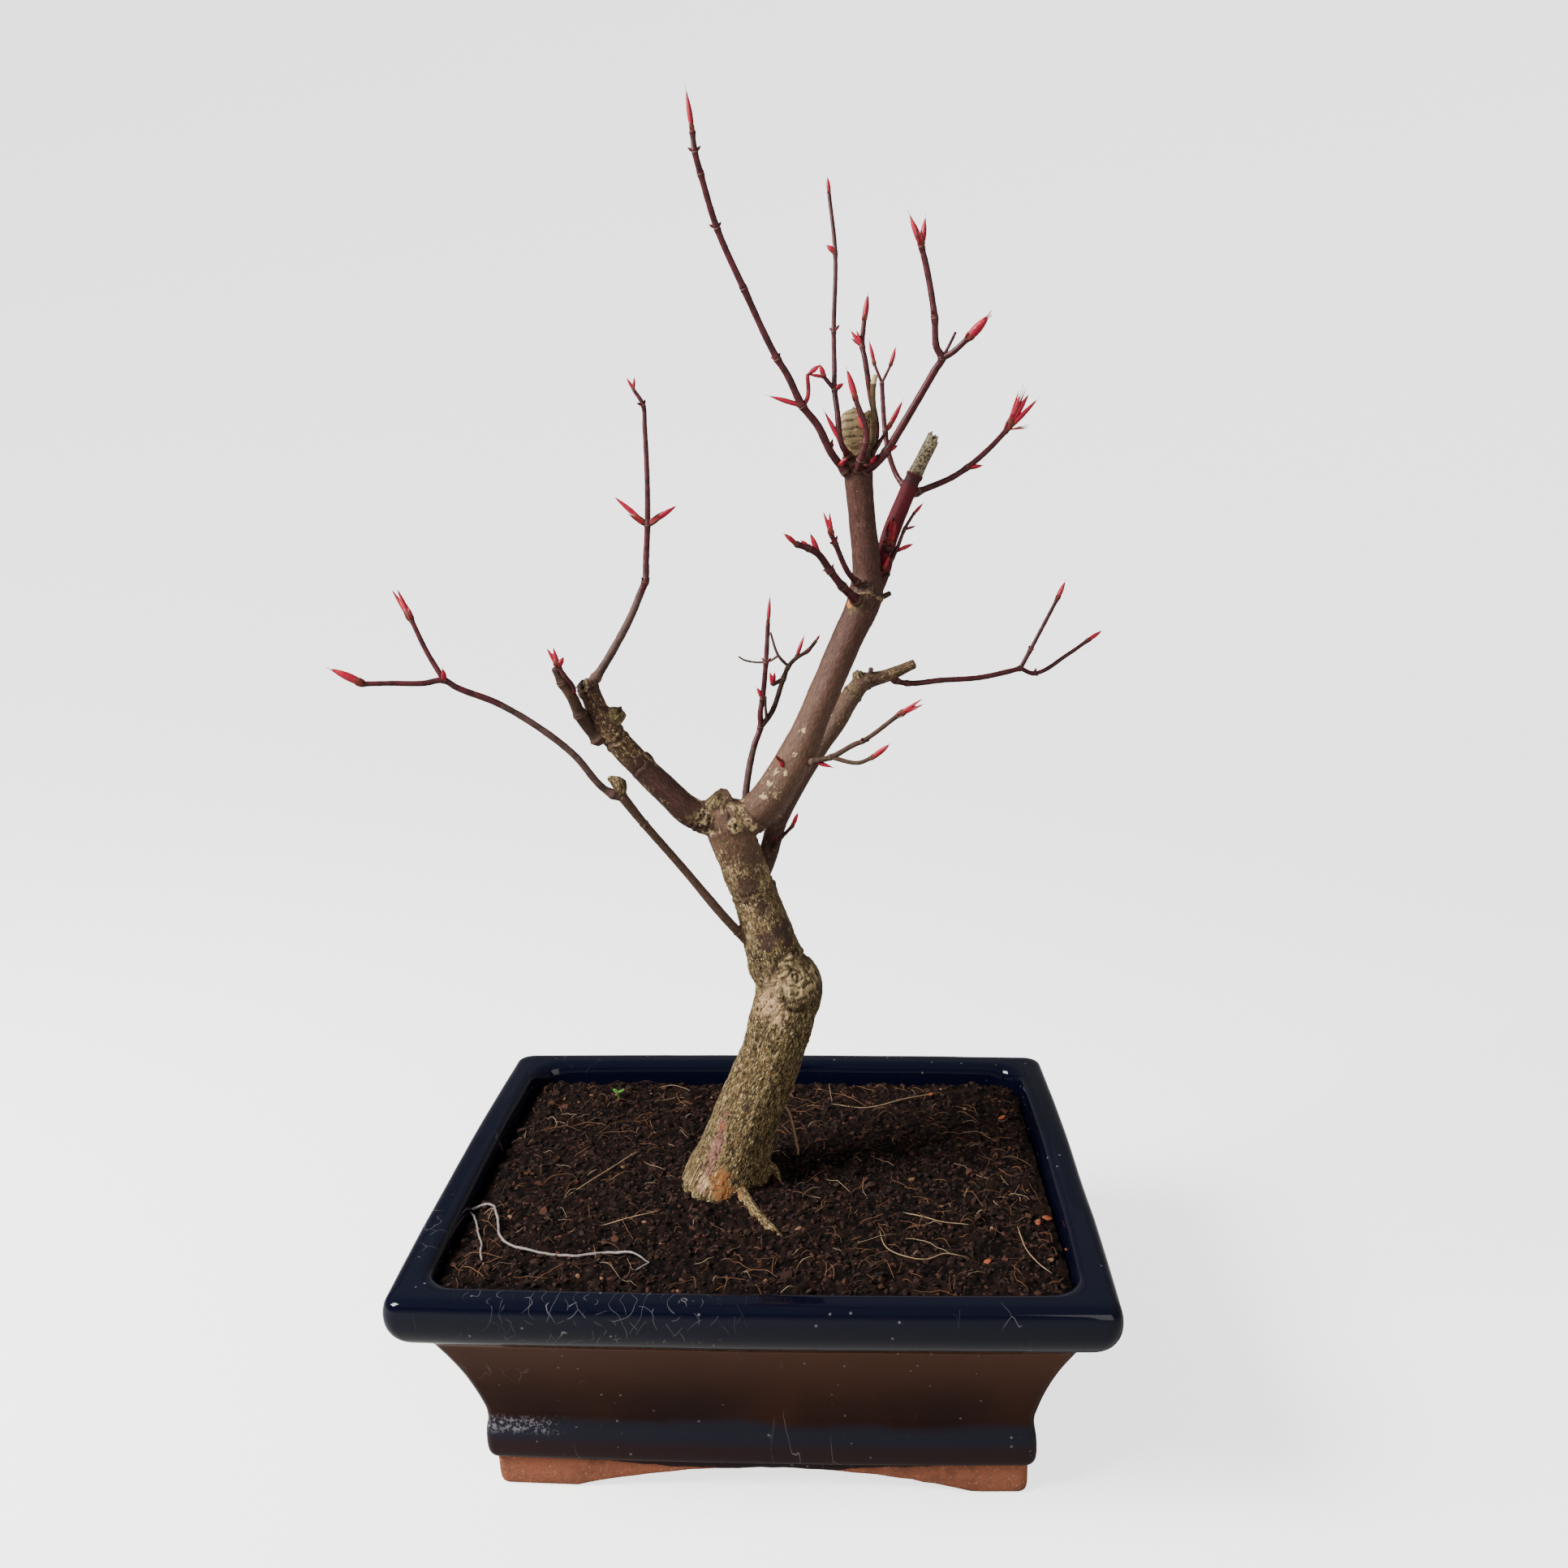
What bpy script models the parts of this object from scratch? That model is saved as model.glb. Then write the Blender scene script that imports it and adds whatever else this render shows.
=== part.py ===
"""A small maple bonsai in a glazed oblong pot, bare in early spring with its red buds opening.

All sizes are in millimetres and become metres as each mesh is made. +X is the viewer's right, +Y goes
away from the viewer and +Z is up. The origin is on the ground, under the middle of the pot.
A limb is told as a start and its runs: how far each run goes across, back and up to the next node.
"""

import math
import random
from dataclasses import dataclass

import bmesh
import bpy
from mathutils import Matrix, Vector

MM = 0.001
GAP = 0.3

# Pot: outside sizes, then where its outline turns.
POT_LENGTH = 210.0
POT_DEPTH = 167.0
POT_MIDDLE_Y = 1.0
POT_HEIGHT = 79.0
RIM_WIDTH = 10.5
BAND_BOTTOM = 65.0
WAIST_HEIGHT = 27.5
WAIST_INSET = 21.2
MOULDING_TOP = 22.0
MOULDING_BOTTOM = 12.0
MOULDING_INSET = 20.7
FOOT_INSET = 23.0
FOOT_HEIGHT = 10.8
FOOT_WALL = 9.0
FLOOR_UNDERSIDE = 10.0
FLOOR_TOP = 17.0
WALL = 7.5
RIM_CORNER = 5.0
BODY_CORNER = 3.0
OPENING_CORNER = 11.0
CORNER_STEPS = 4
SIDE_STEPS = 4
SIDE_BOW = 1.1
# The foot stands a little right of the rim; the lean fades out by this height.
FOOT_SHIFT = 1.0
SHIFT_HEIGHT = 50.0
LONG_ARCH = 102.0
LONG_ARCH_MIDDLE = 5.0
SHORT_ARCH = 66.0
ARCH_HEIGHT = 8.4
ARCH_STEPS = 72

# Soil, and the trunk's foot standing on it.
SOIL_TOP = 72.0
FLARE_FADE = 7.0

# Twigs.
TWIG_SIDES = 6
BUD_SIDES = 5
NODE_SWELL = 1.4
NODE_HALF = 0.9
LONG_RUN = 9.0
DORMANT_LENGTH = (1.6, 2.6)
DORMANT_RADIUS = 0.55
# A bud's outline: (how far along it, width as a share of its radius).
BUD_SHAPE = ((-0.12, 0.55), (0.0, 0.7), (0.3, 1.0), (0.65, 0.72), (1.0, 0.14))
SEED = 41

SHARP_EDGE = 50.0
GLAZE_COLOUR = (0.010, 0.014, 0.040)
SOIL_COLOUR = (0.022, 0.013, 0.010)
BARK_COLOUR = (0.20, 0.14, 0.10)
RED_BARK_COLOUR = (0.16, 0.03, 0.04)
TWIG_COLOUR = (0.15, 0.03, 0.035)


@dataclass(frozen=True)
class Limb:
    """A trunk or bough: start and runs are (across, back, up, radius)."""

    start: tuple
    runs: tuple
    sides: int
    steps: int = 3


@dataclass(frozen=True)
class Twig:
    """A twig that thins from thick to thin.

    Its runs are (across, back, up) and its nodes are the stations that carry a ring scar. Its buds are
    (station, reach, radius). A side twig starts at a station of its parent, so it has no start of its own.
    """

    thick: float
    thin: float
    runs: tuple
    start: tuple = (0.0, 0.0, 0.0)
    nodes: tuple = ()
    buds: tuple = ()
    sides: tuple = ()
    resting: bool = True


# The trunk leans right to its old pruning knob, then back left to the fork.
TRUNK = Limb(
    start=(-14.5, -3.0, 66.0, 13.4),
    runs=(
        (0.5, 0.0, 6.5, 12.4),
        (5.0, 1.0, 13.5, 11.3),
        (5.2, 1.0, 15.0, 10.8),
        (6.8, 1.0, 15.5, 10.4),
        (4.1, 1.0, 15.0, 10.8),
        (2.1, 1.0, 9.5, 11.1),
        (-3.4, 0.0, 7.0, 9.4),
        (-2.0, 0.0, 6.5, 8.8),
        (-4.1, 0.0, 15.0, 7.4),
        (-5.1, -1.0, 15.0, 7.2),
        (-3.2, -1.0, 11.0, 7.6),
        (-1.2, 0.0, 6.5, 6.9),
        (-0.4, 0.0, 2.2, 4.4),
    ),
    sides=18,
)
# Root flare: (bearing in degrees, reach) of each buttress.
BUTTRESSES = ((250.0, 6.0), (15.0, 4.0), (130.0, 3.0), (185.0, 1.5))
SURFACE_ROOTS = (
    Limb(
        start=(-11.0, -5.0, 75.0, 3.4),
        runs=(
            (3.0, -6.5, -1.0, 2.6),
            (6.0, -13.0, -0.4, 2.3),
            (6.3, -10.0, -0.6, 2.0),
            (6.2, -9.0, -1.2, 1.5),
        ),
        sides=10,
        steps=2,
    ),
    Limb(
        start=(-6.0, 2.0, 79.0, 2.0),
        runs=((8.5, -1.0, -3.5, 1.6), (2.8, -5.5, -2.2, 1.1)),
        sides=8,
        steps=2,
    ),
)
FORK_BURL = Limb(
    start=(-11.2, -1.0, 200.0, 4.0),
    runs=((-0.7, -0.6, 4.4, 4.8), (-0.5, -0.4, 3.6, 3.8)),
    sides=10,
    steps=2,
)

BOUGHS = {
    "left_bough": Limb(
        start=(-9.5, 0.0, 198.0, 5.6),
        runs=(
            (-10.0, -2.0, 2.6, 4.9),
            (-8.8, -2.0, 8.5, 4.35),
            (-9.3, -2.0, 10.7, 4.05),
            (-5.7, -2.0, 7.4, 3.9),
            (-4.2, -1.0, 7.9, 3.5),
            (-2.0, -1.0, 6.4, 3.2),
            (-2.2, -0.6, 4.8, 3.7),
        ),
        sides=12,
    ),
    "low_left_limb": Limb(
        start=(-3.0, 0.0, 157.0, 2.0),
        runs=(
            (-4.5, -3.0, 5.6, 1.6),
            (-17.0, -5.0, 23.7, 1.4),
            (-9.7, -4.0, 13.8, 1.4),
            (-6.3, -2.6, 9.8, 1.7),
        ),
        sides=8,
    ),
    "leader_bough": Limb(
        start=(-8.5, 0.0, 196.0, 6.4),
        runs=(
            (7.8, 1.0, 4.2, 6.0),
            (12.2, 2.0, 16.0, 5.7),
            (7.6, 2.0, 15.5, 5.0),
            (10.0, 3.0, 22.9, 4.9),
            (5.9, 1.0, 13.5, 5.4),
            (0.3, 0.0, 8.0, 4.4),
            (-1.1, -1.0, 13.0, 4.2),
            (-0.8, -1.0, 9.0, 4.2),
            (-0.9, -1.0, 9.4, 4.6),
            (-0.9, 0.0, 7.0, 3.4),
            (0.0, 0.0, 10.3, 2.9),
        ),
        sides=12,
    ),
    "red_bough": Limb(
        start=(36.5, 10.0, 266.0, 2.6),
        runs=(
            (4.0, 4.0, 10.0, 2.8),
            (1.7, 3.0, 7.9, 2.8),
            (6.2, 3.0, 15.3, 2.65),
            (1.8, 1.0, 4.0, 2.5),
            (3.1, 1.0, 6.0, 2.2),
            (3.2, 1.0, 6.1, 2.15),
        ),
        sides=10,
    ),
    "rear_bough": Limb(
        start=(-1.5, 3.5, 174.5, 3.4),
        runs=(
            (4.0, 5.5, 9.0, 3.3),
            (3.6, 5.0, 11.0, 3.2),
            (12.9, 6.0, 21.9, 3.1),
            (6.6, 3.0, 10.0, 3.7),
            (4.8, 2.0, 7.2, 3.4),
            (3.8, 2.0, 4.0, 3.0),
            (8.2, 3.0, 2.0, 2.2),
            (9.4, 3.0, 3.5, 1.7),
        ),
        sides=10,
    ),
}

# Cut stubs that stay on a bough: bough name and the stub.
STUBS = (
    (
        "left_bough",
        Limb(start=(-45.6, -8.4, 229.5, 2.4), runs=((3.8, 0.0, 4.8, 3.0), (1.4, 0.0, 2.4, 2.7)), sides=8),
    ),
    (
        "low_left_limb",
        Limb(start=(-40.6, -14.8, 210.4, 1.7), runs=((-0.2, 0.0, 3.0, 2.5), (-3.8, -0.3, 2.4, 0.9)), sides=8),
    ),
    (
        "rear_bough",
        Limb(start=(33.0, 27.0, 237.6, 1.8), runs=((-0.4, -0.8, 3.0, 2.0), (-0.3, -0.3, 1.8, 1.5)), sides=8),
    ),
    (
        "leader_bough",
        Limb(start=(35.2, 6.0, 306.5, 1.8), runs=((1.2, 3.2, 5.0, 1.9), (-0.2, 0.8, 12.5, 1.8)), sides=8),
    ),
)

# Masses of twigs: each has one stem, and names the limbs that it has to stay clear of.
SPRAYS = {
    "left_shoot": (
        ("left_bough",),
        Twig(
            start=(-50.0, -10.5, 242.5),
            thick=1.45,
            thin=0.6,
            runs=(
                (3.8, 0.5, 5.0),
                (4.4, 1.0, 6.8),
                (5.5, 1.0, 9.6),
                (3.6, 1.0, 8.0),
                (1.1, 0.0, 2.4),
                (0.4, 1.0, 6.7),
                (0.7, 1.0, 10.0),
                (0.3, 1.0, 12.8),
                (-0.4, 2.0, 15.8),
                (-0.3, 0.5, 6.3),
                (-2.8, 0.5, 4.6),
            ),
            nodes=(5, 7, 10),
            buds=(
                (7, (-5.4, -0.3, 4.0), 1.25),
                (7, (-9.8, -0.4, 8.8), 0.9),
                (7, (5.2, 0.3, 3.6), 1.25),
                (7, (9.2, 0.4, 5.8), 0.95),
                (11, (-2.0, 0.0, 3.6), 0.6),
                (11, (0.6, 0.0, 3.8), 0.6),
            ),
        ),
    ),
    "left_spur": (
        ("left_bough",),
        Twig(
            start=(-46.8, -8.5, 225.8),
            thick=2.1,
            thin=1.6,
            runs=(
                (-3.7, -2.5, 5.2),
                (-1.9, -2.0, 4.2),
                (-1.5, -2.0, 5.2),
                (-2.5, -1.0, 5.1),
                (-1.4, -1.0, 4.3),
            ),
            nodes=(2, 4),
            resting=False,
            sides=(
                (
                    3,
                    Twig(
                        thick=0.9,
                        thin=0.8,
                        runs=((1.0, -2.0, 3.2), (-2.4, -2.2, 4.6), (-1.4, -0.6, 2.6)),
                        nodes=(2,),
                        buds=((3, (-2.3, 0.0, 5.8), 1.25), (3, (2.0, 0.0, 2.8), 1.05)),
                        resting=False,
                    ),
                ),
            ),
        ),
    ),
    "far_left_spray": (
        ("low_left_limb",),
        Twig(
            start=(-39.5, -14.2, 208.5),
            thick=1.25,
            thin=0.75,
            runs=(
                (-6.0, -1.8, 3.9),
                (-8.0, -2.0, 10.8),
                (-8.7, -2.0, 8.2),
                (-12.5, -3.0, 8.9),
                (-11.6, -2.0, 5.3),
                (-3.1, -1.0, 2.2),
                (-5.5, -2.0, -0.5),
                (-9.2, -2.0, 0.4),
                (-7.3, -2.0, 0.2),
            ),
            nodes=(6, 9),
            buds=((9, (-9.2, -2.0, 5.2), 1.5), (6, (0.6, -2.0, 4.0), 0.95)),
            sides=(
                (
                    6,
                    Twig(
                        thick=0.85,
                        thin=0.7,
                        runs=((-5.2, 2.0, 8.4), (-4.4, 2.0, 9.0)),
                        nodes=(2,),
                        buds=((2, (-5.3, 2.0, 9.4), 1.2), (2, (-1.0, 0.8, 4.4), 0.9)),
                    ),
                ),
            ),
        ),
    ),
    "top_left_shoot": (
        ("leader_bough",),
        Twig(
            start=(30.7, 4.5, 303.8),
            thick=1.3,
            thin=0.8,
            runs=(
                (-5.8, -4.5, 7.2),
                (-4.0, -2.0, 8.0),
                (-4.4, -2.0, 5.6),
                (-4.4, -2.0, 9.0),
                (-2.7, -1.0, 4.2),
                (-8.9, -4.0, 18.8),
                (-6.9, -3.0, 15.7),
                (-3.8, -3.0, 13.5),
                (-1.3, -1.0, 5.3),
                (-0.5, 0.0, 5.1),
            ),
            nodes=(3, 5, 6, 7, 8, 9, 10),
            buds=((3, (-10.6, -1.0, 3.3), 1.0), (10, (-1.3, -1.0, 11.0), 0.95)),
            sides=(
                (
                    3,
                    Twig(
                        thick=0.8,
                        thin=0.6,
                        runs=((1.5, 0.0, 2.2), (0.1, 0.0, 6.6)),
                        resting=False,
                    ),
                ),
            ),
        ),
    ),
    "top_middle_shoot": (
        ("leader_bough",),
        Twig(
            start=(31.4, 3.6, 308.5),
            thick=1.0,
            thin=0.6,
            runs=(
                (-3.6, -4.6, 5.4),
                (-1.1, 0.6, 9.0),
                (-0.8, 2.0, 6.5),
                (0.0, 1.4, 5.4),
                (-0.1, 2.0, 11.4),
                (0.6, 3.0, 22.3),
                (-1.7, 3.0, 16.8),
            ),
            nodes=(3, 5, 6),
            buds=(
                (1, (-5.3, -0.8, 10.0), 0.95),
                (3, (2.9, 0.0, 1.8), 0.95),
                (6, (-2.7, 0.0, 2.3), 1.05),
                (7, (-0.4, 0.4, 4.8), 0.75),
            ),
            sides=(
                (
                    3,
                    Twig(
                        thick=0.75,
                        thin=0.65,
                        runs=((-3.1, -1.2, 3.6),),
                        buds=((1, (-1.2, 0.0, 3.8), 1.0), (1, (-5.0, -0.8, 0.8), 0.7)),
                        resting=False,
                    ),
                ),
            ),
        ),
    ),
    "top_back_shoot": (
        ("leader_bough",),
        Twig(
            start=(33.6, 7.5, 304.0),
            thick=1.0,
            thin=0.75,
            runs=((5.0, 6.6, 13.0), (-2.0, 1.9, 12.6), (-1.5, 1.0, 9.9), (-0.7, 1.0, 3.4), (0.6, 1.0, 7.7)),
            nodes=(4,),
            buds=(
                (4, (-3.8, 0.2, 5.2), 0.85),
                (4, (-1.9, -0.6, 5.2), 0.7),
                (4, (-3.4, 0.8, 2.6), 0.65),
                (5, (1.3, 0.8, 8.0), 1.1),
            ),
        ),
    ),
    "top_cut_twig": (
        ("leader_bough",),
        Twig(
            start=(34.0, 4.6, 308.6),
            thick=1.15,
            thin=0.9,
            runs=((2.6, -4.8, 5.4), (0.7, -2.4, 5.2), (0.0, -0.8, 11.2), (0.6, 0.0, 2.4)),
            nodes=(2, 3),
            resting=False,
        ),
    ),
    "top_right_spray": (
        ("leader_bough",),
        Twig(
            start=(34.2, 4.0, 305.6),
            thick=1.3,
            thin=0.85,
            runs=(
                (3.4, -5.0, 1.8),
                (3.6, -1.0, 4.0),
                (4.7, -2.0, 7.3),
                (9.2, -4.0, 15.2),
                (1.6, -1.0, 2.7),
                (-1.5, 0.0, 3.1),
                (-0.6, 0.0, 8.0),
                (-2.2, 1.0, 13.0),
                (-1.6, 0.0, 6.3),
            ),
            nodes=(2, 5, 7, 9),
            buds=(
                (9, (-3.6, 0.0, 9.2), 1.1),
                (9, (1.2, 0.0, 8.2), 1.1),
                (9, (-1.0, -0.8, 4.4), 1.2),
                (2, (3.6, -0.6, 1.6), 0.9),
                (7, (-1.0, -1.2, 2.2), 0.7),
            ),
            sides=(
                (
                    5,
                    Twig(
                        thick=0.95,
                        thin=0.8,
                        runs=((2.8, -1.0, 1.4), (4.3, -2.0, 3.6)),
                        nodes=(2,),
                        buds=((2, (6.2, -3.0, 6.4), 1.45), (2, (2.8, -1.4, 2.4), 0.95)),
                    ),
                ),
                (
                    5,
                    Twig(
                        thick=0.6,
                        thin=0.4,
                        runs=((1.3, 0.0, 2.1), (2.6, 0.4, 5.0)),
                        resting=False,
                    ),
                ),
            ),
        ),
    ),
    "top_front_spur": (
        ("leader_bough",),
        Twig(
            start=(32.4, 3.4, 305.8),
            thick=1.3,
            thin=0.8,
            runs=((1.2, -7.4, 3.4), (1.4, -1.0, 4.9), (0.1, -0.4, 3.0), (-2.9, 0.0, 8.6)),
            nodes=(1, 2),
            buds=((4, (-2.7, 0.0, 9.4), 1.2), (3, (-2.8, 0.2, 5.0), 0.9)),
            resting=False,
        ),
    ),
    "top_right_bud": (
        ("leader_bough",),
        Twig(
            start=(34.5, 6.5, 306.5),
            thick=0.8,
            thin=0.5,
            runs=((4.4, 0.6, 7.0), (3.1, 0.4, 4.8)),
            nodes=(1,),
            buds=((2, (4.6, 0.2, 8.2), 1.0),),
            resting=False,
        ),
    ),
    "upper_right_spray": (
        ("red_bough",),
        Twig(
            start=(49.0, 20.0, 298.2),
            thick=1.15,
            thin=0.85,
            runs=((4.2, 2.0, 1.5), (9.6, 5.0, 3.7), (5.0, 2.0, 3.0), (7.1, 3.0, 5.7), (5.9, 3.0, 5.8)),
            nodes=(3, 5),
            buds=(
                (3, (5.4, 1.0, 0.6), 0.95),
                (5, (5.5, 3.0, 13.2), 1.35),
                (5, (7.3, 3.0, 11.5), 1.15),
                (5, (10.9, 4.0, 10.2), 1.05),
                (5, (9.0, 3.0, 1.4), 0.75),
            ),
        ),
    ),
    "red_left_twig": (
        ("red_bough",),
        Twig(
            start=(48.9, 20.6, 300.0),
            thick=0.95,
            thin=0.7,
            runs=((-3.2, 3.4, 3.5), (-2.8, 2.0, 7.1), (-1.2, 2.0, 7.1), (-0.5, 1.0, 5.7), (-0.5, 1.0, 9.6)),
            nodes=(3, 5),
            sides=(
                (
                    5,
                    Twig(
                        thick=0.5,
                        thin=0.45,
                        runs=((-2.3, 0.6, 5.6),),
                        buds=((1, (-1.8, 0.4, 8.0), 0.85),),
                    ),
                ),
                (
                    5,
                    Twig(
                        thick=0.5,
                        thin=0.45,
                        runs=((2.7, 0.4, 5.2),),
                        buds=((1, (1.9, 0.4, 6.0), 0.85),),
                    ),
                ),
            ),
        ),
    ),
    "red_front_bud": (
        ("red_bough",),
        Twig(
            start=(42.0, 17.0, 279.5),
            thick=1.1,
            thin=1.0,
            runs=((0.2, -3.6, 2.6), (0.2, -0.6, 1.2)),
            buds=((2, (1.6, -0.2, 8.6), 1.9), (2, (0.2, -1.2, 5.4), 1.2)),
            resting=False,
        ),
    ),
    "red_side_twig": (
        ("red_bough",),
        Twig(
            start=(41.0, 15.0, 275.5),
            thick=0.75,
            thin=0.45,
            runs=((3.4, -3.6, 5.6), (2.8, 1.4, 6.8), (2.8, 1.0, 4.6)),
            nodes=(2,),
            buds=((2, (3.6, 0.4, 1.0), 0.6), (3, (3.4, 1.0, 3.6), 0.7)),
            resting=False,
        ),
    ),
    "leader_left_spray": (
        ("leader_bough",),
        Twig(
            start=(33.6, 6.5, 265.2),
            thick=1.55,
            thin=0.9,
            runs=(
                (-3.1, -5.5, 3.6),
                (-2.7, -3.0, 3.0),
                (-3.6, -3.0, 4.9),
                (-3.5, -3.0, 5.2),
                (-2.8, -2.0, 1.8),
                (-3.6, -2.0, 1.4),
            ),
            nodes=(2, 3, 5, 6),
            buds=((4, (-2.3, -1.0, 6.5), 1.1), (5, (-2.2, -1.0, 2.6), 0.95), (6, (-3.6, -2.0, 3.4), 0.95)),
        ),
    ),
    "leader_left_twig": (
        ("leader_bough",),
        Twig(
            start=(32.9, 6.0, 271.5),
            thick=1.0,
            thin=0.75,
            runs=((-3.6, -6.0, 4.8), (-3.6, -3.0, 8.5), (-1.0, -1.0, 2.4)),
            nodes=(2, 3),
            buds=((3, (-1.6, -1.0, 7.2), 1.15),),
        ),
    ),
    "rear_right_spray": (
        ("rear_bough",),
        Twig(
            start=(42.4, 29.6, 239.8),
            thick=1.0,
            thin=0.9,
            runs=(
                (2.8, 1.6, -2.0),
                (4.1, 2.0, -1.3),
                (11.7, 4.0, 0.3),
                (13.1, 5.0, 0.0),
                (10.3, 4.0, 1.4),
                (4.4, 2.0, 0.8),
            ),
            nodes=(2, 6),
            sides=(
                (
                    6,
                    Twig(
                        thick=0.8,
                        thin=0.65,
                        runs=((3.3, 1.0, 6.0), (9.0, 2.0, 17.2)),
                        nodes=(1, 2),
                        buds=((2, (2.8, 0.4, 6.2), 1.05),),
                    ),
                ),
                (
                    6,
                    Twig(
                        thick=0.8,
                        thin=0.65,
                        runs=((5.1, 2.0, -2.1), (11.9, 4.0, 5.9), (7.1, 3.0, 4.3)),
                        nodes=(1, 3),
                        buds=((3, (5.6, 2.0, 3.4), 0.95),),
                    ),
                ),
            ),
        ),
    ),
    "mid_right_spray": (
        ("leader_bough", "rear_bough"),
        Twig(
            start=(13.6, 3.0, 215.6),
            thick=1.0,
            thin=0.7,
            runs=((4.9, -4.0, 1.7), (5.4, -3.0, 1.9), (7.3, -4.0, 4.8), (2.5, -2.0, 1.4), (10.7, -5.0, 8.9)),
            nodes=(2, 4, 5),
            buds=((5, (7.5, -4.0, 5.0), 1.15), (1, (6.6, -2.0, -1.9), 0.85)),
            sides=(
                (
                    2,
                    Twig(
                        thick=0.75,
                        thin=0.65,
                        runs=((8.3, -5.0, -0.8), (4.4, -3.0, 2.3)),
                        nodes=(2,),
                        buds=((2, (5.6, -3.0, 4.9), 1.1),),
                    ),
                ),
            ),
        ),
    ),
    "inner_spray": (
        ("trunk", "leader_bough", "rear_bough"),
        Twig(
            start=(-4.0, 2.0, 193.5),
            thick=1.25,
            thin=0.75,
            runs=(
                (-0.4, 9.4, 8.5),
                (1.2, 4.6, 9.6),
                (1.8, 2.0, 7.5),
                (1.9, 2.0, 5.3),
                (0.0, 0.4, 4.6),
                (0.8, 1.0, 4.7),
                (1.3, 1.0, 11.9),
                (0.8, 2.0, 12.5),
            ),
            nodes=(4, 6, 7),
            buds=((6, (-1.8, -0.4, 4.0), 0.9), (8, (0.9, 1.0, 9.4), 0.8)),
            sides=(
                (
                    4,
                    Twig(
                        thick=1.0,
                        thin=0.6,
                        runs=(
                            (3.7, 1.8, 4.7),
                            (3.9, 3.0, 10.6),
                            (1.7, 1.0, 3.9),
                            (2.5, 0.0, 2.7),
                            (3.8, 1.0, 2.2),
                            (2.9, 1.0, 3.3),
                        ),
                        nodes=(2, 3, 5),
                        buds=((4, (3.2, 0.4, 8.2), 0.8), (6, (1.2, 0.4, 1.8), 0.6)),
                        sides=(
                            (
                                2,
                                Twig(
                                    thick=0.8,
                                    thin=0.7,
                                    runs=((-3.6, 0.2, -2.0),),
                                    buds=((1, (-0.8, 0.0, 4.4), 0.9), (1, (0.9, -0.4, 4.4), 0.9)),
                                    resting=False,
                                ),
                            ),
                            (
                                3,
                                Twig(
                                    thick=0.6,
                                    thin=0.4,
                                    runs=((-3.3, 0.6, 3.6), (-2.5, 0.4, 7.6)),
                                    resting=False,
                                    sides=(
                                        (
                                            1,
                                            Twig(
                                                thick=0.5,
                                                thin=0.4,
                                                runs=((-3.2, 0.2, -1.9), (-8.2, 0.2, 0.5), (-1.8, 0.0, 1.2)),
                                                resting=False,
                                            ),
                                        ),
                                    ),
                                ),
                            ),
                        ),
                    ),
                ),
            ),
        ),
    ),
    "low_right_twiglet": (
        ("trunk", "rear_bough"),
        Twig(
            start=(3.4, 9.0, 184.0),
            thick=0.8,
            thin=0.6,
            runs=((3.1, -4.0, 5.7), (4.7, -3.0, 5.7)),
            nodes=(1, 2),
            buds=((2, (2.2, -2.0, 5.3), 0.85), (1, (-0.6, -1.6, 2.0), 0.6)),
            resting=False,
        ),
    ),
}
# Limbs that a bough meets at its foot.
BOUGH_MEETS = {
    "left_bough": ("trunk",),
    "low_left_limb": ("trunk",),
    "leader_bough": ("trunk",),
    "red_bough": ("leader_bough",),
    "rear_bough": ("trunk",),
}


def clear_scene():
    """Remove every object that the file opens with."""
    for old in list(bpy.data.objects):
        bpy.data.objects.remove(old, do_unlink=True)


def plain_material(name, colour, roughness):
    """Principled material of one colour."""
    material = bpy.data.materials.new(name)
    material.use_nodes = True
    shader = material.node_tree.nodes["Principled BSDF"]
    shader.inputs["Base Color"].default_value = (*colour, 1.0)
    shader.inputs["Roughness"].default_value = roughness
    shader.inputs["Metallic"].default_value = 0.0
    return material


def make_object(name, mesh_data, collection=None):
    """Object from a bmesh held in millimetres."""
    bmesh.ops.recalc_face_normals(mesh_data, faces=mesh_data.faces)
    bmesh.ops.scale(mesh_data, vec=(MM, MM, MM), verts=mesh_data.verts)
    mesh = bpy.data.meshes.new(name)
    mesh_data.to_mesh(mesh)
    mesh_data.free()
    made = bpy.data.objects.new(name, mesh)
    (collection or bpy.context.scene.collection).objects.link(made)
    return made


def finish(made, material, smooth=True):
    """Give a finished piece its material and shading."""
    made.data.materials.clear()
    made.data.materials.append(material)
    if smooth:
        made.data.shade_smooth()
        made.data.set_sharp_from_angle(angle=math.radians(SHARP_EDGE))
    return made


def scratch_collection(name):
    """Collection that holds the operands of one Boolean."""
    collection = bpy.data.collections.new(name)
    bpy.context.scene.collection.children.link(collection)
    return collection


def boolean(target, operation, collection, solver="EXACT"):
    """Apply a Boolean against all the objects of a collection, then remove them."""
    modifier = target.modifiers.new(operation.title(), "BOOLEAN")
    modifier.operation = operation
    modifier.solver = solver
    modifier.operand_type = "COLLECTION"
    modifier.collection = collection
    with bpy.context.temp_override(object=target, active_object=target):
        bpy.ops.object.modifier_apply(modifier=modifier.name)
    for operand in list(collection.objects):
        bpy.data.objects.remove(operand, do_unlink=True)
    bpy.data.collections.remove(collection)


def end_points(start, runs):
    """Stations that the runs lead to."""
    points = [Vector(start[:3])]
    for run in runs:
        points.append(points[-1] + Vector(run[:3]))
    return points


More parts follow.
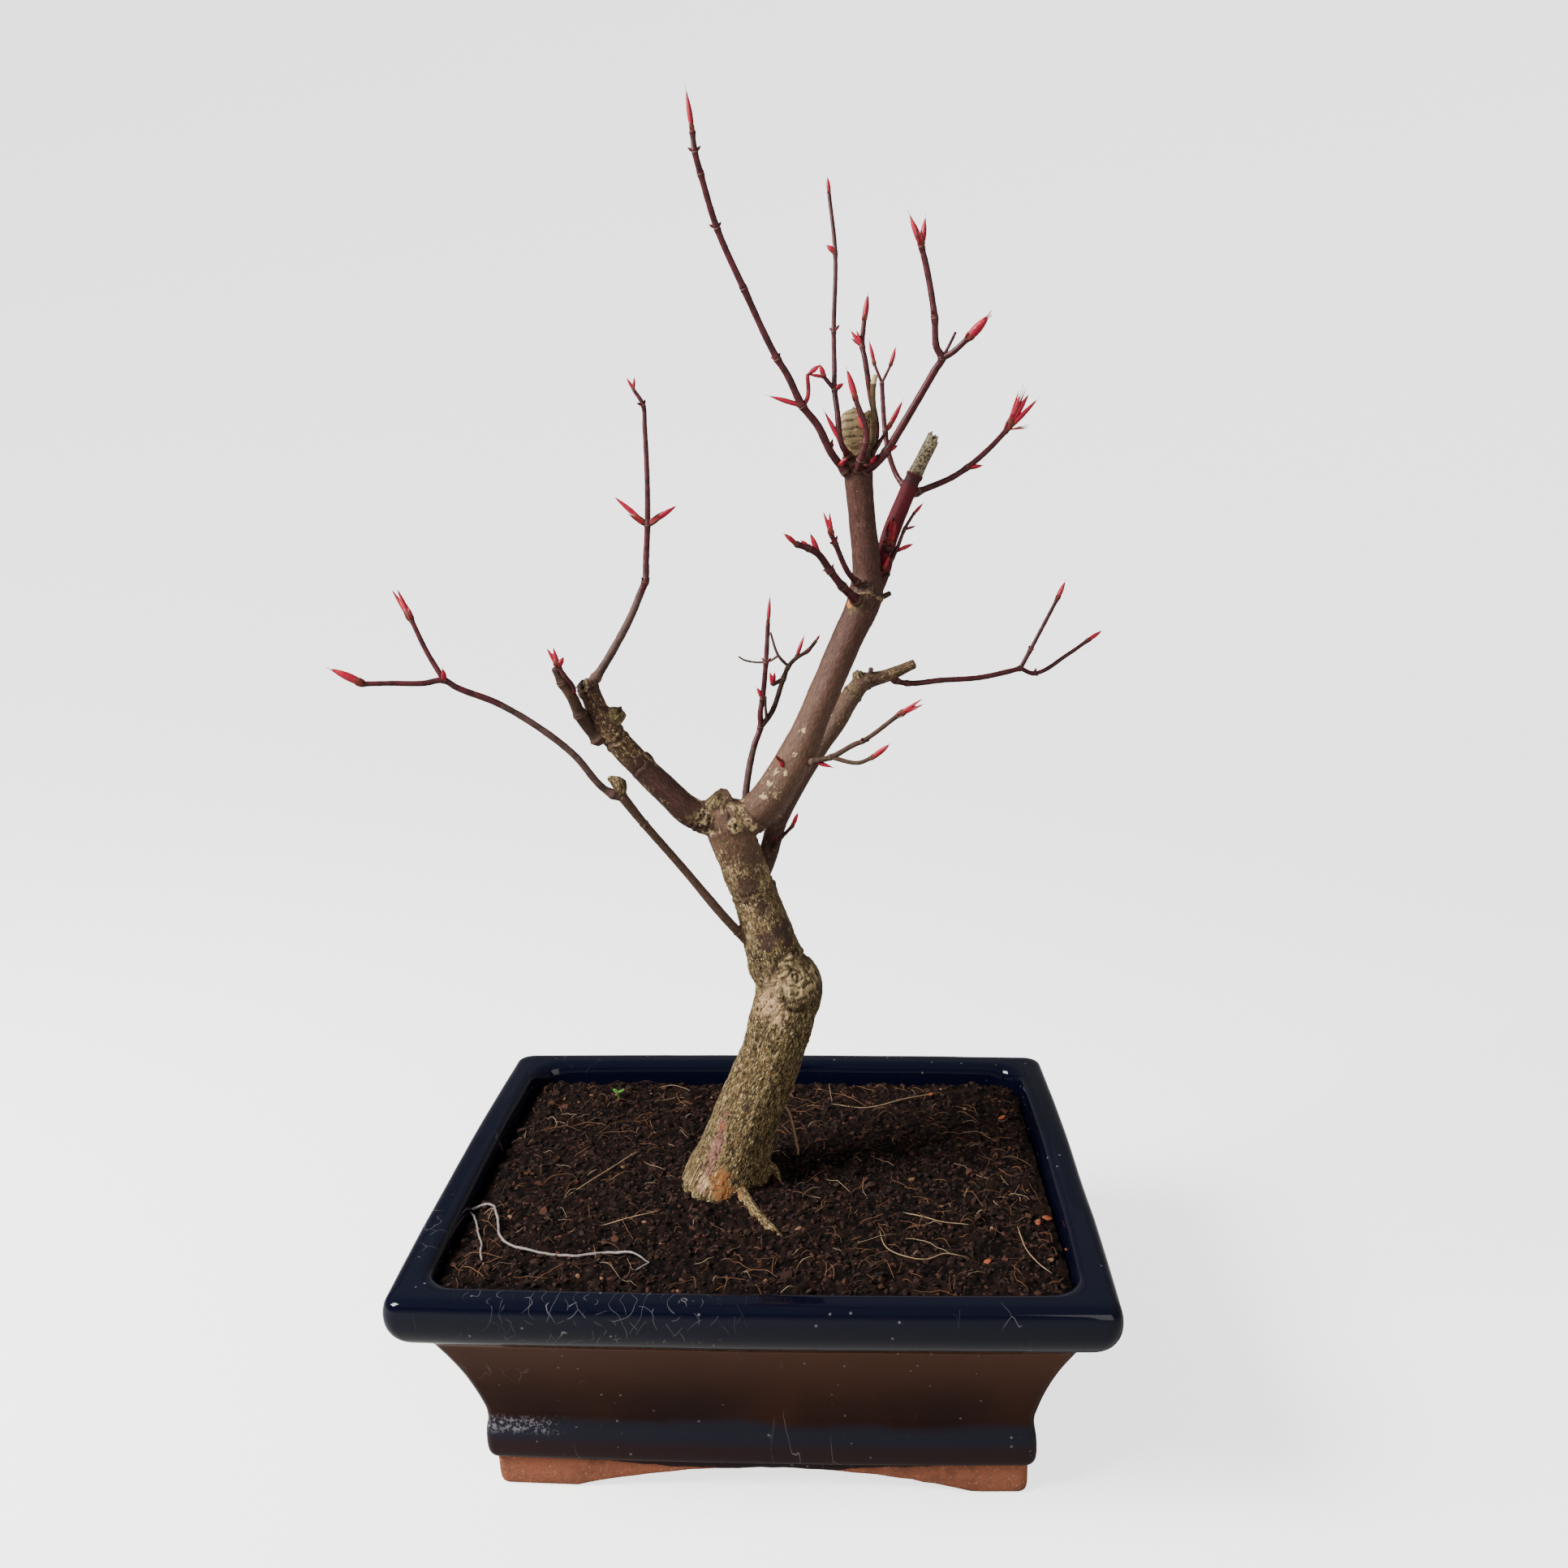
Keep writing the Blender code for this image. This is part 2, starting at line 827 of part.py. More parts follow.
def smooth_line(points, radii, nodes, steps):
    """Stations of a smooth line through the points, with a raised ring at each node."""
    ways = [(b - a).normalized() for a, b in zip(points, points[1:])]
    tangents = [ways[0]]
    for before, after in zip(ways, ways[1:]):
        tangents.append((before + after).normalized())
    tangents.append(ways[-1])
    stations = []
    for i, (a, b) in enumerate(zip(points, points[1:])):
        length = (b - a).length
        lip = min(NODE_HALF / length, 0.35)
        pieces = steps if length > LONG_RUN else 1
        cuts = {piece / pieces for piece in range(pieces)}
        if i in nodes:
            cuts.add(lip)
        if i + 1 in nodes:
            cuts.add(1.0 - lip)
        for t in sorted(cuts):
            h = 2 * t**3 - 3 * t**2 + 1
            out = (t**3 - 2 * t**2 + t) * length
            into = (t**3 - t**2) * length
            place = a * h + b * (1 - h) + tangents[i] * out + tangents[i + 1] * into
            radius = radii[i] + (radii[i + 1] - radii[i]) * t
            if t == 0 and i in nodes:
                radius *= NODE_SWELL
            stations.append((place, radius))
    swell = NODE_SWELL if len(points) - 1 in nodes else 1.0
    stations.append((points[-1], radii[-1] * swell))
    return stations


def ring_frames(stations, sides, extra):
    """Placing matrix of each ring, turned with the line without twisting."""
    fatten = 2.0 / (1.0 + math.cos(math.pi / sides))
    places = [place for place, radius in stations]
    frames = []
    across = None
    for i, (place, radius) in enumerate(stations):
        ahead = places[min(i + 1, len(places) - 1)]
        behind = places[max(i - 1, 0)]
        way = (ahead - behind).normalized()
        if across is None:
            across = way.orthogonal().normalized()
        across = (across - way * across.dot(way)).normalized()
        side = way.cross(across)
        turn = Matrix((across, side, way)).transposed().to_4x4()
        frames.append(Matrix.Translation(place) @ turn @ Matrix.Scale(radius * fatten + extra, 4))
    return frames


def sweep(stations, sides, extra=0.0):
    """Closed round tube along the stations, as a bmesh."""
    frames = ring_frames(stations, sides, extra)
    tube = bmesh.new()
    bmesh.ops.create_circle(tube, cap_ends=False, segments=sides, radius=1.0, matrix=frames[0])
    edges = list(tube.edges)
    bmesh.ops.contextual_create(tube, geom=edges)
    for before, after in zip(frames, frames[1:]):
        made = bmesh.ops.extrude_edge_only(tube, edges=edges)["geom"]
        verts = {item for item in made if isinstance(item, bmesh.types.BMVert)}
        edges = [item for item in made if isinstance(item, bmesh.types.BMEdge)]
        edges = [edge for edge in edges if verts.issuperset(edge.verts)]
        bmesh.ops.transform(tube, matrix=after @ before.inverted(), verts=list(verts))
    bmesh.ops.contextual_create(tube, geom=edges)
    return tube


def limb_bmesh(limb, extra=0.0):
    """Tapering tube of a trunk, bough, root or stub."""
    points = end_points(limb.start, limb.runs)
    radii = [limb.start[3]] + [run[3] for run in limb.runs]
    return sweep(smooth_line(points, radii, (), limb.steps), limb.sides, extra)


def flare_foot(tube):
    """Spread the trunk's foot into buttresses that fade upwards."""
    middle = Vector(TRUNK.start[:2])
    for vert in tube.verts:
        outward = vert.co.xy - middle
        if outward.length < 1.0:
            continue
        heading = math.atan2(outward.y, outward.x)
        fade = math.exp(-max(vert.co.z - SOIL_TOP, 0.0) / FLARE_FADE)
        for bearing, reach in BUTTRESSES:
            lobe = max(0.0, math.cos(heading - math.radians(bearing))) ** 4
            vert.co.xy += outward.normalized() * reach * lobe * fade
    return tube


def trunk_parts(extra=0.0):
    """Meshes that the trunk is joined from: the stem first, then burl and surface roots."""
    parts = [flare_foot(limb_bmesh(TRUNK, extra)), limb_bmesh(FORK_BURL, extra)]
    parts += [limb_bmesh(root, extra) for root in SURFACE_ROOTS]
    return parts


def limb_parts(name, extra=0.0):
    """Meshes that a named limb is joined from, made thicker by extra."""
    if name == "trunk":
        return trunk_parts(extra)
    parts = [limb_bmesh(BOUGHS[name], extra)]
    parts += [limb_bmesh(stub, extra) for bough, stub in STUBS if bough == name]
    return parts


def join(name, parts):
    """One closed object from overlapping meshes."""
    made = make_object(name, parts[0])
    if len(parts) > 1:
        others = scratch_collection(name + "_parts")
        for i, part in enumerate(parts[1:]):
            make_object(f"{name}_part_{i}", part, others)
        boolean(made, "UNION", others)
    return made


def cut_clear(target, neighbours):
    """Cut a piece back so that it stands GAP off the limbs it grows from."""
    for name in neighbours:
        cutters = scratch_collection(target.name + "_cutters")
        for i, part in enumerate(limb_parts(name, GAP)):
            make_object(f"{target.name}_cutter_{i}", part, cutters)
        boolean(target, "DIFFERENCE", cutters)


def bud_bmesh(root, reach, radius):
    """Pointed bud that swells above its foot; reach is its full length and direction."""
    stations = [(root + reach * along, radius * width) for along, width in BUD_SHAPE]
    return sweep(stations, BUD_SIDES)


def resting_pair(rng, root, way, turn):
    """Two small closed buds on opposite sides of a node."""
    across = way.orthogonal().normalized()
    across.rotate(Matrix.Rotation(turn, 3, way))
    buds = []
    for side in (1, -1):
        length = rng.uniform(*DORMANT_LENGTH)
        reach = (across * side * 0.75 + way * 0.65) * length
        buds.append(bud_bmesh(root, reach, DORMANT_RADIUS))
    return buds


def twig_parts(twig, root, rng):
    """Meshes of a twig with its buds and its side twigs; the twig itself comes first."""
    points = end_points(root, twig.runs)
    last = len(points) - 1
    radii = [twig.thick + (twig.thin - twig.thick) * i / last for i in range(last + 1)]
    parts = [sweep(smooth_line(points, radii, twig.nodes, 2), TWIG_SIDES)]
    for station, reach, radius in twig.buds:
        parts.append(bud_bmesh(points[station], Vector(reach), radius))
    budded = {station for station, reach, radius in twig.buds} | {station for station, side in twig.sides}
    turn = rng.uniform(0.0, math.pi)
    for node in twig.nodes:
        turn += math.pi / 2
        if twig.resting and node not in budded and node < last:
            way = (points[node + 1] - points[node]).normalized()
            parts += resting_pair(rng, points[node], way, turn)
    for station, side in twig.sides:
        parts += twig_parts(side, points[station], rng)
    return parts


def make_trunk(material):
    """Trunk with its flare, burl and surface roots, cut flat just above the soil."""
    trunk = join("trunk", trunk_parts())
    cut = bmesh.new()
    cut.from_mesh(trunk.data)
    level = Vector((0.0, 0.0, (SOIL_TOP + GAP) * MM))
    everything = cut.verts[:] + cut.edges[:] + cut.faces[:]
    made = bmesh.ops.bisect_plane(cut, geom=everything, plane_co=level, plane_no=(0, 0, 1), clear_inner=True)
    rim = [item for item in made["geom_cut"] if isinstance(item, bmesh.types.BMEdge)]
    bmesh.ops.holes_fill(cut, edges=rim)
    bmesh.ops.recalc_face_normals(cut, faces=cut.faces)
    cut.to_mesh(trunk.data)
    cut.free()
    return finish(trunk, material)


def make_boughs(material, red):
    """The five limbs that leave the trunk or the leader."""
    for name, meets in BOUGH_MEETS.items():
        bough = join(name, limb_parts(name))
        cut_clear(bough, meets)
        finish(bough, red if name == "red_bough" else material)


def make_sprays(material):
    """Every mass of twigs, each fused into one solid and cut clear of its limb."""
    rng = random.Random(SEED)
    for name, (meets, twig) in SPRAYS.items():
        spray = join(name, twig_parts(twig, twig.start, rng))
        cut_clear(spray, meets)
        finish(spray, material)


def rectangle_points(half_x, half_y, corner, z):
    """Points of a rectangle with rounded corners and slightly bowed sides, in order round it."""
    points = []
    for quarter in range(4):
        sign_x = 1 if quarter in (0, 3) else -1
        sign_y = 1 if quarter in (0, 1) else -1
        for step in range(CORNER_STEPS + 1):
            angle = math.radians(90 * (quarter + step / CORNER_STEPS))
            x = sign_x * (half_x - corner) + corner * math.cos(angle)
            y = sign_y * (half_y - corner) + corner * math.sin(angle)
            points.append(Vector((x, y, z)))
        outward = Vector((0.0, 1.0, 0.0)) if quarter % 2 == 0 else Vector((1.0, 0.0, 0.0))
        outward *= 1.0 if quarter in (0, 3) else -1.0
        start = points[-1]
        for step in range(1, SIDE_STEPS):
            t = step / SIDE_STEPS
            along = (half_x if quarter % 2 == 0 else half_y) - corner
            way = Vector((-outward.y, outward.x, 0.0))
            points.append(start + way * 2 * along * t + outward * SIDE_BOW * 4 * t * (1 - t))
    return points


def loft(outline):
    """Closed solid through rings told as (inset from the pot's outside, height, corner radius)."""
    rings = []
    for inset, height, corner in outline:
        middle = Vector((FOOT_SHIFT * max(0.0, 1.0 - height / SHIFT_HEIGHT), POT_MIDDLE_Y, 0.0))
        corners = rectangle_points(POT_LENGTH / 2 - inset, POT_DEPTH / 2 - inset, corner, height)
        rings.append([point + middle for point in corners])
    solid = bmesh.new()
    verts = [solid.verts.new(point) for point in rings[0]]
    solid.faces.new(verts)
    for ring in rings[1:]:
        edges = [solid.edges.get((a, b)) for a, b in zip(verts, verts[1:] + verts[:1])]
        made = bmesh.ops.extrude_edge_only(solid, edges=edges)["geom"]
        grown = [item for item in made if isinstance(item, bmesh.types.BMVert)]
        above = {edge.other_vert(vert): vert for vert in grown for edge in vert.link_edges}
        verts = [above[vert] for vert in verts]
        for vert, point in zip(verts, ring):
            vert.co = point
    solid.faces.new(verts)
    return solid


def cove(start, end, steps, depth):
    """Points of a hollow curve between two (inset, height) points, bowed inwards by depth."""
    (inset_a, height_a), (inset_b, height_b) = start, end
    points = []
    for step in range(1, steps):
        t = step / steps
        bow = depth * math.sin(math.pi * t)
        inset = inset_a + (inset_b - inset_a) * t + bow
        height = height_a + (height_b - height_a) * t - bow * 0.2
        points.append((inset, height))
    return points


def outer_outline():
    """Outside of the pot from the foot up to the rim's outer edge, as (inset, height, corner)."""
    body = BODY_CORNER
    lines = [(FOOT_INSET, 0.0, body), (FOOT_INSET - 0.2, FOOT_HEIGHT, body)]
    lines += [
        (MOULDING_INSET + 0.8, FOOT_HEIGHT + 0.5, body),
        (MOULDING_INSET, MOULDING_BOTTOM + 1.0, body),
        (MOULDING_INSET, MOULDING_TOP - 1.0, body),
        (MOULDING_INSET + 0.5, MOULDING_TOP + 1.5, body),
    ]
    lines.append((WAIST_INSET, WAIST_HEIGHT, body))
    under_band = (10.2, 59.3)
    hollow = cove((WAIST_INSET, WAIST_HEIGHT), under_band, 6, 1.2)
    lines += [(inset, height, body) for inset, height in hollow]
    lines.append((*under_band, body))
    band = [(6.0, 62.6), (2.4, BAND_BOTTOM), (0.5, 69.0), (0.0, 73.0), (0.4, 76.5), (1.5, 78.4)]
    band.append((3.2, POT_HEIGHT))
    lines += [(inset, height, RIM_CORNER) for inset, height in band]
    return lines


def inner_outline(clearance=0.0):
    """Inside of the pot from the rim's inner edge down to its floor, as (inset, height, corner)."""
    lip = RIM_WIDTH + clearance
    deep = WAIST_INSET + WALL + clearance
    corner = OPENING_CORNER - clearance
    floor = FLOOR_TOP + clearance
    walls = [(lip + 0.6, 74.5), (lip + 1.4, 66.0), (lip + 5.5, 58.0)]
    walls += [(deep - 4.5, 45.0), (deep, 30.0), (deep + 2.0, floor + 4.0)]
    lines = [(inset, height, corner) for inset, height in walls]
    lines.append((deep + 6.0, floor, corner - 3.0))
    return lines


def arch_cutter(name, span, middle, along_x, collection):
    """Shallow arched passage through the foot, from one side of the pot to the other."""
    radius = (span**2 / 4 + ARCH_HEIGHT**2) / (2 * ARCH_HEIGHT)
    turn = Matrix.Rotation(math.radians(90), 4, "Y" if along_x else "X")
    place = Matrix.Translation((middle, 0.0, ARCH_HEIGHT - radius))
    cutter = bmesh.new()
    bmesh.ops.create_cone(
        cutter,
        cap_ends=True,
        segments=ARCH_STEPS,
        radius1=radius,
        radius2=radius,
        depth=POT_LENGTH * 1.2,
        matrix=place @ turn,
    )
    make_object(name, cutter, collection)


def make_pot(material):
    """Glazed pot: foot ring with four corner feet, coved body, thick rolled rim, open inside."""
    foot_inside = FOOT_INSET + FOOT_WALL
    under = [(foot_inside + 1.0, FLOOR_UNDERSIDE, 4.0), (foot_inside, 0.0, 4.0)]
    lip = [(RIM_WIDTH - 2.5, POT_HEIGHT, OPENING_CORNER)]
    lip.append((RIM_WIDTH - 0.4, POT_HEIGHT - 1.2, OPENING_CORNER))
    pot = make_object("pot", loft(under + outer_outline() + lip + inner_outline()))
    cutters = scratch_collection("arches")
    arch_cutter("arch_front_to_back", LONG_ARCH, LONG_ARCH_MIDDLE, False, cutters)
    arch_cutter("arch_side_to_side", SHORT_ARCH, 0.0, True, cutters)
    boolean(pot, "DIFFERENCE", cutters)
    return finish(pot, material)


def make_soil(material):
    """Potting soil filling the pot to just under its rim."""
    lines = [line for line in inner_outline(GAP) if line[1] < SOIL_TOP]
    top = (RIM_WIDTH + GAP + 0.9, SOIL_TOP, OPENING_CORNER - GAP)
    return finish(make_object("soil", loft([top] + lines)), material, smooth=False)


def main():
    """Build the pot, its soil and the tree."""
    clear_scene()
    glaze = plain_material("navy_glaze", GLAZE_COLOUR, 0.15)
    earth = plain_material("dark_soil", SOIL_COLOUR, 0.95)
    bark = plain_material("bark", BARK_COLOUR, 0.8)
    red_bark = plain_material("red_bark", RED_BARK_COLOUR, 0.55)
    shoots = plain_material("red_shoots", TWIG_COLOUR, 0.5)
    make_pot(glaze)
    make_soil(earth)
    make_trunk(bark)
    make_boughs(bark, red_bark)
    make_sprays(shoots)


main()
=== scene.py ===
"""Finished surfaces of a small maple bonsai in a glazed oblong pot, in early spring.

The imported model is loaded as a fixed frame, and each operator below makes one piece or one group of like
pieces: the pot, the soil, the litter on it, the bark, the twigs, the buds and the stage. Sizes inside the
script are in millimetres and become metres as each mesh is made. +X is the viewer's right, +Y goes away
from the viewer and +Z is up.
"""

import math
import random
from dataclasses import dataclass
from types import SimpleNamespace

import bmesh
import bpy
import numpy as np
from bpy.props import FloatProperty, FloatVectorProperty, IntProperty, PointerProperty
from mathutils import Matrix, Vector, noise


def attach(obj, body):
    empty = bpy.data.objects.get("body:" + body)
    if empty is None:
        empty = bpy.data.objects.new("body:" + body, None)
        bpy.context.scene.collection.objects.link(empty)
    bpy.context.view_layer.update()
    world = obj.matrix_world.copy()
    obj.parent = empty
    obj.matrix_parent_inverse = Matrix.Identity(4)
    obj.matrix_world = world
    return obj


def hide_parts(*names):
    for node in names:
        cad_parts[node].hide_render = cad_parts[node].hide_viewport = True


bl_info = {
    "name": "Maple Bonsai",
    "version": (1, 0, 0),
    "blender": (4, 5, 0),
    "location": "View3D > Sidebar > Bonsai",
    "description": "Bark, twigs, buds, soil and glazed pot of a small bare maple bonsai",
    "category": "Object",
}

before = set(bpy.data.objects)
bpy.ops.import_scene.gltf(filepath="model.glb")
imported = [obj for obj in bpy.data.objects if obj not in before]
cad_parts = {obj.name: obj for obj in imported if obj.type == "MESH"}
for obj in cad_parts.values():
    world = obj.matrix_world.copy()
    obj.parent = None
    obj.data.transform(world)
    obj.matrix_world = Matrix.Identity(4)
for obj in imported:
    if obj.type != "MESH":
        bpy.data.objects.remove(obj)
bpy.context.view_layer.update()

MM = 0.001
BODY = "root"
SEED = 41

# Camera of the photograph, in metres and degrees; its focal length is in pixels of the square image.
IMAGE_SIZE = 1932
FOCAL_PIXELS = 1607.75
SENSOR_WIDTH = 36.0
CAMERA_PLACE = (0.0287, -0.4020, 0.3031)
CAMERA_YAW = -2.818
CAMERA_PITCH = 13.050
CAMERA_ROLL = -1.014

# Pot: outside sizes, then where its outline turns.
POT_LENGTH = 210.0
POT_DEPTH = 167.0
POT_MIDDLE_Y = 1.0
POT_HEIGHT = 79.0
RIM_WIDTH = 10.5
BAND_BOTTOM = 65.0
WAIST_HEIGHT = 27.5
WAIST_INSET = 21.2
MOULDING_TOP = 22.0
MOULDING_BOTTOM = 12.0
MOULDING_INSET = 20.7
FOOT_INSET = 23.0
FOOT_HEIGHT = 10.8
FOOT_WALL = 9.0
FLOOR_UNDERSIDE = 10.0
FLOOR_TOP = 17.0
WALL = 7.5
RIM_CORNER = 5.0
BODY_CORNER = 3.0
OPENING_CORNER = 11.0
CORNER_STEPS = 9
SIDE_STEPS = 44
SIDE_BOW = 1.1
# The foot stands a little right of the rim; the lean fades out by this height.
FOOT_SHIFT = 1.0
SHIFT_HEIGHT = 50.0
LONG_ARCH = 122.0
LONG_ARCH_MIDDLE = 5.0
SHORT_ARCH = 66.0
ARCH_HEIGHT = 8.4

# Soil: its level at the back and at the front, and how rough it lies.
SOIL_BACK = 72.3
SOIL_FRONT = 75.0
SOIL_DEPTH = 14.0
SOIL_STEP = 0.60
CLOD_SIZE = 9.0
CRUMB_SIZE = 2.4
CRUMB_RISE = 1.5
# Share of a crumb's height that lies level with the soil.
CRUMB_LEVEL = 0.4
# The soil sinks along the rim and is heaped round the trunk's foot.
TROUGH_DEPTH = 1.3
TROUGH_WIDTH = 3.5
HEAP_RISE = 0.9
HEAP_SPREAD = 19.0
# Its underside is this much smaller than its top.
SOIL_TAPER = 0.94
# Runs along a fibre, and its sides.
FIBRE_STEPS = 7
FIBRE_SIDES = 3

# Where the bark meets the soil, and how fast the buttresses fade above it.
SOIL_TOP = 72.0
FLARE_FADE = 7.0


@dataclass(frozen=True)
class Limb:
    """A trunk or bough: start and runs are (across, back, up, radius)."""

    start: tuple
    runs: tuple


@dataclass(frozen=True)
class Twig:
    """A twig that thins from thick to thin.

    Its runs are (across, back, up) and its nodes are the stations that carry a ring scar. Its buds are
    (station, reach, radius, form). A side twig starts at one of its parent's stations, given by at, and any
    other has a start of its own and meets the limbs that it names. Its first runs, as many as old says, are
    grey wood of the years before, and the rest is red.
    """

    thick: float
    thin: float
    runs: tuple
    start: tuple = (0.0, 0.0, 0.0)
    nodes: tuple = ()
    buds: tuple = ()
    sides: tuple = ()
    resting: bool = True
    old: int = 0
    wood: str = "young"
    meets: tuple = ()
    at: int = 0


# The trunk leans right to its old pruning knob, then back left to the fork.
TRUNK = Limb(
    start=(-14.5, -3.0, 66.0, 13.4),
    runs=(
        (0.5, 0.0, 6.5, 12.4), (5.0, 1.0, 13.5, 11.3), (5.2, 1.0, 15.0, 10.8), (6.8, 1.0, 15.5, 10.4),
        (4.1, 1.0, 15.0, 10.8), (2.1, 1.0, 9.5, 11.1), (-3.4, 0.0, 7.0, 9.4), (-2.0, 0.0, 6.5, 8.8),
        (-4.1, 0.0, 15.0, 7.4), (-5.1, -1.0, 15.0, 7.2), (-3.2, -1.0, 11.0, 7.6), (-1.2, 0.0, 6.5, 6.9),
        (-0.4, 0.0, 2.2, 4.4),
    ),
)
# Root flare: (bearing in degrees, reach) of each buttress, then the roots that lie on the soil.
BUTTRESSES = ((250.0, 6.0), (15.0, 4.0), (130.0, 3.0), (185.0, 1.5))
SURFACE_ROOTS = (
    Limb(
        start=(-11.0, -5.0, 75.0, 3.4),
        runs=(
            (3.0, -6.5, -1.0, 2.6), (6.0, -13.0, -0.4, 2.3), (6.3, -10.0, -0.6, 2.0),
            (6.2, -9.0, -1.2, 1.5),
        ),
    ),
    Limb(start=(-6.0, 2.0, 79.0, 2.0), runs=((8.5, -1.0, -3.5, 1.6), (2.8, -5.5, -2.2, 1.1))),
)
# Lump of callus at the fork.
FORK_BURL = Limb(start=(-11.2, -1.0, 200.0, 4.0), runs=((-0.7, -0.6, 4.4, 4.8), (-0.5, -0.4, 3.6, 3.8)))

BOUGHS = {
    "left_bough": Limb(
        start=(-9.5, 0.0, 198.0, 5.6),
        runs=(
            (-10.0, -2.0, 2.6, 4.9), (-8.8, -2.0, 8.5, 4.35), (-9.3, -2.0, 10.7, 4.05),
            (-5.7, -2.0, 7.4, 3.9), (-4.2, -1.0, 7.9, 3.5), (-2.0, -1.0, 6.4, 3.2),
            (-2.2, -0.6, 4.8, 3.7),
        ),
    ),
    "low_left_limb": Limb(
        start=(-3.0, 0.0, 157.0, 2.0),
        runs=(
            (-4.5, -3.0, 5.6, 1.6), (-17.0, -5.0, 23.7, 1.4), (-9.7, -4.0, 13.8, 1.4),
            (-6.3, -2.6, 9.8, 1.7),
        ),
    ),
    "leader_bough": Limb(
        start=(-8.5, 0.0, 196.0, 6.4),
        runs=(
            (7.8, 1.0, 4.2, 6.0), (12.2, 2.0, 16.0, 5.7), (7.6, 2.0, 15.5, 5.0), (10.0, 3.0, 22.9, 4.9),
            (5.9, 1.0, 13.5, 5.4), (0.3, 0.0, 8.0, 4.4), (-1.1, -1.0, 13.0, 4.2),
            (-0.8, -1.0, 9.0, 4.2), (-0.9, -1.0, 9.4, 4.6), (-0.9, 0.0, 7.0, 3.4),
            (0.0, 0.0, 10.3, 2.9),
        ),
    ),
    "red_bough": Limb(
        start=(36.5, 10.0, 266.0, 2.6),
        runs=(
            (4.0, 4.0, 10.0, 2.8), (1.7, 3.0, 7.9, 2.8), (6.2, 3.0, 15.3, 2.65), (1.8, 1.0, 4.0, 2.5),
            (3.1, 1.0, 6.0, 2.2), (3.2, 1.0, 6.1, 2.15),
        ),
    ),
    "rear_bough": Limb(
        start=(-1.5, 3.5, 174.5, 3.4),
        runs=(
            (4.0, 5.5, 9.0, 3.3), (3.6, 5.0, 11.0, 3.2), (12.9, 6.0, 21.9, 3.1), (6.6, 3.0, 10.0, 3.7),
            (4.8, 2.0, 7.2, 3.4), (3.8, 2.0, 4.0, 3.0), (8.2, 3.0, 2.0, 2.2), (9.4, 3.0, 3.5, 1.7),
        ),
    ),
}

# Cut stubs that stay on a bough: bough name and the stub.
STUBS = (
    ("left_bough", Limb((-45.6, -8.4, 229.5, 2.4), ((3.8, 0.0, 4.8, 3.0), (1.4, 0.0, 2.4, 2.7)))),
    (
        "low_left_limb",
        Limb((-40.6, -14.8, 210.4, 1.7), ((-0.2, 0.0, 3.0, 2.5), (-3.8, -0.3, 2.4, 0.9))),
    ),
    ("rear_bough", Limb((33.0, 27.0, 237.6, 1.8), ((-0.4, -0.8, 3.0, 2.0), (-0.3, -0.3, 1.8, 1.5)))),
    ("leader_bough", Limb((35.2, 6.0, 306.5, 1.8), ((1.2, 3.2, 5.0, 1.9), (-0.2, 0.8, 12.5, 1.8)))),
)

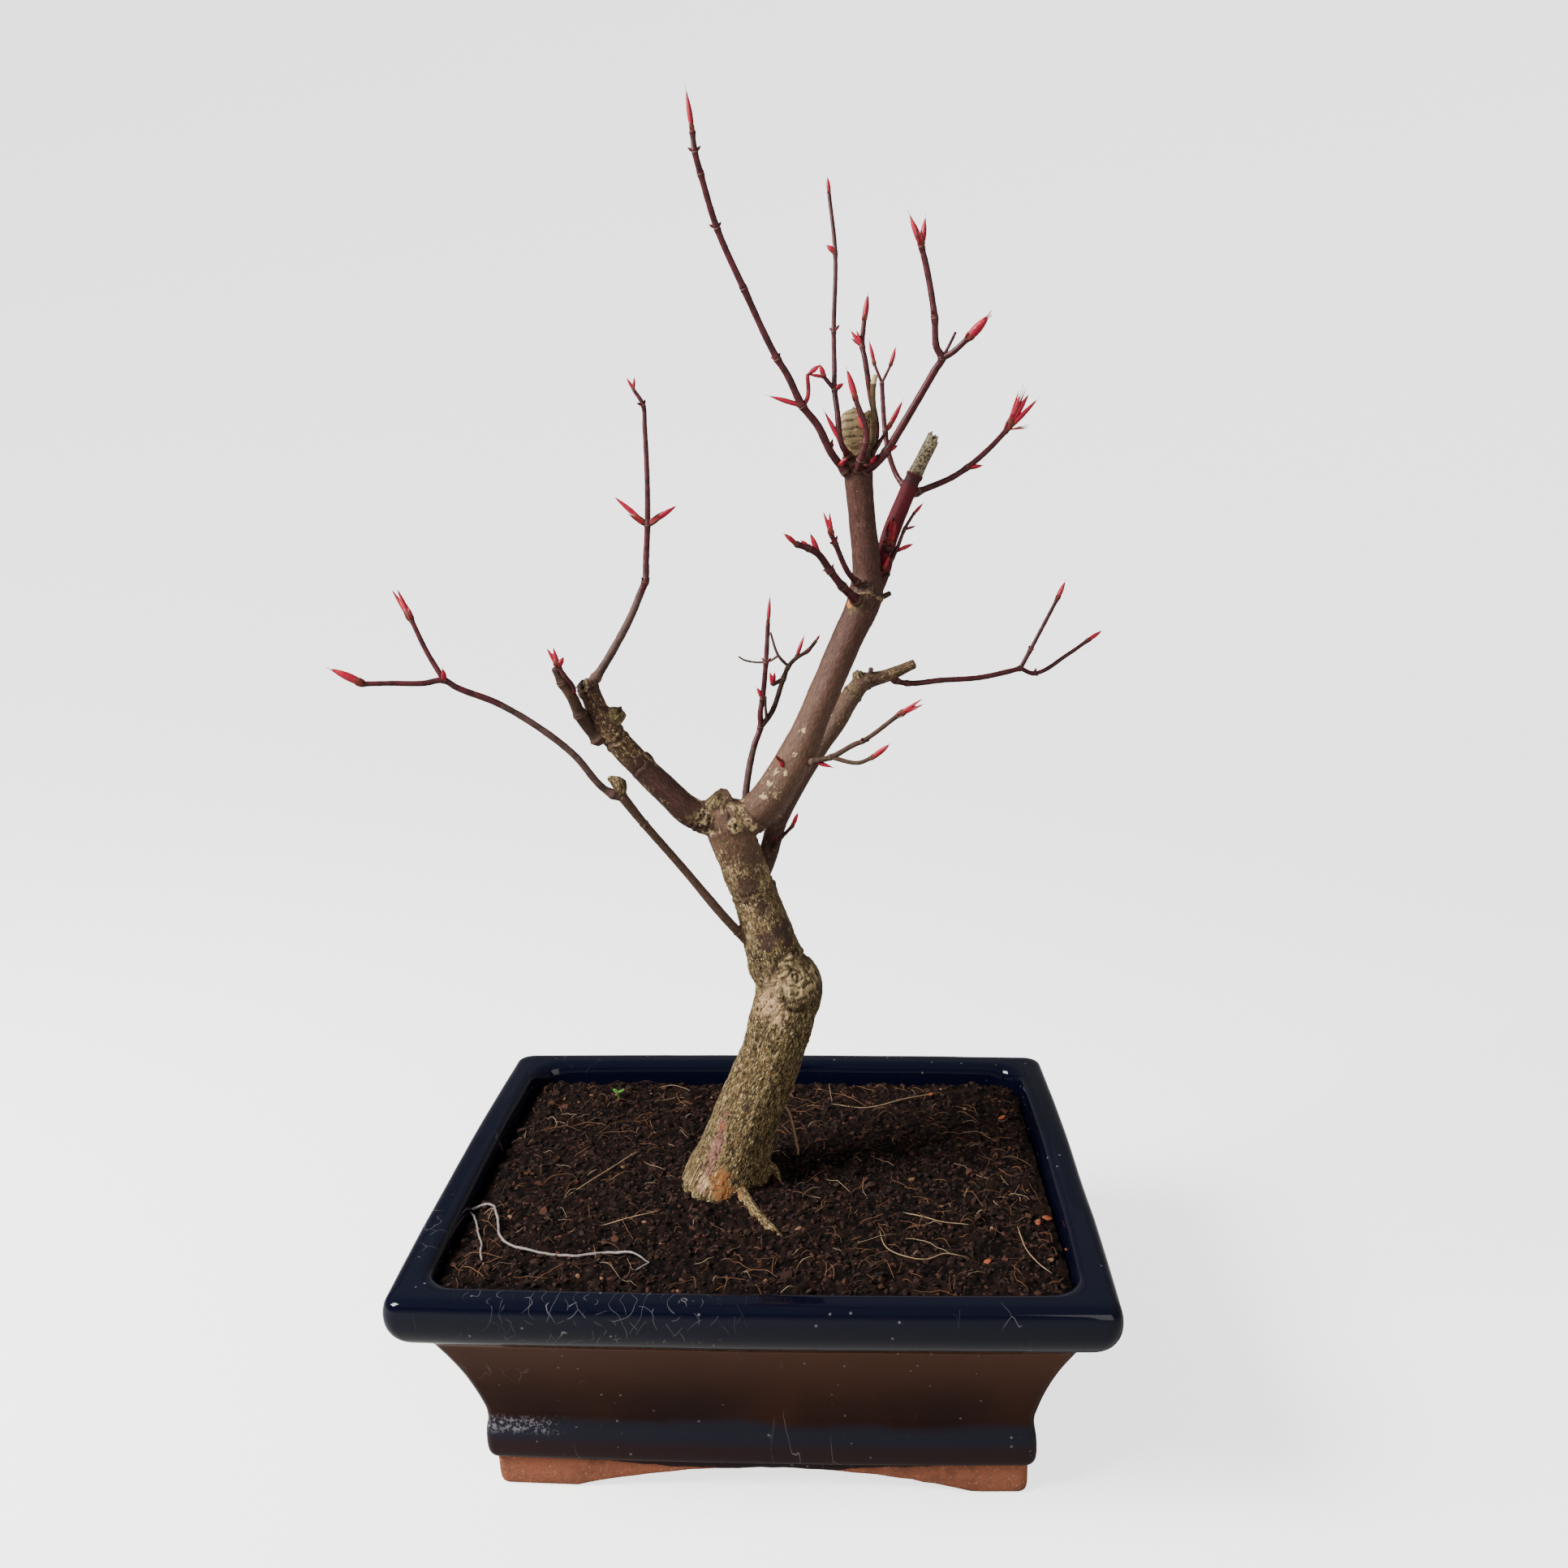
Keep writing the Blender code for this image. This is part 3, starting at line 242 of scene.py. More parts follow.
# Masses of twigs: each has one stem, and names the limbs that it grows from.
SPRAYS = {
    "left_shoot": Twig(
        meets=("left_bough",), start=(-50.0, -10.5, 242.5), thick=1.45, thin=0.6, old=4,
        runs=(
            (3.8, 0.5, 5.0), (4.4, 1.0, 6.8), (5.5, 1.0, 9.6), (3.6, 1.0, 8.0), (1.1, 0.0, 2.4),
            (0.4, 1.0, 6.7), (0.7, 1.0, 10.0), (0.3, 1.0, 12.8), (-0.4, 2.0, 15.8), (-0.3, 0.5, 6.3),
            (-2.8, 0.5, 4.6),
        ),
        nodes=(5, 7, 10),
        buds=(
            (7, (-5.4, -0.3, 4.0), 1.25, "cup"), (7, (-9.8, -0.4, 8.8), 0.9, "blade"),
            (7, (5.2, 0.3, 3.6), 1.25, "cup"), (7, (9.2, 0.4, 5.8), 0.95, "blade"),
            (11, (-2.0, 0.0, 3.6), 0.6, "slender"), (11, (0.6, 0.0, 3.8), 0.6, "slender"),
        ),
    ),
    "left_spur": Twig(
        meets=("left_bough",), start=(-46.8, -8.5, 225.8), thick=2.1, thin=1.6, wood="brown",
        runs=(
            (-3.7, -2.5, 5.2), (-1.9, -2.0, 4.2), (-1.5, -2.0, 5.2), (-2.5, -1.0, 5.1), (-1.4, -1.0, 4.3),
        ),
        nodes=(2, 4), resting=False,
        sides=(
            Twig(
                at=3, thick=0.7, thin=0.6, runs=((1.0, -2.0, 3.2), (-2.4, -2.2, 4.6), (-1.4, -0.6, 2.6)),
                nodes=(2,),
                buds=((3, (-2.3, 0.0, 5.8), 1.25, "split"), (3, (2.0, 0.0, 2.8), 1.05, "closed")),
                resting=False,
            ),
        ),
    ),
    "far_left_spray": Twig(
        meets=("low_left_limb",), start=(-39.5, -14.2, 208.5), thick=1.25, thin=0.75, old=4,
        runs=(
            (-6.0, -1.8, 3.9), (-8.0, -2.0, 10.8), (-8.7, -2.0, 8.2), (-12.5, -3.0, 8.9),
            (-11.6, -2.0, 5.3), (-3.1, -1.0, 2.2), (-5.5, -2.0, -0.5), (-9.2, -2.0, 0.4),
            (-7.3, -2.0, 0.2),
        ),
        nodes=(6, 9), buds=((9, (-9.2, -2.0, 5.2), 1.5, "closed"), (6, (0.6, -2.0, 4.0), 0.95, "closed")),
        sides=(
            Twig(
                at=6, thick=0.85, thin=0.7, runs=((-5.2, 2.0, 8.4), (-4.4, 2.0, 9.0)), nodes=(2,),
                buds=((2, (-5.3, 2.0, 9.4), 1.2, "split"), (2, (-1.0, 0.8, 4.4), 0.9, "slender")),
            ),
        ),
    ),
    "top_left_shoot": Twig(
        meets=("leader_bough",), start=(30.7, 4.5, 303.8), thick=1.3, thin=0.8,
        runs=(
            (-5.8, -4.5, 7.2), (-4.0, -2.0, 8.0), (-4.4, -2.0, 5.6), (-4.4, -2.0, 9.0), (-2.7, -1.0, 4.2),
            (-8.9, -4.0, 18.8), (-6.9, -3.0, 15.7), (-3.8, -3.0, 13.5), (-1.3, -1.0, 5.3),
            (-0.5, 0.0, 5.1),
        ),
        nodes=(3, 5, 6, 7, 8, 9, 10),
        buds=((3, (-10.6, -1.0, 3.3), 1.0, "slender"), (10, (-1.3, -1.0, 11.0), 0.95, "slender")),
        sides=(
            Twig(
                at=3, thick=0.8, thin=0.6, runs=((1.5, 0.0, 2.2), (0.1, 0.0, 6.6)),
                buds=((2, (3.8, 0.0, 2.6), 0.85, "blade"),), wood="pink", resting=False,
            ),
        ),
    ),
    "top_middle_shoot": Twig(
        meets=("leader_bough",), start=(31.4, 3.6, 308.5), thick=1.0, thin=0.6,
        runs=(
            (-3.6, -4.6, 5.4), (-1.1, 0.6, 9.0), (-0.8, 2.0, 6.5), (0.0, 1.4, 5.4), (-0.1, 2.0, 11.4),
            (0.6, 3.0, 22.3), (-1.7, 3.0, 16.8),
        ),
        nodes=(3, 5, 6),
        buds=(
            (1, (-5.3, -0.8, 10.0), 0.95, "slender"), (3, (2.9, 0.0, 1.8), 0.95, "closed"),
            (6, (-2.7, 0.0, 2.3), 1.05, "closed"), (7, (-0.4, 0.4, 4.8), 0.75, "closed"),
        ),
        sides=(
            Twig(
                at=3, thick=0.75, thin=0.65, runs=((-3.1, -1.2, 3.6),),
                buds=((1, (-1.2, 0.0, 3.8), 1.0, "closed"), (1, (-5.0, -0.8, 0.8), 0.7, "slender")),
                resting=False,
            ),
        ),
    ),
    "top_back_shoot": Twig(
        meets=("leader_bough",), start=(33.6, 7.5, 304.0), thick=1.0, thin=0.75,
        runs=((5.0, 6.6, 13.0), (-2.0, 1.9, 12.6), (-1.5, 1.0, 9.9), (-0.7, 1.0, 3.4), (0.6, 1.0, 7.7)),
        nodes=(4,),
        buds=(
            (4, (-3.8, 0.2, 5.2), 0.85, "slender"), (4, (-1.9, -0.6, 5.2), 0.7, "slender"),
            (4, (-3.4, 0.8, 2.6), 0.65, "dormant"), (5, (1.3, 0.8, 8.0), 1.1, "closed"),
        ),
    ),
    "top_cut_twig": Twig(
        meets=("leader_bough",), start=(34.0, 4.6, 308.6), thick=0.95, thin=0.75, wood="olive",
        runs=((2.6, -4.8, 5.4), (0.7, -2.4, 5.2), (0.0, -0.8, 11.2), (0.6, 0.0, 2.4)), nodes=(2, 3),
        resting=False,
    ),
    "top_right_spray": Twig(
        meets=("leader_bough",), start=(34.2, 4.0, 305.6), thick=1.3, thin=0.85,
        runs=(
            (3.4, -5.0, 1.8), (3.6, -1.0, 4.0), (4.7, -2.0, 7.3), (9.2, -4.0, 15.2), (1.6, -1.0, 2.7),
            (-1.5, 0.0, 3.1), (-0.6, 0.0, 8.0), (-2.2, 1.0, 13.0), (-1.6, 0.0, 6.3),
        ),
        nodes=(2, 5, 7, 9),
        buds=(
            (9, (-3.6, 0.0, 9.2), 1.1, "slender"), (9, (1.2, 0.0, 8.2), 1.1, "slender"),
            (9, (-1.0, -0.8, 4.4), 1.2, "cup"), (2, (3.6, -0.6, 1.6), 0.9, "closed"),
            (7, (-1.0, -1.2, 2.2), 0.7, "dormant"),
        ),
        sides=(
            Twig(
                at=5, thick=0.95, thin=0.8, runs=((2.8, -1.0, 1.4), (4.3, -2.0, 3.6)), nodes=(2,),
                buds=((2, (6.2, -3.0, 6.4), 1.45, "fat"), (2, (2.8, -1.4, 2.4), 0.95, "closed")),
            ),
            Twig(at=5, thick=0.6, thin=0.4, runs=((1.3, 0.0, 2.1), (2.6, 0.4, 5.0)), resting=False),
        ),
    ),
    "top_front_spur": Twig(
        meets=("leader_bough",), start=(32.4, 3.4, 305.8), thick=1.3, thin=0.8,
        runs=((1.2, -7.4, 3.4), (1.4, -1.0, 4.9), (0.1, -0.4, 3.0), (-2.9, 0.0, 8.6)), nodes=(1, 2),
        buds=((4, (-2.7, 0.0, 9.4), 1.2, "closed"), (3, (-2.8, 0.2, 5.0), 0.9, "slender")), resting=False,
    ),
    "top_right_bud": Twig(
        meets=("leader_bough",), start=(34.5, 6.5, 306.5), thick=0.8, thin=0.5,
        runs=((4.4, 0.6, 7.0), (3.1, 0.4, 4.8)), nodes=(1,), buds=((2, (4.6, 0.2, 8.2), 1.0, "closed"),),
        resting=False,
    ),
    "upper_right_spray": Twig(
        meets=("red_bough",), start=(49.0, 20.0, 298.2), thick=1.15, thin=0.85,
        runs=((4.2, 2.0, 1.5), (9.6, 5.0, 3.7), (5.0, 2.0, 3.0), (7.1, 3.0, 5.7), (5.9, 3.0, 5.8)),
        nodes=(3, 5),
        buds=(
            (3, (5.4, 1.0, 0.6), 0.95, "closed"), (5, (5.5, 3.0, 13.2), 1.35, "open"),
            (5, (7.3, 3.0, 11.5), 1.15, "blade"), (5, (10.9, 4.0, 10.2), 1.05, "closed"),
            (5, (9.0, 3.0, 1.4), 0.75, "tassel"),
        ),
    ),
    "red_left_twig": Twig(
        meets=("red_bough",), start=(48.9, 20.6, 300.0), thick=0.95, thin=0.7,
        runs=((-3.2, 3.4, 3.5), (-2.8, 2.0, 7.1), (-1.2, 2.0, 7.1), (-0.5, 1.0, 5.7), (-0.5, 1.0, 9.6)),
        nodes=(3, 5),
        sides=(
            Twig(
                at=5, thick=0.5, thin=0.45, runs=((-2.3, 0.6, 5.6),),
                buds=((1, (-1.8, 0.4, 8.0), 0.85, "slender"),),
            ),
            Twig(
                at=5, thick=0.5, thin=0.45, runs=((2.7, 0.4, 5.2),),
                buds=((1, (1.9, 0.4, 6.0), 0.85, "slender"),),
            ),
        ),
    ),
    "red_front_bud": Twig(
        meets=("red_bough",), start=(42.0, 17.0, 279.5), thick=1.1, thin=1.0,
        runs=((0.2, -3.6, 2.6), (0.2, -0.6, 1.2)),
        buds=((2, (1.6, -0.2, 8.6), 1.9, "rolled"), (2, (0.2, -1.2, 5.4), 1.2, "cup")), resting=False,
    ),
    "red_side_twig": Twig(
        meets=("red_bough",), start=(41.0, 15.0, 275.5), thick=0.75, thin=0.45,
        runs=((3.4, -3.6, 5.6), (2.8, 1.4, 6.8), (2.8, 1.0, 4.6)), nodes=(2,),
        buds=((2, (3.6, 0.4, 1.0), 0.6, "dormant"), (3, (3.4, 1.0, 3.6), 0.7, "slender")), resting=False,
    ),
    "leader_left_spray": Twig(
        meets=("leader_bough",), start=(33.6, 6.5, 265.2), thick=1.55, thin=0.9,
        runs=(
            (-3.1, -5.5, 3.6), (-2.7, -3.0, 3.0), (-3.6, -3.0, 4.9), (-3.5, -3.0, 5.2), (-2.8, -2.0, 1.8),
            (-3.6, -2.0, 1.4),
        ),
        nodes=(2, 3, 5, 6),
        buds=(
            (4, (-2.3, -1.0, 6.5), 1.1, "closed"), (5, (-2.2, -1.0, 2.6), 0.95, "closed"),
            (6, (-3.6, -2.0, 3.4), 0.95, "closed"),
        ),
    ),
    "leader_left_twig": Twig(
        meets=("leader_bough",), start=(32.9, 6.0, 271.5), thick=1.0, thin=0.75,
        runs=((-3.6, -6.0, 4.8), (-3.6, -3.0, 8.5), (-1.0, -1.0, 2.4)), nodes=(2, 3),
        buds=((3, (-1.6, -1.0, 7.2), 1.15, "split"),),
    ),
    "rear_right_spray": Twig(
        meets=("rear_bough",), start=(42.4, 29.6, 239.8), thick=1.0, thin=0.9,
        runs=(
            (2.8, 1.6, -2.0), (4.1, 2.0, -1.3), (11.7, 4.0, 0.3), (13.1, 5.0, 0.0), (10.3, 4.0, 1.4),
            (4.4, 2.0, 0.8),
        ),
        nodes=(2, 6),
        sides=(
            Twig(
                at=6, thick=0.8, thin=0.65, runs=((3.3, 1.0, 6.0), (9.0, 2.0, 17.2)), nodes=(1, 2),
                buds=((2, (2.8, 0.4, 6.2), 1.05, "closed"),),
            ),
            Twig(
                at=6, thick=0.8, thin=0.65, runs=((5.1, 2.0, -2.1), (11.9, 4.0, 5.9), (7.1, 3.0, 4.3)),
                nodes=(1, 3), buds=((3, (5.6, 2.0, 3.4), 0.95, "closed"),),
            ),
        ),
    ),
    "mid_right_spray": Twig(
        meets=("leader_bough", "rear_bough"), start=(13.6, 3.0, 215.6), thick=1.0, thin=0.7, wood="brown",
        runs=((4.9, -4.0, 1.7), (5.4, -3.0, 1.9), (7.3, -4.0, 4.8), (2.5, -2.0, 1.4), (10.7, -5.0, 8.9)),
        nodes=(2, 4, 5),
        buds=((5, (7.5, -4.0, 5.0), 1.15, "split"), (1, (6.6, -2.0, -1.9), 0.85, "slender")),
        sides=(
            Twig(
                at=2, thick=0.75, thin=0.65, wood="brown", runs=((8.3, -5.0, -0.8), (4.4, -3.0, 2.3)),
                nodes=(2,), buds=((2, (5.6, -3.0, 4.9), 1.1, "closed"),),
            ),
        ),
    ),
    "inner_spray": Twig(
        meets=("trunk", "leader_bough", "rear_bough"), start=(-4.0, 2.0, 193.5), thick=1.25, thin=0.75,
        old=3,
        runs=(
            (-0.4, 9.4, 8.5), (1.2, 4.6, 9.6), (1.8, 2.0, 7.5), (1.9, 2.0, 5.3), (0.0, 0.4, 4.6),
            (0.8, 1.0, 4.7), (1.3, 1.0, 11.9), (0.8, 2.0, 12.5),
        ),
        nodes=(4, 6, 7),
        buds=((6, (-1.8, -0.4, 4.0), 0.9, "closed"), (8, (0.9, 1.0, 9.4), 0.8, "slender")),
        sides=(
            Twig(
                at=4, thick=1.0, thin=0.6, wood="brown",
                runs=(
                    (3.7, 1.8, 4.7), (3.9, 3.0, 10.6), (1.7, 1.0, 3.9), (2.5, 0.0, 2.7), (3.8, 1.0, 2.2),
                    (2.9, 1.0, 3.3),
                ),
                nodes=(2, 3, 5),
                buds=((4, (3.2, 0.4, 8.2), 0.8, "slender"), (6, (1.2, 0.4, 1.8), 0.6, "dormant")),
                sides=(
                    Twig(
                        at=2, thick=0.8, thin=0.7, wood="brown", runs=((-3.6, 0.2, -2.0),),
                        buds=((1, (-0.8, 0.0, 4.4), 0.9, "closed"), (1, (0.9, -0.4, 4.4), 0.9, "closed")),
                        resting=False,
                    ),
                    Twig(
                        at=3, thick=0.6, thin=0.4, wood="grey", runs=((-3.3, 0.6, 3.6), (-2.5, 0.4, 7.6)),
                        resting=False,
                        sides=(
                            Twig(
                                at=1, thick=0.45, thin=0.3, wood="grey",
                                runs=((-3.2, 0.2, -1.9), (-8.2, 0.2, 0.5), (-1.8, 0.0, 1.2)),
                                resting=False,
                            ),
                        ),
                    ),
                ),
            ),
        ),
    ),
    "low_right_twiglet": Twig(
        meets=("trunk", "rear_bough"), start=(3.4, 9.0, 184.0), thick=0.8, thin=0.6, wood="brown",
        runs=((3.1, -4.0, 5.7), (4.7, -3.0, 5.7)), nodes=(1, 2),
        buds=((2, (2.2, -2.0, 5.3), 0.85, "closed"), (1, (-0.6, -1.6, 2.0), 0.6, "dormant")),
        resting=False,
    ),
}

# Small dead stems and stubs, each on its own.
NUBS = (
    Twig(
        start=(36.6, 27.6, 238.4), thick=1.0, thin=0.8, runs=((0.4, -1.0, 4.2),), wood="grey",
        resting=False,
    ),
    Twig(
        start=(2.6, 20.6, 227.4), thick=0.6, thin=0.35, runs=((-0.3, -0.4, 3.6), (0.2, -0.3, 3.6)),
        wood="brown",
    ),
    Twig(
        start=(-32.2, -4.6, 217.4), thick=1.3, thin=0.5, runs=((-0.5, -0.3, 2.4), (-1.2, 0.0, 1.6)),
        wood="brown",
    ),
    Twig(
        start=(38.2, 9.4, 272.0), thick=1.1, thin=0.7, runs=((2.4, 0.5, 1.0), (1.8, 0.4, 1.6)),
        wood="brown",
    ),
    Twig(
        start=(38.6, 9.4, 267.0), thick=1.1, thin=0.8, runs=((2.2, 0.5, 0.6), (1.9, 0.4, 0.9)),
        wood="brown",
    ),
)
# Buds that sit on a limb: (form, foot, reach, radius).
LIMB_BUDS = (
    ("dormant", (8.2, -1.8, 217.4), (-1.6, -1.4, 2.4), 0.75),
    ("closed", (9.0, -1.6, 215.6), (-1.4, -1.8, 2.6), 0.8),
    ("closed", (40.4, 9.8, 276.0), (2.4, 0.9, 4.6), 0.9),
    ("crescent", (27.2, 0.2, 307.6), (3.4, -2.4, 1.8), 1.4),
    ("crescent", (36.6, -0.6, 307.6), (2.6, -2.6, 2.6), 1.3),
    ("crescent", (24.2, 0.6, 312.0), (1.6, -1.2, 3.0), 1.1),
    ("blade", (44.4, 11.8, 281.3), (5.8, 1.8, 2.2), 0.75),
)


class Field:
    """A number, place or colour inside a material's tree; + - * and / lead it through Math nodes."""

    def __init__(self, socket):
        self.socket = socket
        self.tree = socket.id_data

    def __add__(self, other):
        return worked("ADD", self, other)

    def __radd__(self, other):
        return worked("ADD", other, self)

    def __sub__(self, other):
        return worked("SUBTRACT", self, other)

    def __rsub__(self, other):
        return worked("SUBTRACT", other, self)

    def __mul__(self, other):
        return worked("MULTIPLY", self, other)

    def __truediv__(self, other):
        return worked("DIVIDE", self, other)

    def step(self, low, high):
        """Soft step from 0 at low to 1 at high."""
        inputs = {"Value": self, "From Min": low, "From Max": high}
        return field(self.tree, "ShaderNodeMapRange", "Result", inputs, interpolation_type="SMOOTHSTEP")

    def blend(self, low, high):
        """Colour between low, where this share is 0, and high, where it is 1."""
        return field(self.tree, "ShaderNodeMix", 2, {0: self, 6: low, 7: high}, data_type="RGBA")

    def cloud(self, scale, detail=3.0, roughness=0.55, warp=0.0):
        """Noise value at this place."""
        inputs = {"Vector": self, "Scale": scale, "Detail": detail, "Roughness": roughness}
        inputs["Distortion"] = warp
        return field(self.tree, "ShaderNodeTexNoise", 0, inputs)

    def stretched(self, scale):
        """This place scaled by axis."""
        return field(self.tree, "ShaderNodeMapping", 0, {"Vector": self, "Scale": scale})

    def axes(self):
        """The three coordinates of this place."""
        split = put(self.tree, "ShaderNodeSeparateXYZ", {0: self})
        return [Field(socket) for socket in split.outputs]

    def bump(self, strength, distance):
        """Normal from this height."""
        inputs = {"Height": self, "Strength": strength, "Distance": distance}
        return field(self.tree, "ShaderNodeBump", 0, inputs)


def set_inputs(node, inputs):
    """Link the fields among the inputs and set the plain values; a colour gets full alpha."""
    for key, value in inputs.items():
        socket = node.inputs[key]
        if isinstance(value, Field):
            value.tree.links.new(value.socket, socket)
        else:
            socket.default_value = (*value[:3], 1.0) if socket.type == "RGBA" else value


def put(tree, kind, inputs=None, **settings):
    """Add a node, give it its settings, and set or link its inputs."""
    node = tree.nodes.new(kind)
    for key, value in settings.items():
        setattr(node, key, value)
    set_inputs(node, inputs or {})
    return node


def field(tree, kind, output, inputs=None, **settings):
    """One output of a new node."""
    return Field(put(tree, kind, inputs, **settings).outputs[output])


def worked(way, first, second=0.0):
    """Result of one Math node."""
    tree = first.tree if isinstance(first, Field) else second.tree
    return field(tree, "ShaderNodeMath", 0, {0: first, 1: second}, operation=way)


def largest(first, *others):
    """Largest of some fields."""
    for other in others:
        first = worked("MAXIMUM", first, other)
    return first


def layered(colour, *layers):
    """A colour with others laid on it, each by a share and an amount of it."""
    for share, amount, over in layers:
        colour = (share * amount).blend(colour, over)
    return colour


def object_place(tree):
    """Object coordinates."""
    return field(tree, "ShaderNodeTexCoord", "Object")


def grouped(group, inputs):
    """Result of a shader node group with its own values here."""
    return field(inputs["Vector"].tree, "ShaderNodeGroup", 0, inputs, node_tree=group)


def new_material(name):
    """Material with an empty tree but for its Principled shader and output."""
    material = bpy.data.materials.new(name)
    material.use_nodes = True
    tree = material.node_tree
    return material, tree, tree.nodes["Principled BSDF"]


def node_group(name, inputs, output, build):
    """Shader node group of a place and some numbers with one output, made by build at its first use."""
    if name in bpy.data.node_groups:
        return bpy.data.node_groups[name]
    tree = bpy.data.node_groups.new(name, "ShaderNodeTree")
    tree.interface.new_socket(name="Vector", in_out="INPUT", socket_type="NodeSocketVector")
    for label, value in inputs.items():
        socket = tree.interface.new_socket(name=label, in_out="INPUT", socket_type="NodeSocketFloat")
        socket.default_value = value
    tree.interface.new_socket(name=output, in_out="OUTPUT", socket_type="NodeSocketFloat")
    start, end = tree.nodes.new("NodeGroupInput"), tree.nodes.new("NodeGroupOutput")
    given = [Field(start.outputs[label]) for label in ("Vector", *inputs)]
    set_inputs(end, {output: build(tree, *given)})
    return tree


def mottle_group():
    """Patches of two sizes, as a share from 0 to 1."""

    def build(_, vector, scale, contrast):
        broad = vector.cloud(scale, 2.0)
        fine = vector.cloud(scale * 4.7, 3.0)
        both = broad * 0.65 + fine * 0.35
        return both.step(0.5 - contrast, 0.5 + contrast)

    return node_group("Mottle", {"Scale": 100.0, "Contrast": 0.3}, "Patches", build)


def crack_group():
    """Thin lines between cells that a noise has bent: 1 on a line, 0 off it."""

    def build(tree, vector, scale, width, bend):
        kind = "ShaderNodeVectorMath"
        twist = field(tree, "ShaderNodeTexNoise", 1, {"Vector": vector, "Scale": scale * 1.6})
        centred = field(tree, kind, 0, {0: twist, 1: (0.5, 0.5, 0.5)}, operation="SUBTRACT")
        moved = field(tree, kind, 0, {0: centred, "Scale": bend / scale}, operation="SCALE")
        place = field(tree, kind, 0, {0: vector, 1: moved}, operation="ADD")
        cells = {"Vector": place, "Scale": scale}
        edge = field(tree, "ShaderNodeTexVoronoi", "Distance", cells, feature="DISTANCE_TO_EDGE")
        return edge.step(width, 0.0)

    return node_group("Cracks", {"Scale": 100.0, "Width": 0.05, "Bend": 0.3}, "Lines", build)


def speck_group():
    """Scattered small dots: 1 in a dot, 0 outside, with as many dots as the share says."""

    def build(tree, vector, scale, share, size):
        voronoi = put(tree, "ShaderNodeTexVoronoi", {"Vector": vector, "Scale": scale})
        dot = Field(voronoi.outputs["Distance"]).step(size, 0.0)
        pick = field(tree, "ShaderNodeSeparateColor", 0, {"Color": Field(voronoi.outputs["Color"])})
        return dot * worked("LESS_THAN", pick, share)

    return node_group("Specks", {"Scale": 400.0, "Share": 0.2, "Size": 0.3}, "Dots", build)


def join_meshes(parts):
    """One bmesh from several, each freed once it is in."""
    whole = bmesh.new()
    for part in parts:
        mesh = bpy.data.meshes.new("part")
        part.to_mesh(mesh)
        part.free()
        whole.from_mesh(mesh)
        bpy.data.meshes.remove(mesh)
    return whole


def object_from(name, mesh_data, materials, smooth_angle=60.0):
    """Object at the origin from a bmesh held in millimetres."""
    bmesh.ops.scale(mesh_data, vec=(MM, MM, MM), verts=mesh_data.verts)
    mesh = bpy.data.meshes.new(name)
    mesh_data.to_mesh(mesh)
    mesh_data.free()
    return link_mesh(name, mesh, materials, smooth_angle)


def link_mesh(name, mesh, materials, smooth_angle=60.0):
    """Object at the origin from a mesh in metres, shaded smooth up to an angle."""
    for material in materials:
        mesh.materials.append(material)
    mesh.shade_smooth()
    if smooth_angle is not None:
        mesh.set_sharp_from_angle(angle=math.radians(smooth_angle))
    made = bpy.data.objects.new(name, mesh)
    bpy.context.scene.collection.objects.link(made)
    return made


def mesh_of_arrays(name, coords, faces, shades=None):
    """Mesh in metres from joined arrays of millimetre points and equal-sided faces."""
    coords = np.asarray(coords, np.float32) * MM
    faces = np.asarray(faces, np.int32)
    mesh = bpy.data.meshes.new(name)
    mesh.vertices.add(len(coords))
    mesh.vertices.foreach_set("co", coords.ravel())
    mesh.loops.add(faces.size)
    mesh.loops.foreach_set("vertex_index", faces.ravel())
    mesh.polygons.add(len(faces))
    mesh.polygons.foreach_set("loop_start", np.arange(0, faces.size, faces.shape[1], dtype=np.int32))
    if shades is not None:
        mesh.polygons.foreach_set("material_index", np.asarray(shades, np.int32))
    mesh.update(calc_edges=True)
    mesh.validate()
    return mesh


def settle(piece, slot, *nodes):
    """Let a finished piece ride on the plant and stand for its CAD nodes; the slot is not used."""
    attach(piece, BODY)
    if nodes:
        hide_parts(*nodes)


def end_points(start, runs):
    """Stations that the runs lead to."""
    points = [Vector(start[:3])]
    for run in runs:
        points.append(points[-1] + Vector(run[:3]))
    return points


def line_tangents(points):
    """Direction of the smooth line at each point."""
    ways = [(b - a).normalized() for a, b in zip(points, points[1:])]
    tangents = [ways[0]]
    for before, after in zip(ways, ways[1:]):
        tangents.append((before + after).normalized())
    tangents.append(ways[-1])
    return tangents


def on_line(points, tangents, i, t):
    """Place at share t of run i on the smooth line."""
    a, b = points[i], points[i + 1]
    length = (b - a).length
    h = 2 * t**3 - 3 * t**2 + 1
    out = (t**3 - 2 * t**2 + t) * length
    into = (t**3 - t**2) * length
    return a * h + b * (1 - h) + tangents[i] * out + tangents[i + 1] * into


def even_line(points, radii, spacing):
    """Places and radii along the smooth line, about one spacing apart."""
    tangents = line_tangents(points)
    places, thick = [], []
    for i, (a, b) in enumerate(zip(points, points[1:])):
        count = max(2, math.ceil((b - a).length / spacing))
        for k in range(count):
            t = k / count
            ease = t * t * (3 - 2 * t)
            places.append(on_line(points, tangents, i, t))
            thick.append(radii[i] + (radii[i + 1] - radii[i]) * ease)
    return places + [points[-1]], thick + [radii[-1]]


def line_frames(places):
    """Unit (across, side, way) at each place, turned along the line without twisting."""
    frames = []
    across = None
    for i in range(len(places)):
        way = (places[min(i + 1, len(places) - 1)] - places[max(i - 1, 0)]).normalized()
        if across is None:
            across = way.orthogonal().normalized()
        across = (across - way * across.dot(way)).normalized()
        frames.append((across, way.cross(across), way))
    return frames


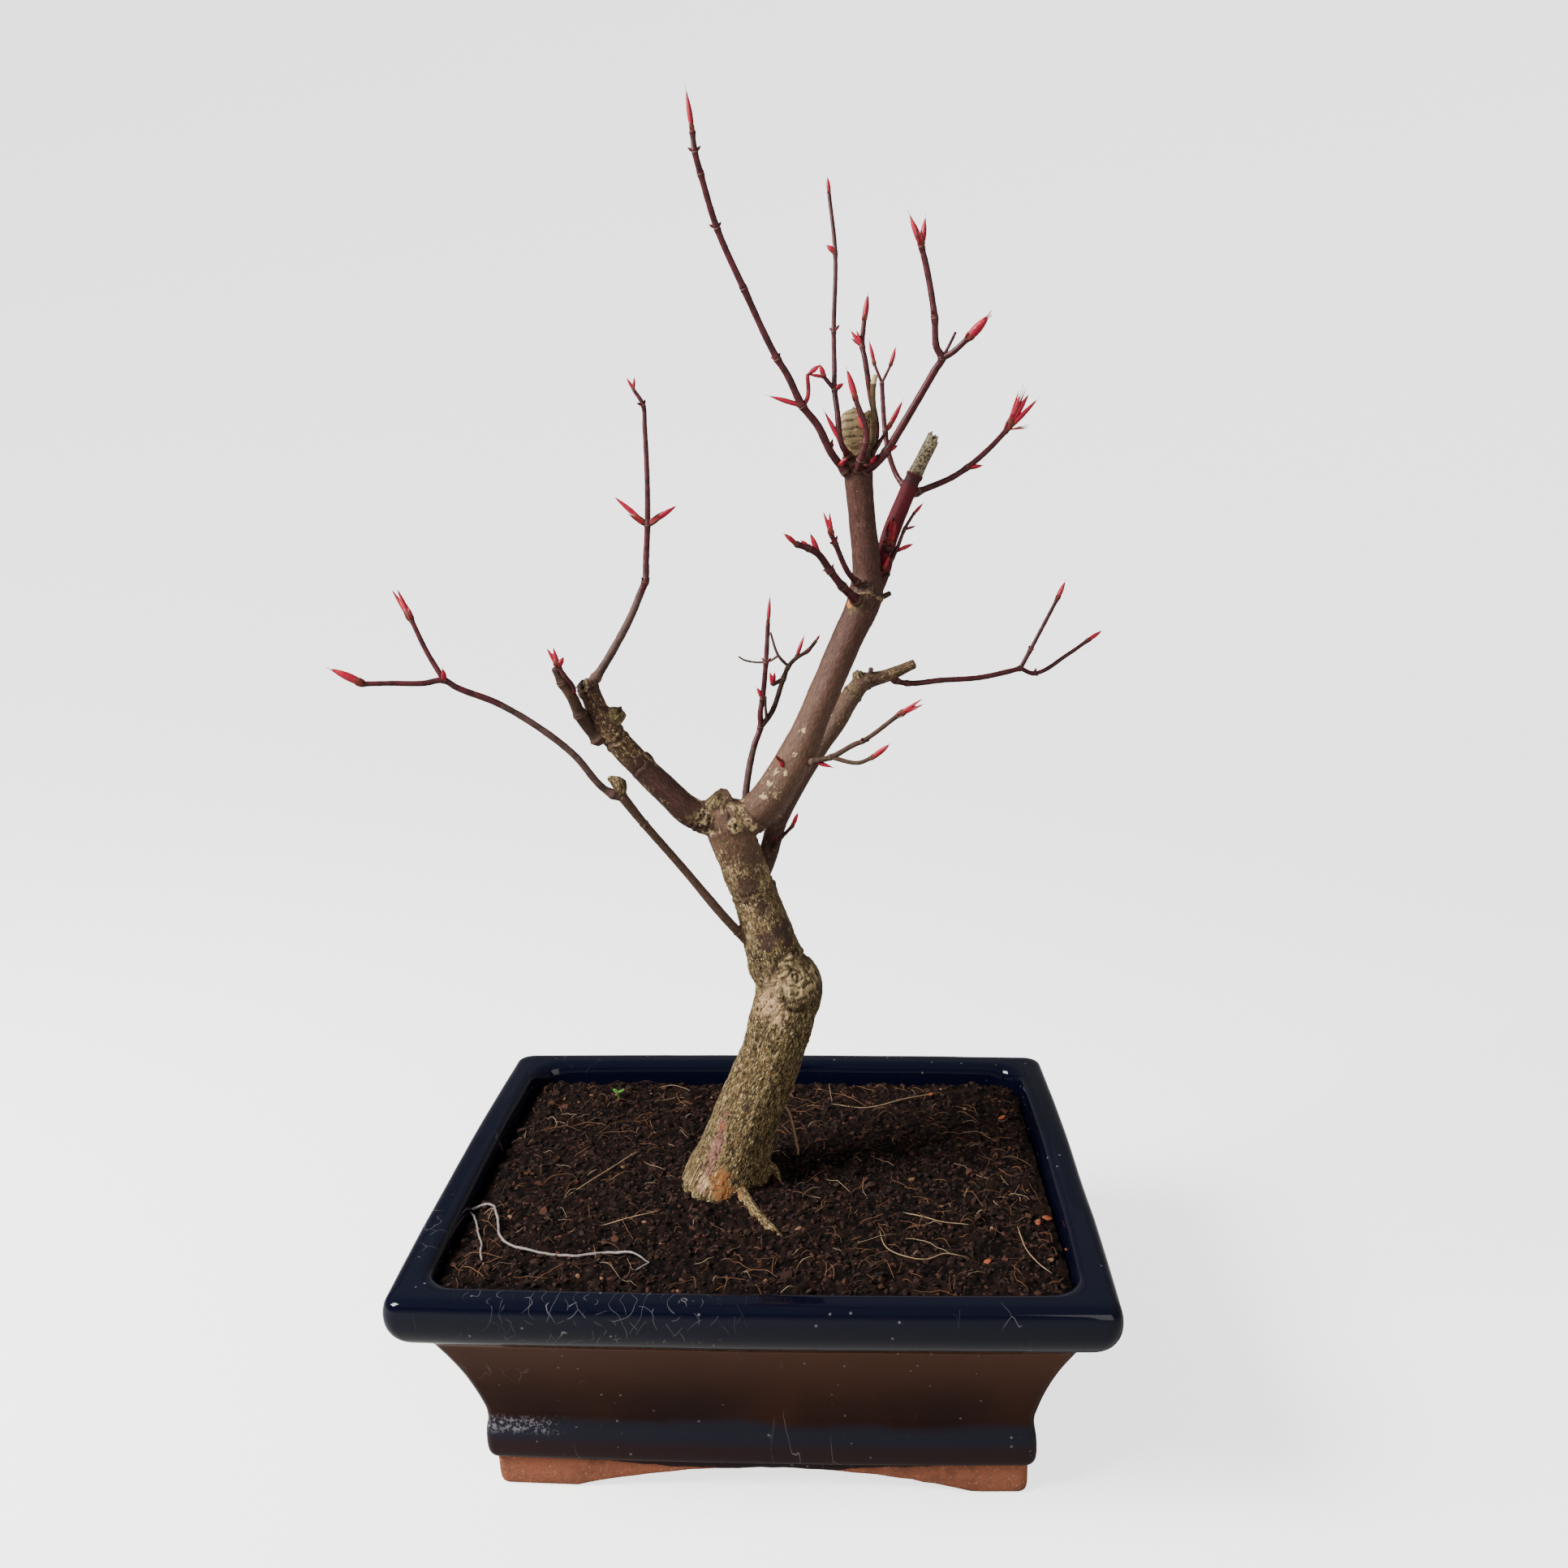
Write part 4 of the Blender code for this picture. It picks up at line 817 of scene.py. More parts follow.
def ring_matrices(places, radii):
    """Placing matrix of each round ring."""
    rings = []
    for place, radius, axes in zip(places, radii, line_frames(places)):
        turn = Matrix(axes).transposed().to_4x4()
        rings.append(Matrix.Translation(place) @ turn @ Matrix.Scale(max(radius, 0.02), 4))
    return rings


def sweep(rings, sides, shades=None):
    """Closed tube through rings; shades gives the material of the faces that lead to each ring."""
    shades = shades or [0] * len(rings)
    tube = bmesh.new()
    bmesh.ops.create_circle(tube, cap_ends=False, segments=sides, radius=1.0, matrix=rings[0])
    edges = list(tube.edges)
    bmesh.ops.contextual_create(tube, geom=edges)
    tube.faces.ensure_lookup_table()
    tube.faces[0].material_index = shades[0]
    for before, after, shade in zip(rings, rings[1:], shades[1:]):
        made = bmesh.ops.extrude_edge_only(tube, edges=edges)["geom"]
        verts = {item for item in made if isinstance(item, bmesh.types.BMVert)}
        for item in made:
            if isinstance(item, bmesh.types.BMFace):
                item.material_index = shade
        edges = [item for item in made if isinstance(item, bmesh.types.BMEdge)]
        edges = [edge for edge in edges if verts.issuperset(edge.verts)]
        bmesh.ops.transform(tube, matrix=after @ before.inverted(), verts=list(verts))
    cap = bmesh.ops.contextual_create(tube, geom=edges)["faces"]
    for face in cap:
        face.material_index = shades[-1]
    bmesh.ops.recalc_face_normals(tube, faces=tube.faces)
    return tube


def tube_arrays(path, radii, sides):
    """Points and quads of a thin tube without end caps: joined in bulk, so made as arrays."""
    frames = line_frames(path)
    points = []
    for place, radius, (across, side, _) in zip(path, radii, frames):
        for k in range(sides):
            angle = 2 * math.pi * k / sides
            points.append(place + (across * math.cos(angle) + side * math.sin(angle)) * radius)
    faces = []
    for i in range(len(path) - 1):
        for k in range(sides):
            a = i * sides + k
            b = i * sides + (k + 1) % sides
            faces.append((a, b, b + sides, a + sides))
    return points, faces


class PotLooks(bpy.types.PropertyGroup):
    """Glazed pot."""

    unevenness: FloatProperty(
        name="Unevenness", description="How far the pressed clay wanders from its true outline",
        default=0.00028, unit="LENGTH",
    )
    rim_glaze: FloatVectorProperty(
        name="Rim Glaze", description="Navy glaze of the rim and the moulding",
        default=(0.0012, 0.0020, 0.0085), size=3, subtype="COLOR",
    )
    body_glaze: FloatVectorProperty(
        name="Body Glaze", description="Copper brown glaze under the rim",
        default=(0.060, 0.0185, 0.0058), size=3, subtype="COLOR",
    )
    low_glaze: FloatVectorProperty(
        name="Low Glaze", description="Dark brown that the body glaze runs down into",
        default=(0.0150, 0.0046, 0.0030), size=3, subtype="COLOR",
    )
    clay: FloatVectorProperty(
        name="Bare Clay", description="Fired clay of the foot and the underside",
        default=(0.270, 0.098, 0.054), size=3, subtype="COLOR",
    )


def rectangle_points(half_x, half_y, corner, z):
    """Points of a rectangle with rounded corners and slightly bowed sides, in order round it."""
    points = []
    for quarter in range(4):
        sign_x = 1 if quarter in (0, 3) else -1
        sign_y = 1 if quarter in (0, 1) else -1
        for step in range(CORNER_STEPS + 1):
            angle = math.radians(90 * (quarter + step / CORNER_STEPS))
            x = sign_x * (half_x - corner) + corner * math.cos(angle)
            y = sign_y * (half_y - corner) + corner * math.sin(angle)
            points.append(Vector((x, y, z)))
        outward = Vector((0.0, 1.0, 0.0)) if quarter % 2 == 0 else Vector((1.0, 0.0, 0.0))
        outward *= 1.0 if quarter in (0, 3) else -1.0
        start = points[-1]
        for step in range(1, SIDE_STEPS):
            t = step / SIDE_STEPS
            along = (half_x if quarter % 2 == 0 else half_y) - corner
            way = Vector((-outward.y, outward.x, 0.0))
            points.append(start + way * 2 * along * t + outward * SIDE_BOW * 4 * t * (1 - t))
    return points


def arch_over(place):
    """Height of the foot's lower edge above the ground at a place on it."""
    height = 0.0
    for span, across in ((LONG_ARCH, place.x - LONG_ARCH_MIDDLE), (SHORT_ARCH, place.y)):
        radius = (span**2 / 4 + ARCH_HEIGHT**2) / (2 * ARCH_HEIGHT)
        if abs(across) < span / 2:
            height = max(height, ARCH_HEIGHT - radius + math.sqrt(radius**2 - across**2))
    return height


def softened(outline, rounds=2):
    """The outline with its corners cut off, as glaze rounds them."""
    for _ in range(rounds):
        eased = [outline[0]]
        for a, b in zip(outline, outline[1:]):
            eased.append(tuple(p + (q - p) * 0.25 for p, q in zip(a, b)))
            eased.append(tuple(p + (q - p) * 0.75 for p, q in zip(a, b)))
        outline = eased + [outline[-1]]
    return outline


def pot_outline():
    """Rings of the pot from under its floor, up the outside, over the rim and down to the inner floor."""
    inside = FOOT_INSET + FOOT_WALL
    body = BODY_CORNER
    lines = [(inside + 12.0, FLOOR_UNDERSIDE, 4.0), (inside + 1.0, FLOOR_UNDERSIDE, 4.0)]
    lines += [(inside, 1.2, 4.0), (inside - 0.6, 0.0, 4.0)]
    lines += [
        (FOOT_INSET + 0.9, 0.0, body),
        (FOOT_INSET, 1.2, body),
        (FOOT_INSET - 0.1, FOOT_HEIGHT - 2.0, body),
        (FOOT_INSET - 0.2, FOOT_HEIGHT, body),
        (MOULDING_INSET + 0.8, FOOT_HEIGHT + 0.5, body),
        (MOULDING_INSET, MOULDING_BOTTOM + 1.0, body),
        (MOULDING_INSET - 0.2, MOULDING_BOTTOM + 4.0, body),
        (MOULDING_INSET - 0.1, MOULDING_TOP - 2.6, body),
        (MOULDING_INSET + 0.1, MOULDING_TOP - 0.6, body),
        (MOULDING_INSET + 0.7, MOULDING_TOP + 1.5, body),
        (WAIST_INSET, WAIST_HEIGHT, body),
    ]
    under_band = (10.2, 59.3)
    for step in range(1, 10):
        t = step / 10
        bow = 1.2 * math.sin(math.pi * t)
        inset = WAIST_INSET + (under_band[0] - WAIST_INSET) * t + bow
        lines.append((inset, WAIST_HEIGHT + (under_band[1] - WAIST_HEIGHT) * t - bow * 0.2, body))
    lines.append((*under_band, body))
    band = [(6.0, 62.6), (2.4, BAND_BOTTOM), (0.5, 69.0), (0.0, 73.0), (0.4, 76.5), (1.5, 78.4)]
    band += [(3.2, POT_HEIGHT), (RIM_WIDTH - 4.5, POT_HEIGHT)]
    lines += [(inset, height, RIM_CORNER) for inset, height in band]
    lip = [(RIM_WIDTH - 2.5, POT_HEIGHT), (RIM_WIDTH - 0.4, POT_HEIGHT - 1.2), (RIM_WIDTH + 0.6, 74.5)]
    deep = WAIST_INSET + WALL
    wall = [(RIM_WIDTH + 1.4, 66.0), (RIM_WIDTH + 5.5, 58.0), (deep - 4.5, 45.0), (deep, 30.0)]
    wall += [(deep + 2.0, FLOOR_TOP + 4.0), (deep + 6.0, FLOOR_TOP)]
    lines += [(inset, height, OPENING_CORNER) for inset, height in lip + wall]
    return softened(lines)


def pot_rings(unevenness):
    """Points of every ring, with the arches under the foot and the clay's slight waves."""
    rings = []
    for inset, height, corner in pot_outline():
        shift = Vector((FOOT_SHIFT * max(0.0, 1.0 - height / SHIFT_HEIGHT), POT_MIDDLE_Y, 0.0))
        ring = []
        for point in rectangle_points(POT_LENGTH / 2 - inset, POT_DEPTH / 2 - inset, corner, height):
            place = point + shift
            wave = noise.fractal(place / 42.0, 1.0, 2.0, 2) * unevenness
            outward = Vector((place.x, place.y, 0.0)).normalized()
            if height < FLOOR_UNDERSIDE + 1.5 and inset < FOOT_INSET + FOOT_WALL + 2.0:
                arch = arch_over(place)
                if arch > 0.4:
                    arch += 0.5 * noise.noise(place / 6.0) + 0.35 * noise.noise(place / 2.6)
                place.z = arch + height * (FLOOR_UNDERSIDE + 1.5 - arch) / (FLOOR_UNDERSIDE + 1.5)
            elif height > POT_HEIGHT - 5.0:
                place.z += min(0.0, wave)
            ring.append(place + outward * min(0.0, wave))
        rings.append(ring)
    return rings


def pot_shell(unevenness):
    """Closed shell of the pot, each ring extruded from the one before."""
    rings = pot_rings(unevenness)
    shell = bmesh.new()
    verts = [shell.verts.new(point) for point in rings[0]]
    shell.faces.new(verts)
    for ring in rings[1:]:
        edges = [shell.edges.get((a, b)) for a, b in zip(verts, verts[1:] + verts[:1])]
        made = bmesh.ops.extrude_edge_only(shell, edges=edges)["geom"]
        grown = [item for item in made if isinstance(item, bmesh.types.BMVert)]
        above = {edge.other_vert(vert): vert for vert in grown for edge in vert.link_edges}
        verts = [above[vert] for vert in verts]
        for vert, point in zip(verts, ring):
            vert.co = point
    shell.faces.new(verts)
    bmesh.ops.recalc_face_normals(shell, faces=shell.faces)
    return shell


def scratches(place, turn, seed):
    """Short thin strokes that lean one way and bend a little: 1 on a stroke."""
    inputs = {"Vector": place, "Rotation": (0.0, turn, 0.0), "Location": (seed, 0.0, 0.0)}
    turned = field(place.tree, "ShaderNodeMapping", 0, inputs)
    bend = turned.cloud(110.0, 1.0)
    across = turned.axes()[0] + bend * 0.014
    lane = worked("ABSOLUTE", worked("PINGPONG", across * 260.0, 0.5))
    line = lane.step(0.030, 0.0)
    return line * turned.stretched((1.0, 0.1, 0.6)).cloud(260.0, 1.0).step(0.49, 0.55)


def glaze_wear(place, axes, level):
    """Crazing on the front of the rim, hairlines, dust and scuffs by the front left corner."""
    across, back, height = axes
    crazing = largest(scratches(place, 0.55, 0.0), scratches(place, -0.65, 0.037))
    front_left = back.step(-0.070, -0.078) * across.step(0.004, -0.014)
    crazed = front_left * (across.step(-0.088, -0.070) * height.step(0.0655, 0.0690))
    crazed = crazed * place.cloud(45.0, 2.0).step(0.36, 0.50)
    scratch = {"Vector": place.stretched((1.0, 1.0, 0.22)), "Scale": 95.0, "Width": 0.010, "Bend": 0.6}
    rare = place.stretched((1.3, 1.3, 1.0)).cloud(34.0, 2.0).step(0.60, 0.68)
    hair = grouped(crack_group(), scratch) * rare * 0.30
    grit = grouped(speck_group(), {"Vector": place, "Scale": 520.0, "Share": 0.022, "Size": 0.30}) * 0.55
    by_corner = across.step(-0.052, -0.066) * 0.16
    scuffed = (place.cloud(900.0, 4.0, 0.75) + by_corner).step(0.665, 0.75)
    scuff = level.step(0.0275, 0.0245) * level.step(0.0195, 0.0225) * scuffed * back.step(-0.034, -0.052)
    return largest(crazing * crazed * 0.38, hair, grit, scuff * 0.45)


def clay_colour(place, grain, looks):
    """Bare clay with stains and chalky specks."""
    return layered(
        grain.blend(Vector(looks.clay) * 0.62, Vector(looks.clay) * 1.35),
        (place.cloud(110.0, 4.0, 0.65).step(0.46, 0.64), 0.55, (0.130, 0.055, 0.036)),
        (
            grouped(speck_group(), {"Vector": place, "Scale": 900.0, "Share": 0.25, "Size": 0.42}),
            0.5,
            (0.480, 0.330, 0.260),
        ),
    )


def glaze_material(looks):
    """Navy rim and moulding, the moulding bluish above as a painted reflection, brown body between them
    with pooled glaze and painted shade under the rim, and bare clay below a wavy glaze line.
    """
    material, tree, shader = new_material("pot_glaze")
    place = object_place(tree)
    axes = place.axes()
    across, _, height = axes
    wander = (place.cloud(22.0, 2.0) - 0.5) * 0.009
    level = height + (place.cloud(160.0, 2.0) - 0.5) * 0.0016
    middle = (across + 0.002) * 19.0
    dip = worked("POWER", 2.718, middle * middle * -1.0)
    bare = (level + wander * 0.3 + dip * 0.0042).step(0.0122, 0.0118)
    band = level.step(0.0625, 0.0640)
    foot_band = (level + wander).step(0.0285, 0.0235)
    cloudy = place.stretched((1.0, 1.0, 0.3)).cloud(30.0, 2.0)
    # A dark broken line on the underside of the rim's roll: pooled glaze, and painted shade under the rim's
    # overhang.
    pooled_glaze_and_shade_line = level.step(0.0590, 0.0600) * level.step(0.0618, 0.0606)
    broken = place.stretched((1.0, 1.0, 3.0)).cloud(26.0, 2.0).step(0.40, 0.52)
    brown = layered(
        (height + wander).step(0.060, 0.030).blend(looks.body_glaze, looks.low_glaze),
        (cloudy.step(0.35, 0.75), 0.35, (0.070, 0.021, 0.007)),
    )
    # Darken the line of pooled glaze and painted shade under the rim.
    brown = (pooled_glaze_and_shade_line * broken).blend(brown, (0.012, 0.005, 0.005))
    # The moulding: reddish black below and bluish above, the blue being a painted reflection.
    moulding = height.step(0.0165, 0.0205).blend((0.0150, 0.0050, 0.0058), (0.0080, 0.0078, 0.0160))
    navy = (cloudy * 0.5).blend(looks.rim_glaze, (0.0024, 0.0024, 0.0080))
    worn = glaze_wear(place, axes, level)
    colour = band.blend(foot_band.blend(brown, moulding), navy)
    colour = worn.blend(colour, (0.30, 0.28, 0.29))
    grain = place.cloud(900.0, 4.0, 0.7)
    polish = largest(0.07 + cloudy * 0.05, worn * 0.8)
    relief = place.cloud(38.0, 2.0) + grain * bare * 1.6 - bare * 0.9
    inputs = {
        "Base Color": bare.blend(colour, clay_colour(place, grain, looks)),
        "Roughness": field(tree, "ShaderNodeMix", 0, {0: bare, 2: polish, 3: 0.88}),
        "Specular IOR Level": 0.06,
        "Coat Weight": (1.0 - bare) * (0.02 + largest(band, foot_band * 0.6) * 0.40),
        "Coat Roughness": 0.04,
        "Normal": relief.bump(0.55, 0.0006),
    }
    set_inputs(shader, inputs)
    return material


class BONSAI_OT_pot(bpy.types.Operator):
    """Make the glazed pot with its rolled rim, moulding and arched foot"""

    bl_idname = "bonsai.pot"
    bl_label = "Glazed Pot"

    def execute(self, context):
        looks = context.scene.bonsai_pot
        shell = pot_shell(looks.unevenness / MM)
        settle(object_from("glazed_pot", shell, [glaze_material(looks)], 50.0), "glaze", "pot")
        return {"FINISHED"}


class SoilLooks(bpy.types.PropertyGroup):
    """Soil and what lies on it."""

    crumbs: IntProperty(name="Crumbs", description="Loose crumbs on the soil", default=9000, min=0)
    fibres: IntProperty(name="Fibres", description="Coir fibres on the soil", default=760, min=0)
    dark: FloatVectorProperty(
        name="Soil", description="Damp peat", default=(0.0098, 0.0042, 0.0027), size=3, subtype="COLOR",
    )
    fibre: FloatVectorProperty(
        name="Fibre", description="Coir fibre", default=(0.190, 0.090, 0.044), size=3, subtype="COLOR",
    )


def soil_half(margin):
    """Half length and half depth of the pot's opening, less a margin."""
    inset = RIM_WIDTH + 0.9 + margin
    return POT_LENGTH / 2 - inset, POT_DEPTH / 2 - inset


def soil_height(x, y):
    """Height of the soil's rough surface at a place."""
    half_x, half_y = soil_half(0.0)
    share = (y - POT_MIDDLE_Y + half_y) / (2 * half_y)
    base = SOIL_FRONT + (SOIL_BACK - SOIL_FRONT) * min(1.0, max(0.0, share))
    clods = noise.fractal(Vector((x, y, 3.0)) / CLOD_SIZE, 0.9, 2.1, 3)
    crumbs = noise.fractal(Vector((x, y, 9.0)) / CRUMB_SIZE, 0.6, 2.2, 3)
    edge = min(half_x - abs(x), half_y - abs(y - POT_MIDDLE_Y))
    trough = TROUGH_DEPTH * math.exp(-max(edge, 0.0) / TROUGH_WIDTH)
    foot = Vector((x - TRUNK.start[0], y - TRUNK.start[1])).length
    heap = HEAP_RISE * math.exp(-((foot / HEAP_SPREAD) ** 2))
    return base + 1.15 * clods + 0.5 * crumbs - trough + heap


def crumb_height(x, y):
    """Height of the crumbs that the surface is made of: 0 in the gaps between them, 1 on their tops."""
    total = 0.0
    for size, share in ((2.6, 0.55), (1.45, 0.45)):
        place = Vector((x / size, y / size, size))
        gaps, centres = noise.voronoi(place)
        rise = 0.45 + 0.55 * noise.cell(centres[0] * 7.3)
        total += share * rise * math.sqrt(max(0.0, 1.0 - (gaps[0] / 0.78) ** 2))
    return total


def soil_bed():
    """Rough soil surface with sides and an underside, filling the top of the pot."""
    half_x, half_y = soil_half(0.15)
    columns = int(2 * half_x / SOIL_STEP)
    rows = int(2 * half_y / SOIL_STEP)
    bed = bmesh.new()
    shape = Matrix.Diagonal((half_x, half_y, 1.0, 1.0))
    tops = bed.verts.layers.float.new("crumb_tops")
    bmesh.ops.create_grid(bed, x_segments=columns, y_segments=rows, size=1.0, matrix=shape)
    for vert in bed.verts:
        x, y = vert.co.x, vert.co.y + POT_MIDDLE_Y
        jitter = noise.noise_vector(Vector((x, y, 0.0)) / 1.3) * SOIL_STEP * 0.35
        inside = abs(x) < half_x - 1.0 and abs(y - POT_MIDDLE_Y) < half_y - 1.0
        if inside:
            x += jitter.x
            y += jitter.y
        top = crumb_height(x, y)
        vert.co = Vector((x, y, soil_height(x, y) + CRUMB_RISE * (top - CRUMB_LEVEL)))
        vert[tops] = top
    rim = [edge for edge in bed.edges if edge.is_boundary]
    made = bmesh.ops.extrude_edge_only(bed, edges=rim)["geom"]
    low = [item for item in made if isinstance(item, bmesh.types.BMVert)]
    for vert in low:
        vert.co.z = SOIL_TOP - SOIL_DEPTH
        vert.co.x *= SOIL_TAPER
        vert.co.y = POT_MIDDLE_Y + (vert.co.y - POT_MIDDLE_Y) * SOIL_TAPER
    edges = [edge for edge in bed.edges if edge.is_boundary]
    bmesh.ops.contextual_create(bed, geom=edges)
    bmesh.ops.recalc_face_normals(bed, faces=bed.faces)
    return bed


def soil_material(name, colour, paler, share):
    """Damp rough peat with paler flecks, and painted shade that darkens the gaps between its crumbs."""
    material, tree, shader = new_material(name)
    place = object_place(tree)
    colour = Vector(colour)
    deep = place.cloud(700.0, 4.0, 0.7).blend(colour * 0.5, colour * 1.6)
    tops = field(tree, "ShaderNodeAttribute", "Fac", attribute_name="crumb_tops")
    shown = layered(
        deep,
        (grouped(mottle_group(), {"Vector": place, "Scale": 60.0, "Contrast": 0.2}), 0.5, colour * 2.4),
        # Painted shade: the gaps between the crumbs are darkened almost to black.
        (tops.step(0.5, 0.15), 0.92, colour * 0.10),
        (
            grouped(speck_group(), {"Vector": place, "Scale": 620.0, "Share": share, "Size": 0.45}),
            0.7,
            paler,
        ),
    )
    inputs = {"Base Color": shown, "Roughness": 0.93, "Specular IOR Level": 0.12}
    set_inputs(shader, inputs | {"Normal": place.cloud(1300.0, 4.0, 0.75).bump(1.0, 0.0009)})
    return material


def plain_finish(name, colour, roughness, grain_scale=900.0, spread=0.25, depth=0.0001):
    """One base colour, made lively by fine grain and a slight bump."""
    material, tree, shader = new_material(name)
    grain = object_place(tree).cloud(grain_scale, 3.0, 0.6)
    shown = grain.blend(Vector(colour) * (1.0 - spread), Vector(colour) * (1.0 + spread))
    inputs = {"Base Color": shown, "Roughness": roughness, "Specular IOR Level": 0.25}
    set_inputs(shader, inputs | {"Normal": grain.bump(0.6, depth)})
    return material


def on_soil(rng, margin=2.0):
    """A random place on the soil."""
    half_x, half_y = soil_half(margin)
    return rng.uniform(-half_x, half_x), POT_MIDDLE_Y + rng.uniform(-half_y, half_y)


def crumb_arrays(count, rng):
    """Loose crumbs of peat and bark, as joined arrays with the shade of each face."""
    seed_shape = bmesh.new()
    bmesh.ops.create_icosphere(seed_shape, subdivisions=1, radius=1.0)
    base = np.array([vert.co for vert in seed_shape.verts])
    faces = np.array([[vert.index for vert in face.verts] for face in seed_shape.faces])
    seed_shape.free()
    coords, quads, shades = [], [], []
    for k in range(count):
        x, y = on_soil(rng)
        size = 0.26 + 0.75 * rng.random() ** 2.5
        if rng.random() < 0.012:
            size = rng.uniform(1.0, 1.7)
        stretch = Vector((rng.uniform(0.7, 1.5), rng.uniform(0.6, 1.1), rng.uniform(0.45, 0.9))) * size
        turn = Matrix.Rotation(rng.uniform(0, 6.28), 3, "Z")
        tilt = Matrix.Rotation(rng.uniform(-0.6, 0.6), 3, "X")
        matrix = np.array(turn @ tilt @ Matrix.Diagonal(stretch))
        rough = 1.0 + 0.38 * np.array([rng.uniform(-1, 1) for _ in base])[:, None]
        top = CRUMB_RISE * (crumb_height(x, y) - CRUMB_LEVEL)
        centre = np.array((x, y, soil_height(x, y) + top + 0.15 * size))
        quads.append(faces + len(base) * k)
        coords.append((base * rough) @ matrix.T + centre)
        shade = rng.choices((0, 1, 2, 3), (0.44, 0.42, 0.13, 0.01))[0]
        shades += [shade] * len(faces)
    return np.concatenate(coords), np.concatenate(quads), shades


def hair_path(rng, x, y, length, lift, curl):
    """Places of one fibre that lies on the soil and lifts off it here and there."""
    heading = rng.uniform(0, 2 * math.pi)
    bend = rng.uniform(-curl, curl)
    arch = rng.uniform(0.0, lift)
    path = []
    for k in range(FIBRE_STEPS + 1):
        t = k / FIBRE_STEPS
        path.append(Vector((x, y, soil_height(x, y) + 0.25 + arch * math.sin(math.pi * t))))
        heading += bend / FIBRE_STEPS + rng.uniform(-0.22, 0.22)
        x += math.cos(heading) * length / FIBRE_STEPS
        y += math.sin(heading) * length / FIBRE_STEPS
    return path


def inside_opening(path, margin=0.8):
    """Whether every place keeps inside the pot's opening."""
    half_x, half_y = soil_half(margin)
    return all(abs(p.x) < half_x and abs(p.y - POT_MIDDLE_Y) < half_y for p in path)


def fibre_arrays(count, rng):
    """Fibres of coir and root hair, as joined arrays with the shade of each face."""
    coords, quads, shades = [], [], []
    offset = 0
    while len(shades) < count * FIBRE_STEPS * FIBRE_SIDES:
        x, y = on_soil(rng)
        long = rng.random() < 0.16
        length = rng.uniform(9.0, 17.0) if long else rng.uniform(2.5, 8.0)
        path = hair_path(rng, x, y, length, 1.8 if long else 1.4, 1.2)
        if not inside_opening(path):
            continue
        radius = rng.uniform(0.06, 0.12) if long else rng.uniform(0.05, 0.11)
        radii = []
        for k in range(FIBRE_STEPS + 1):
            radii.append(radius * (0.45 + 0.55 * math.sin(math.pi * (0.15 + 0.7 * k / FIBRE_STEPS))))
        points, faces = tube_arrays(path, radii, FIBRE_SIDES)
        coords += points
        quads += [tuple(index + offset for index in face) for face in faces]
        offset += len(points)
        shades += [rng.choices((0, 1, 2), (0.50, 0.40, 0.10))[0]] * len(faces)
    return coords, quads, shades


# Pale root thread lying over the front left of the soil, and its side loop: (across, back, above the soil).
PALE_THREAD = (
    (-101.0, -14.0, 2.2), (-96.0, -22.5, 1.2), (-89.5, -22.0, 1.4), (-84.0, -31.0, 1.3),
    (-80.0, -42.0, 0.9), (-74.5, -47.5, 0.7), (-70.0, -49.8, 0.8), (-62.5, -51.3, 0.7),
    (-55.0, -51.8, 0.7), (-48.5, -50.6, 1.0), (-42.5, -50.2, 1.2), (-36.5, -52.2, 1.4),
    (-31.5, -55.6, 0.9),
)
THREAD_LOOP = (
    (-96.0, -22.5, 1.2), (-92.0, -29.0, 0.9), (-88.5, -37.5, 0.8), (-85.0, -46.0, 1.2),
    (-83.5, -52.0, 1.6), (-81.5, -56.0, 0.4),
)
THREAD_END = ((-31.5, -55.6, 0.9), (-35.0, -59.5, 0.4))
# Longer fibres that show by themselves: (across, back, above the soil).
LONE_FIBRES = (
    (
        (38.0, -37.0, 0.6), (40.0, -46.0, 0.9), (45.0, -50.5, 0.8), (52.0, -51.5, 0.7),
        (57.0, -49.6, 0.9), (64.0, -49.5, 0.5),
    ),
    (
        (81.0, -34.0, 0.8), (81.8, -42.0, 1.0), (82.5, -49.0, 1.2), (86.0, -55.5, 0.8),
        (88.0, -57.5, 0.4),
    ),
    ((46.0, -25.0, 0.6), (51.0, -28.5, 1.0), (58.0, -31.5, 0.7), (66.0, -32.5, 0.9)),
    ((62.0, 62.0, 0.7), (50.0, 55.0, 1.0), (35.0, 50.0, 0.8), (22.0, 52.0, 0.5)),
    ((-46.0, 12.0, 0.6), (-52.0, 2.0, 1.2), (-60.0, -10.0, 1.0), (-65.0, -18.0, 0.5)),
    ((-50.0, -34.0, 0.6), (-42.0, -31.5, 1.2), (-33.0, -27.0, 0.6)),
)
# Thin pale root that leaves the trunk and drops into the soil, in full height.
SIDE_ROOT = (
    (5.0, 5.5, 98.5), (8.0, 8.4, 92.5), (9.6, 10.4, 84.0), (10.5, 12.6, 77.5), (10.8, 13.6, 72.0),
)
SPROUT_PLACE = (-59.8, 56.4)
CHIPS = (
    (70.0, -51.4, 2.6), (91.4, -26.2, 3.0), (88.0, -30.0, 2.2), (85.0, 42.0, 2.6), (60.0, 61.0, 3.2),
    (95.0, -44.0, 2.0),
)


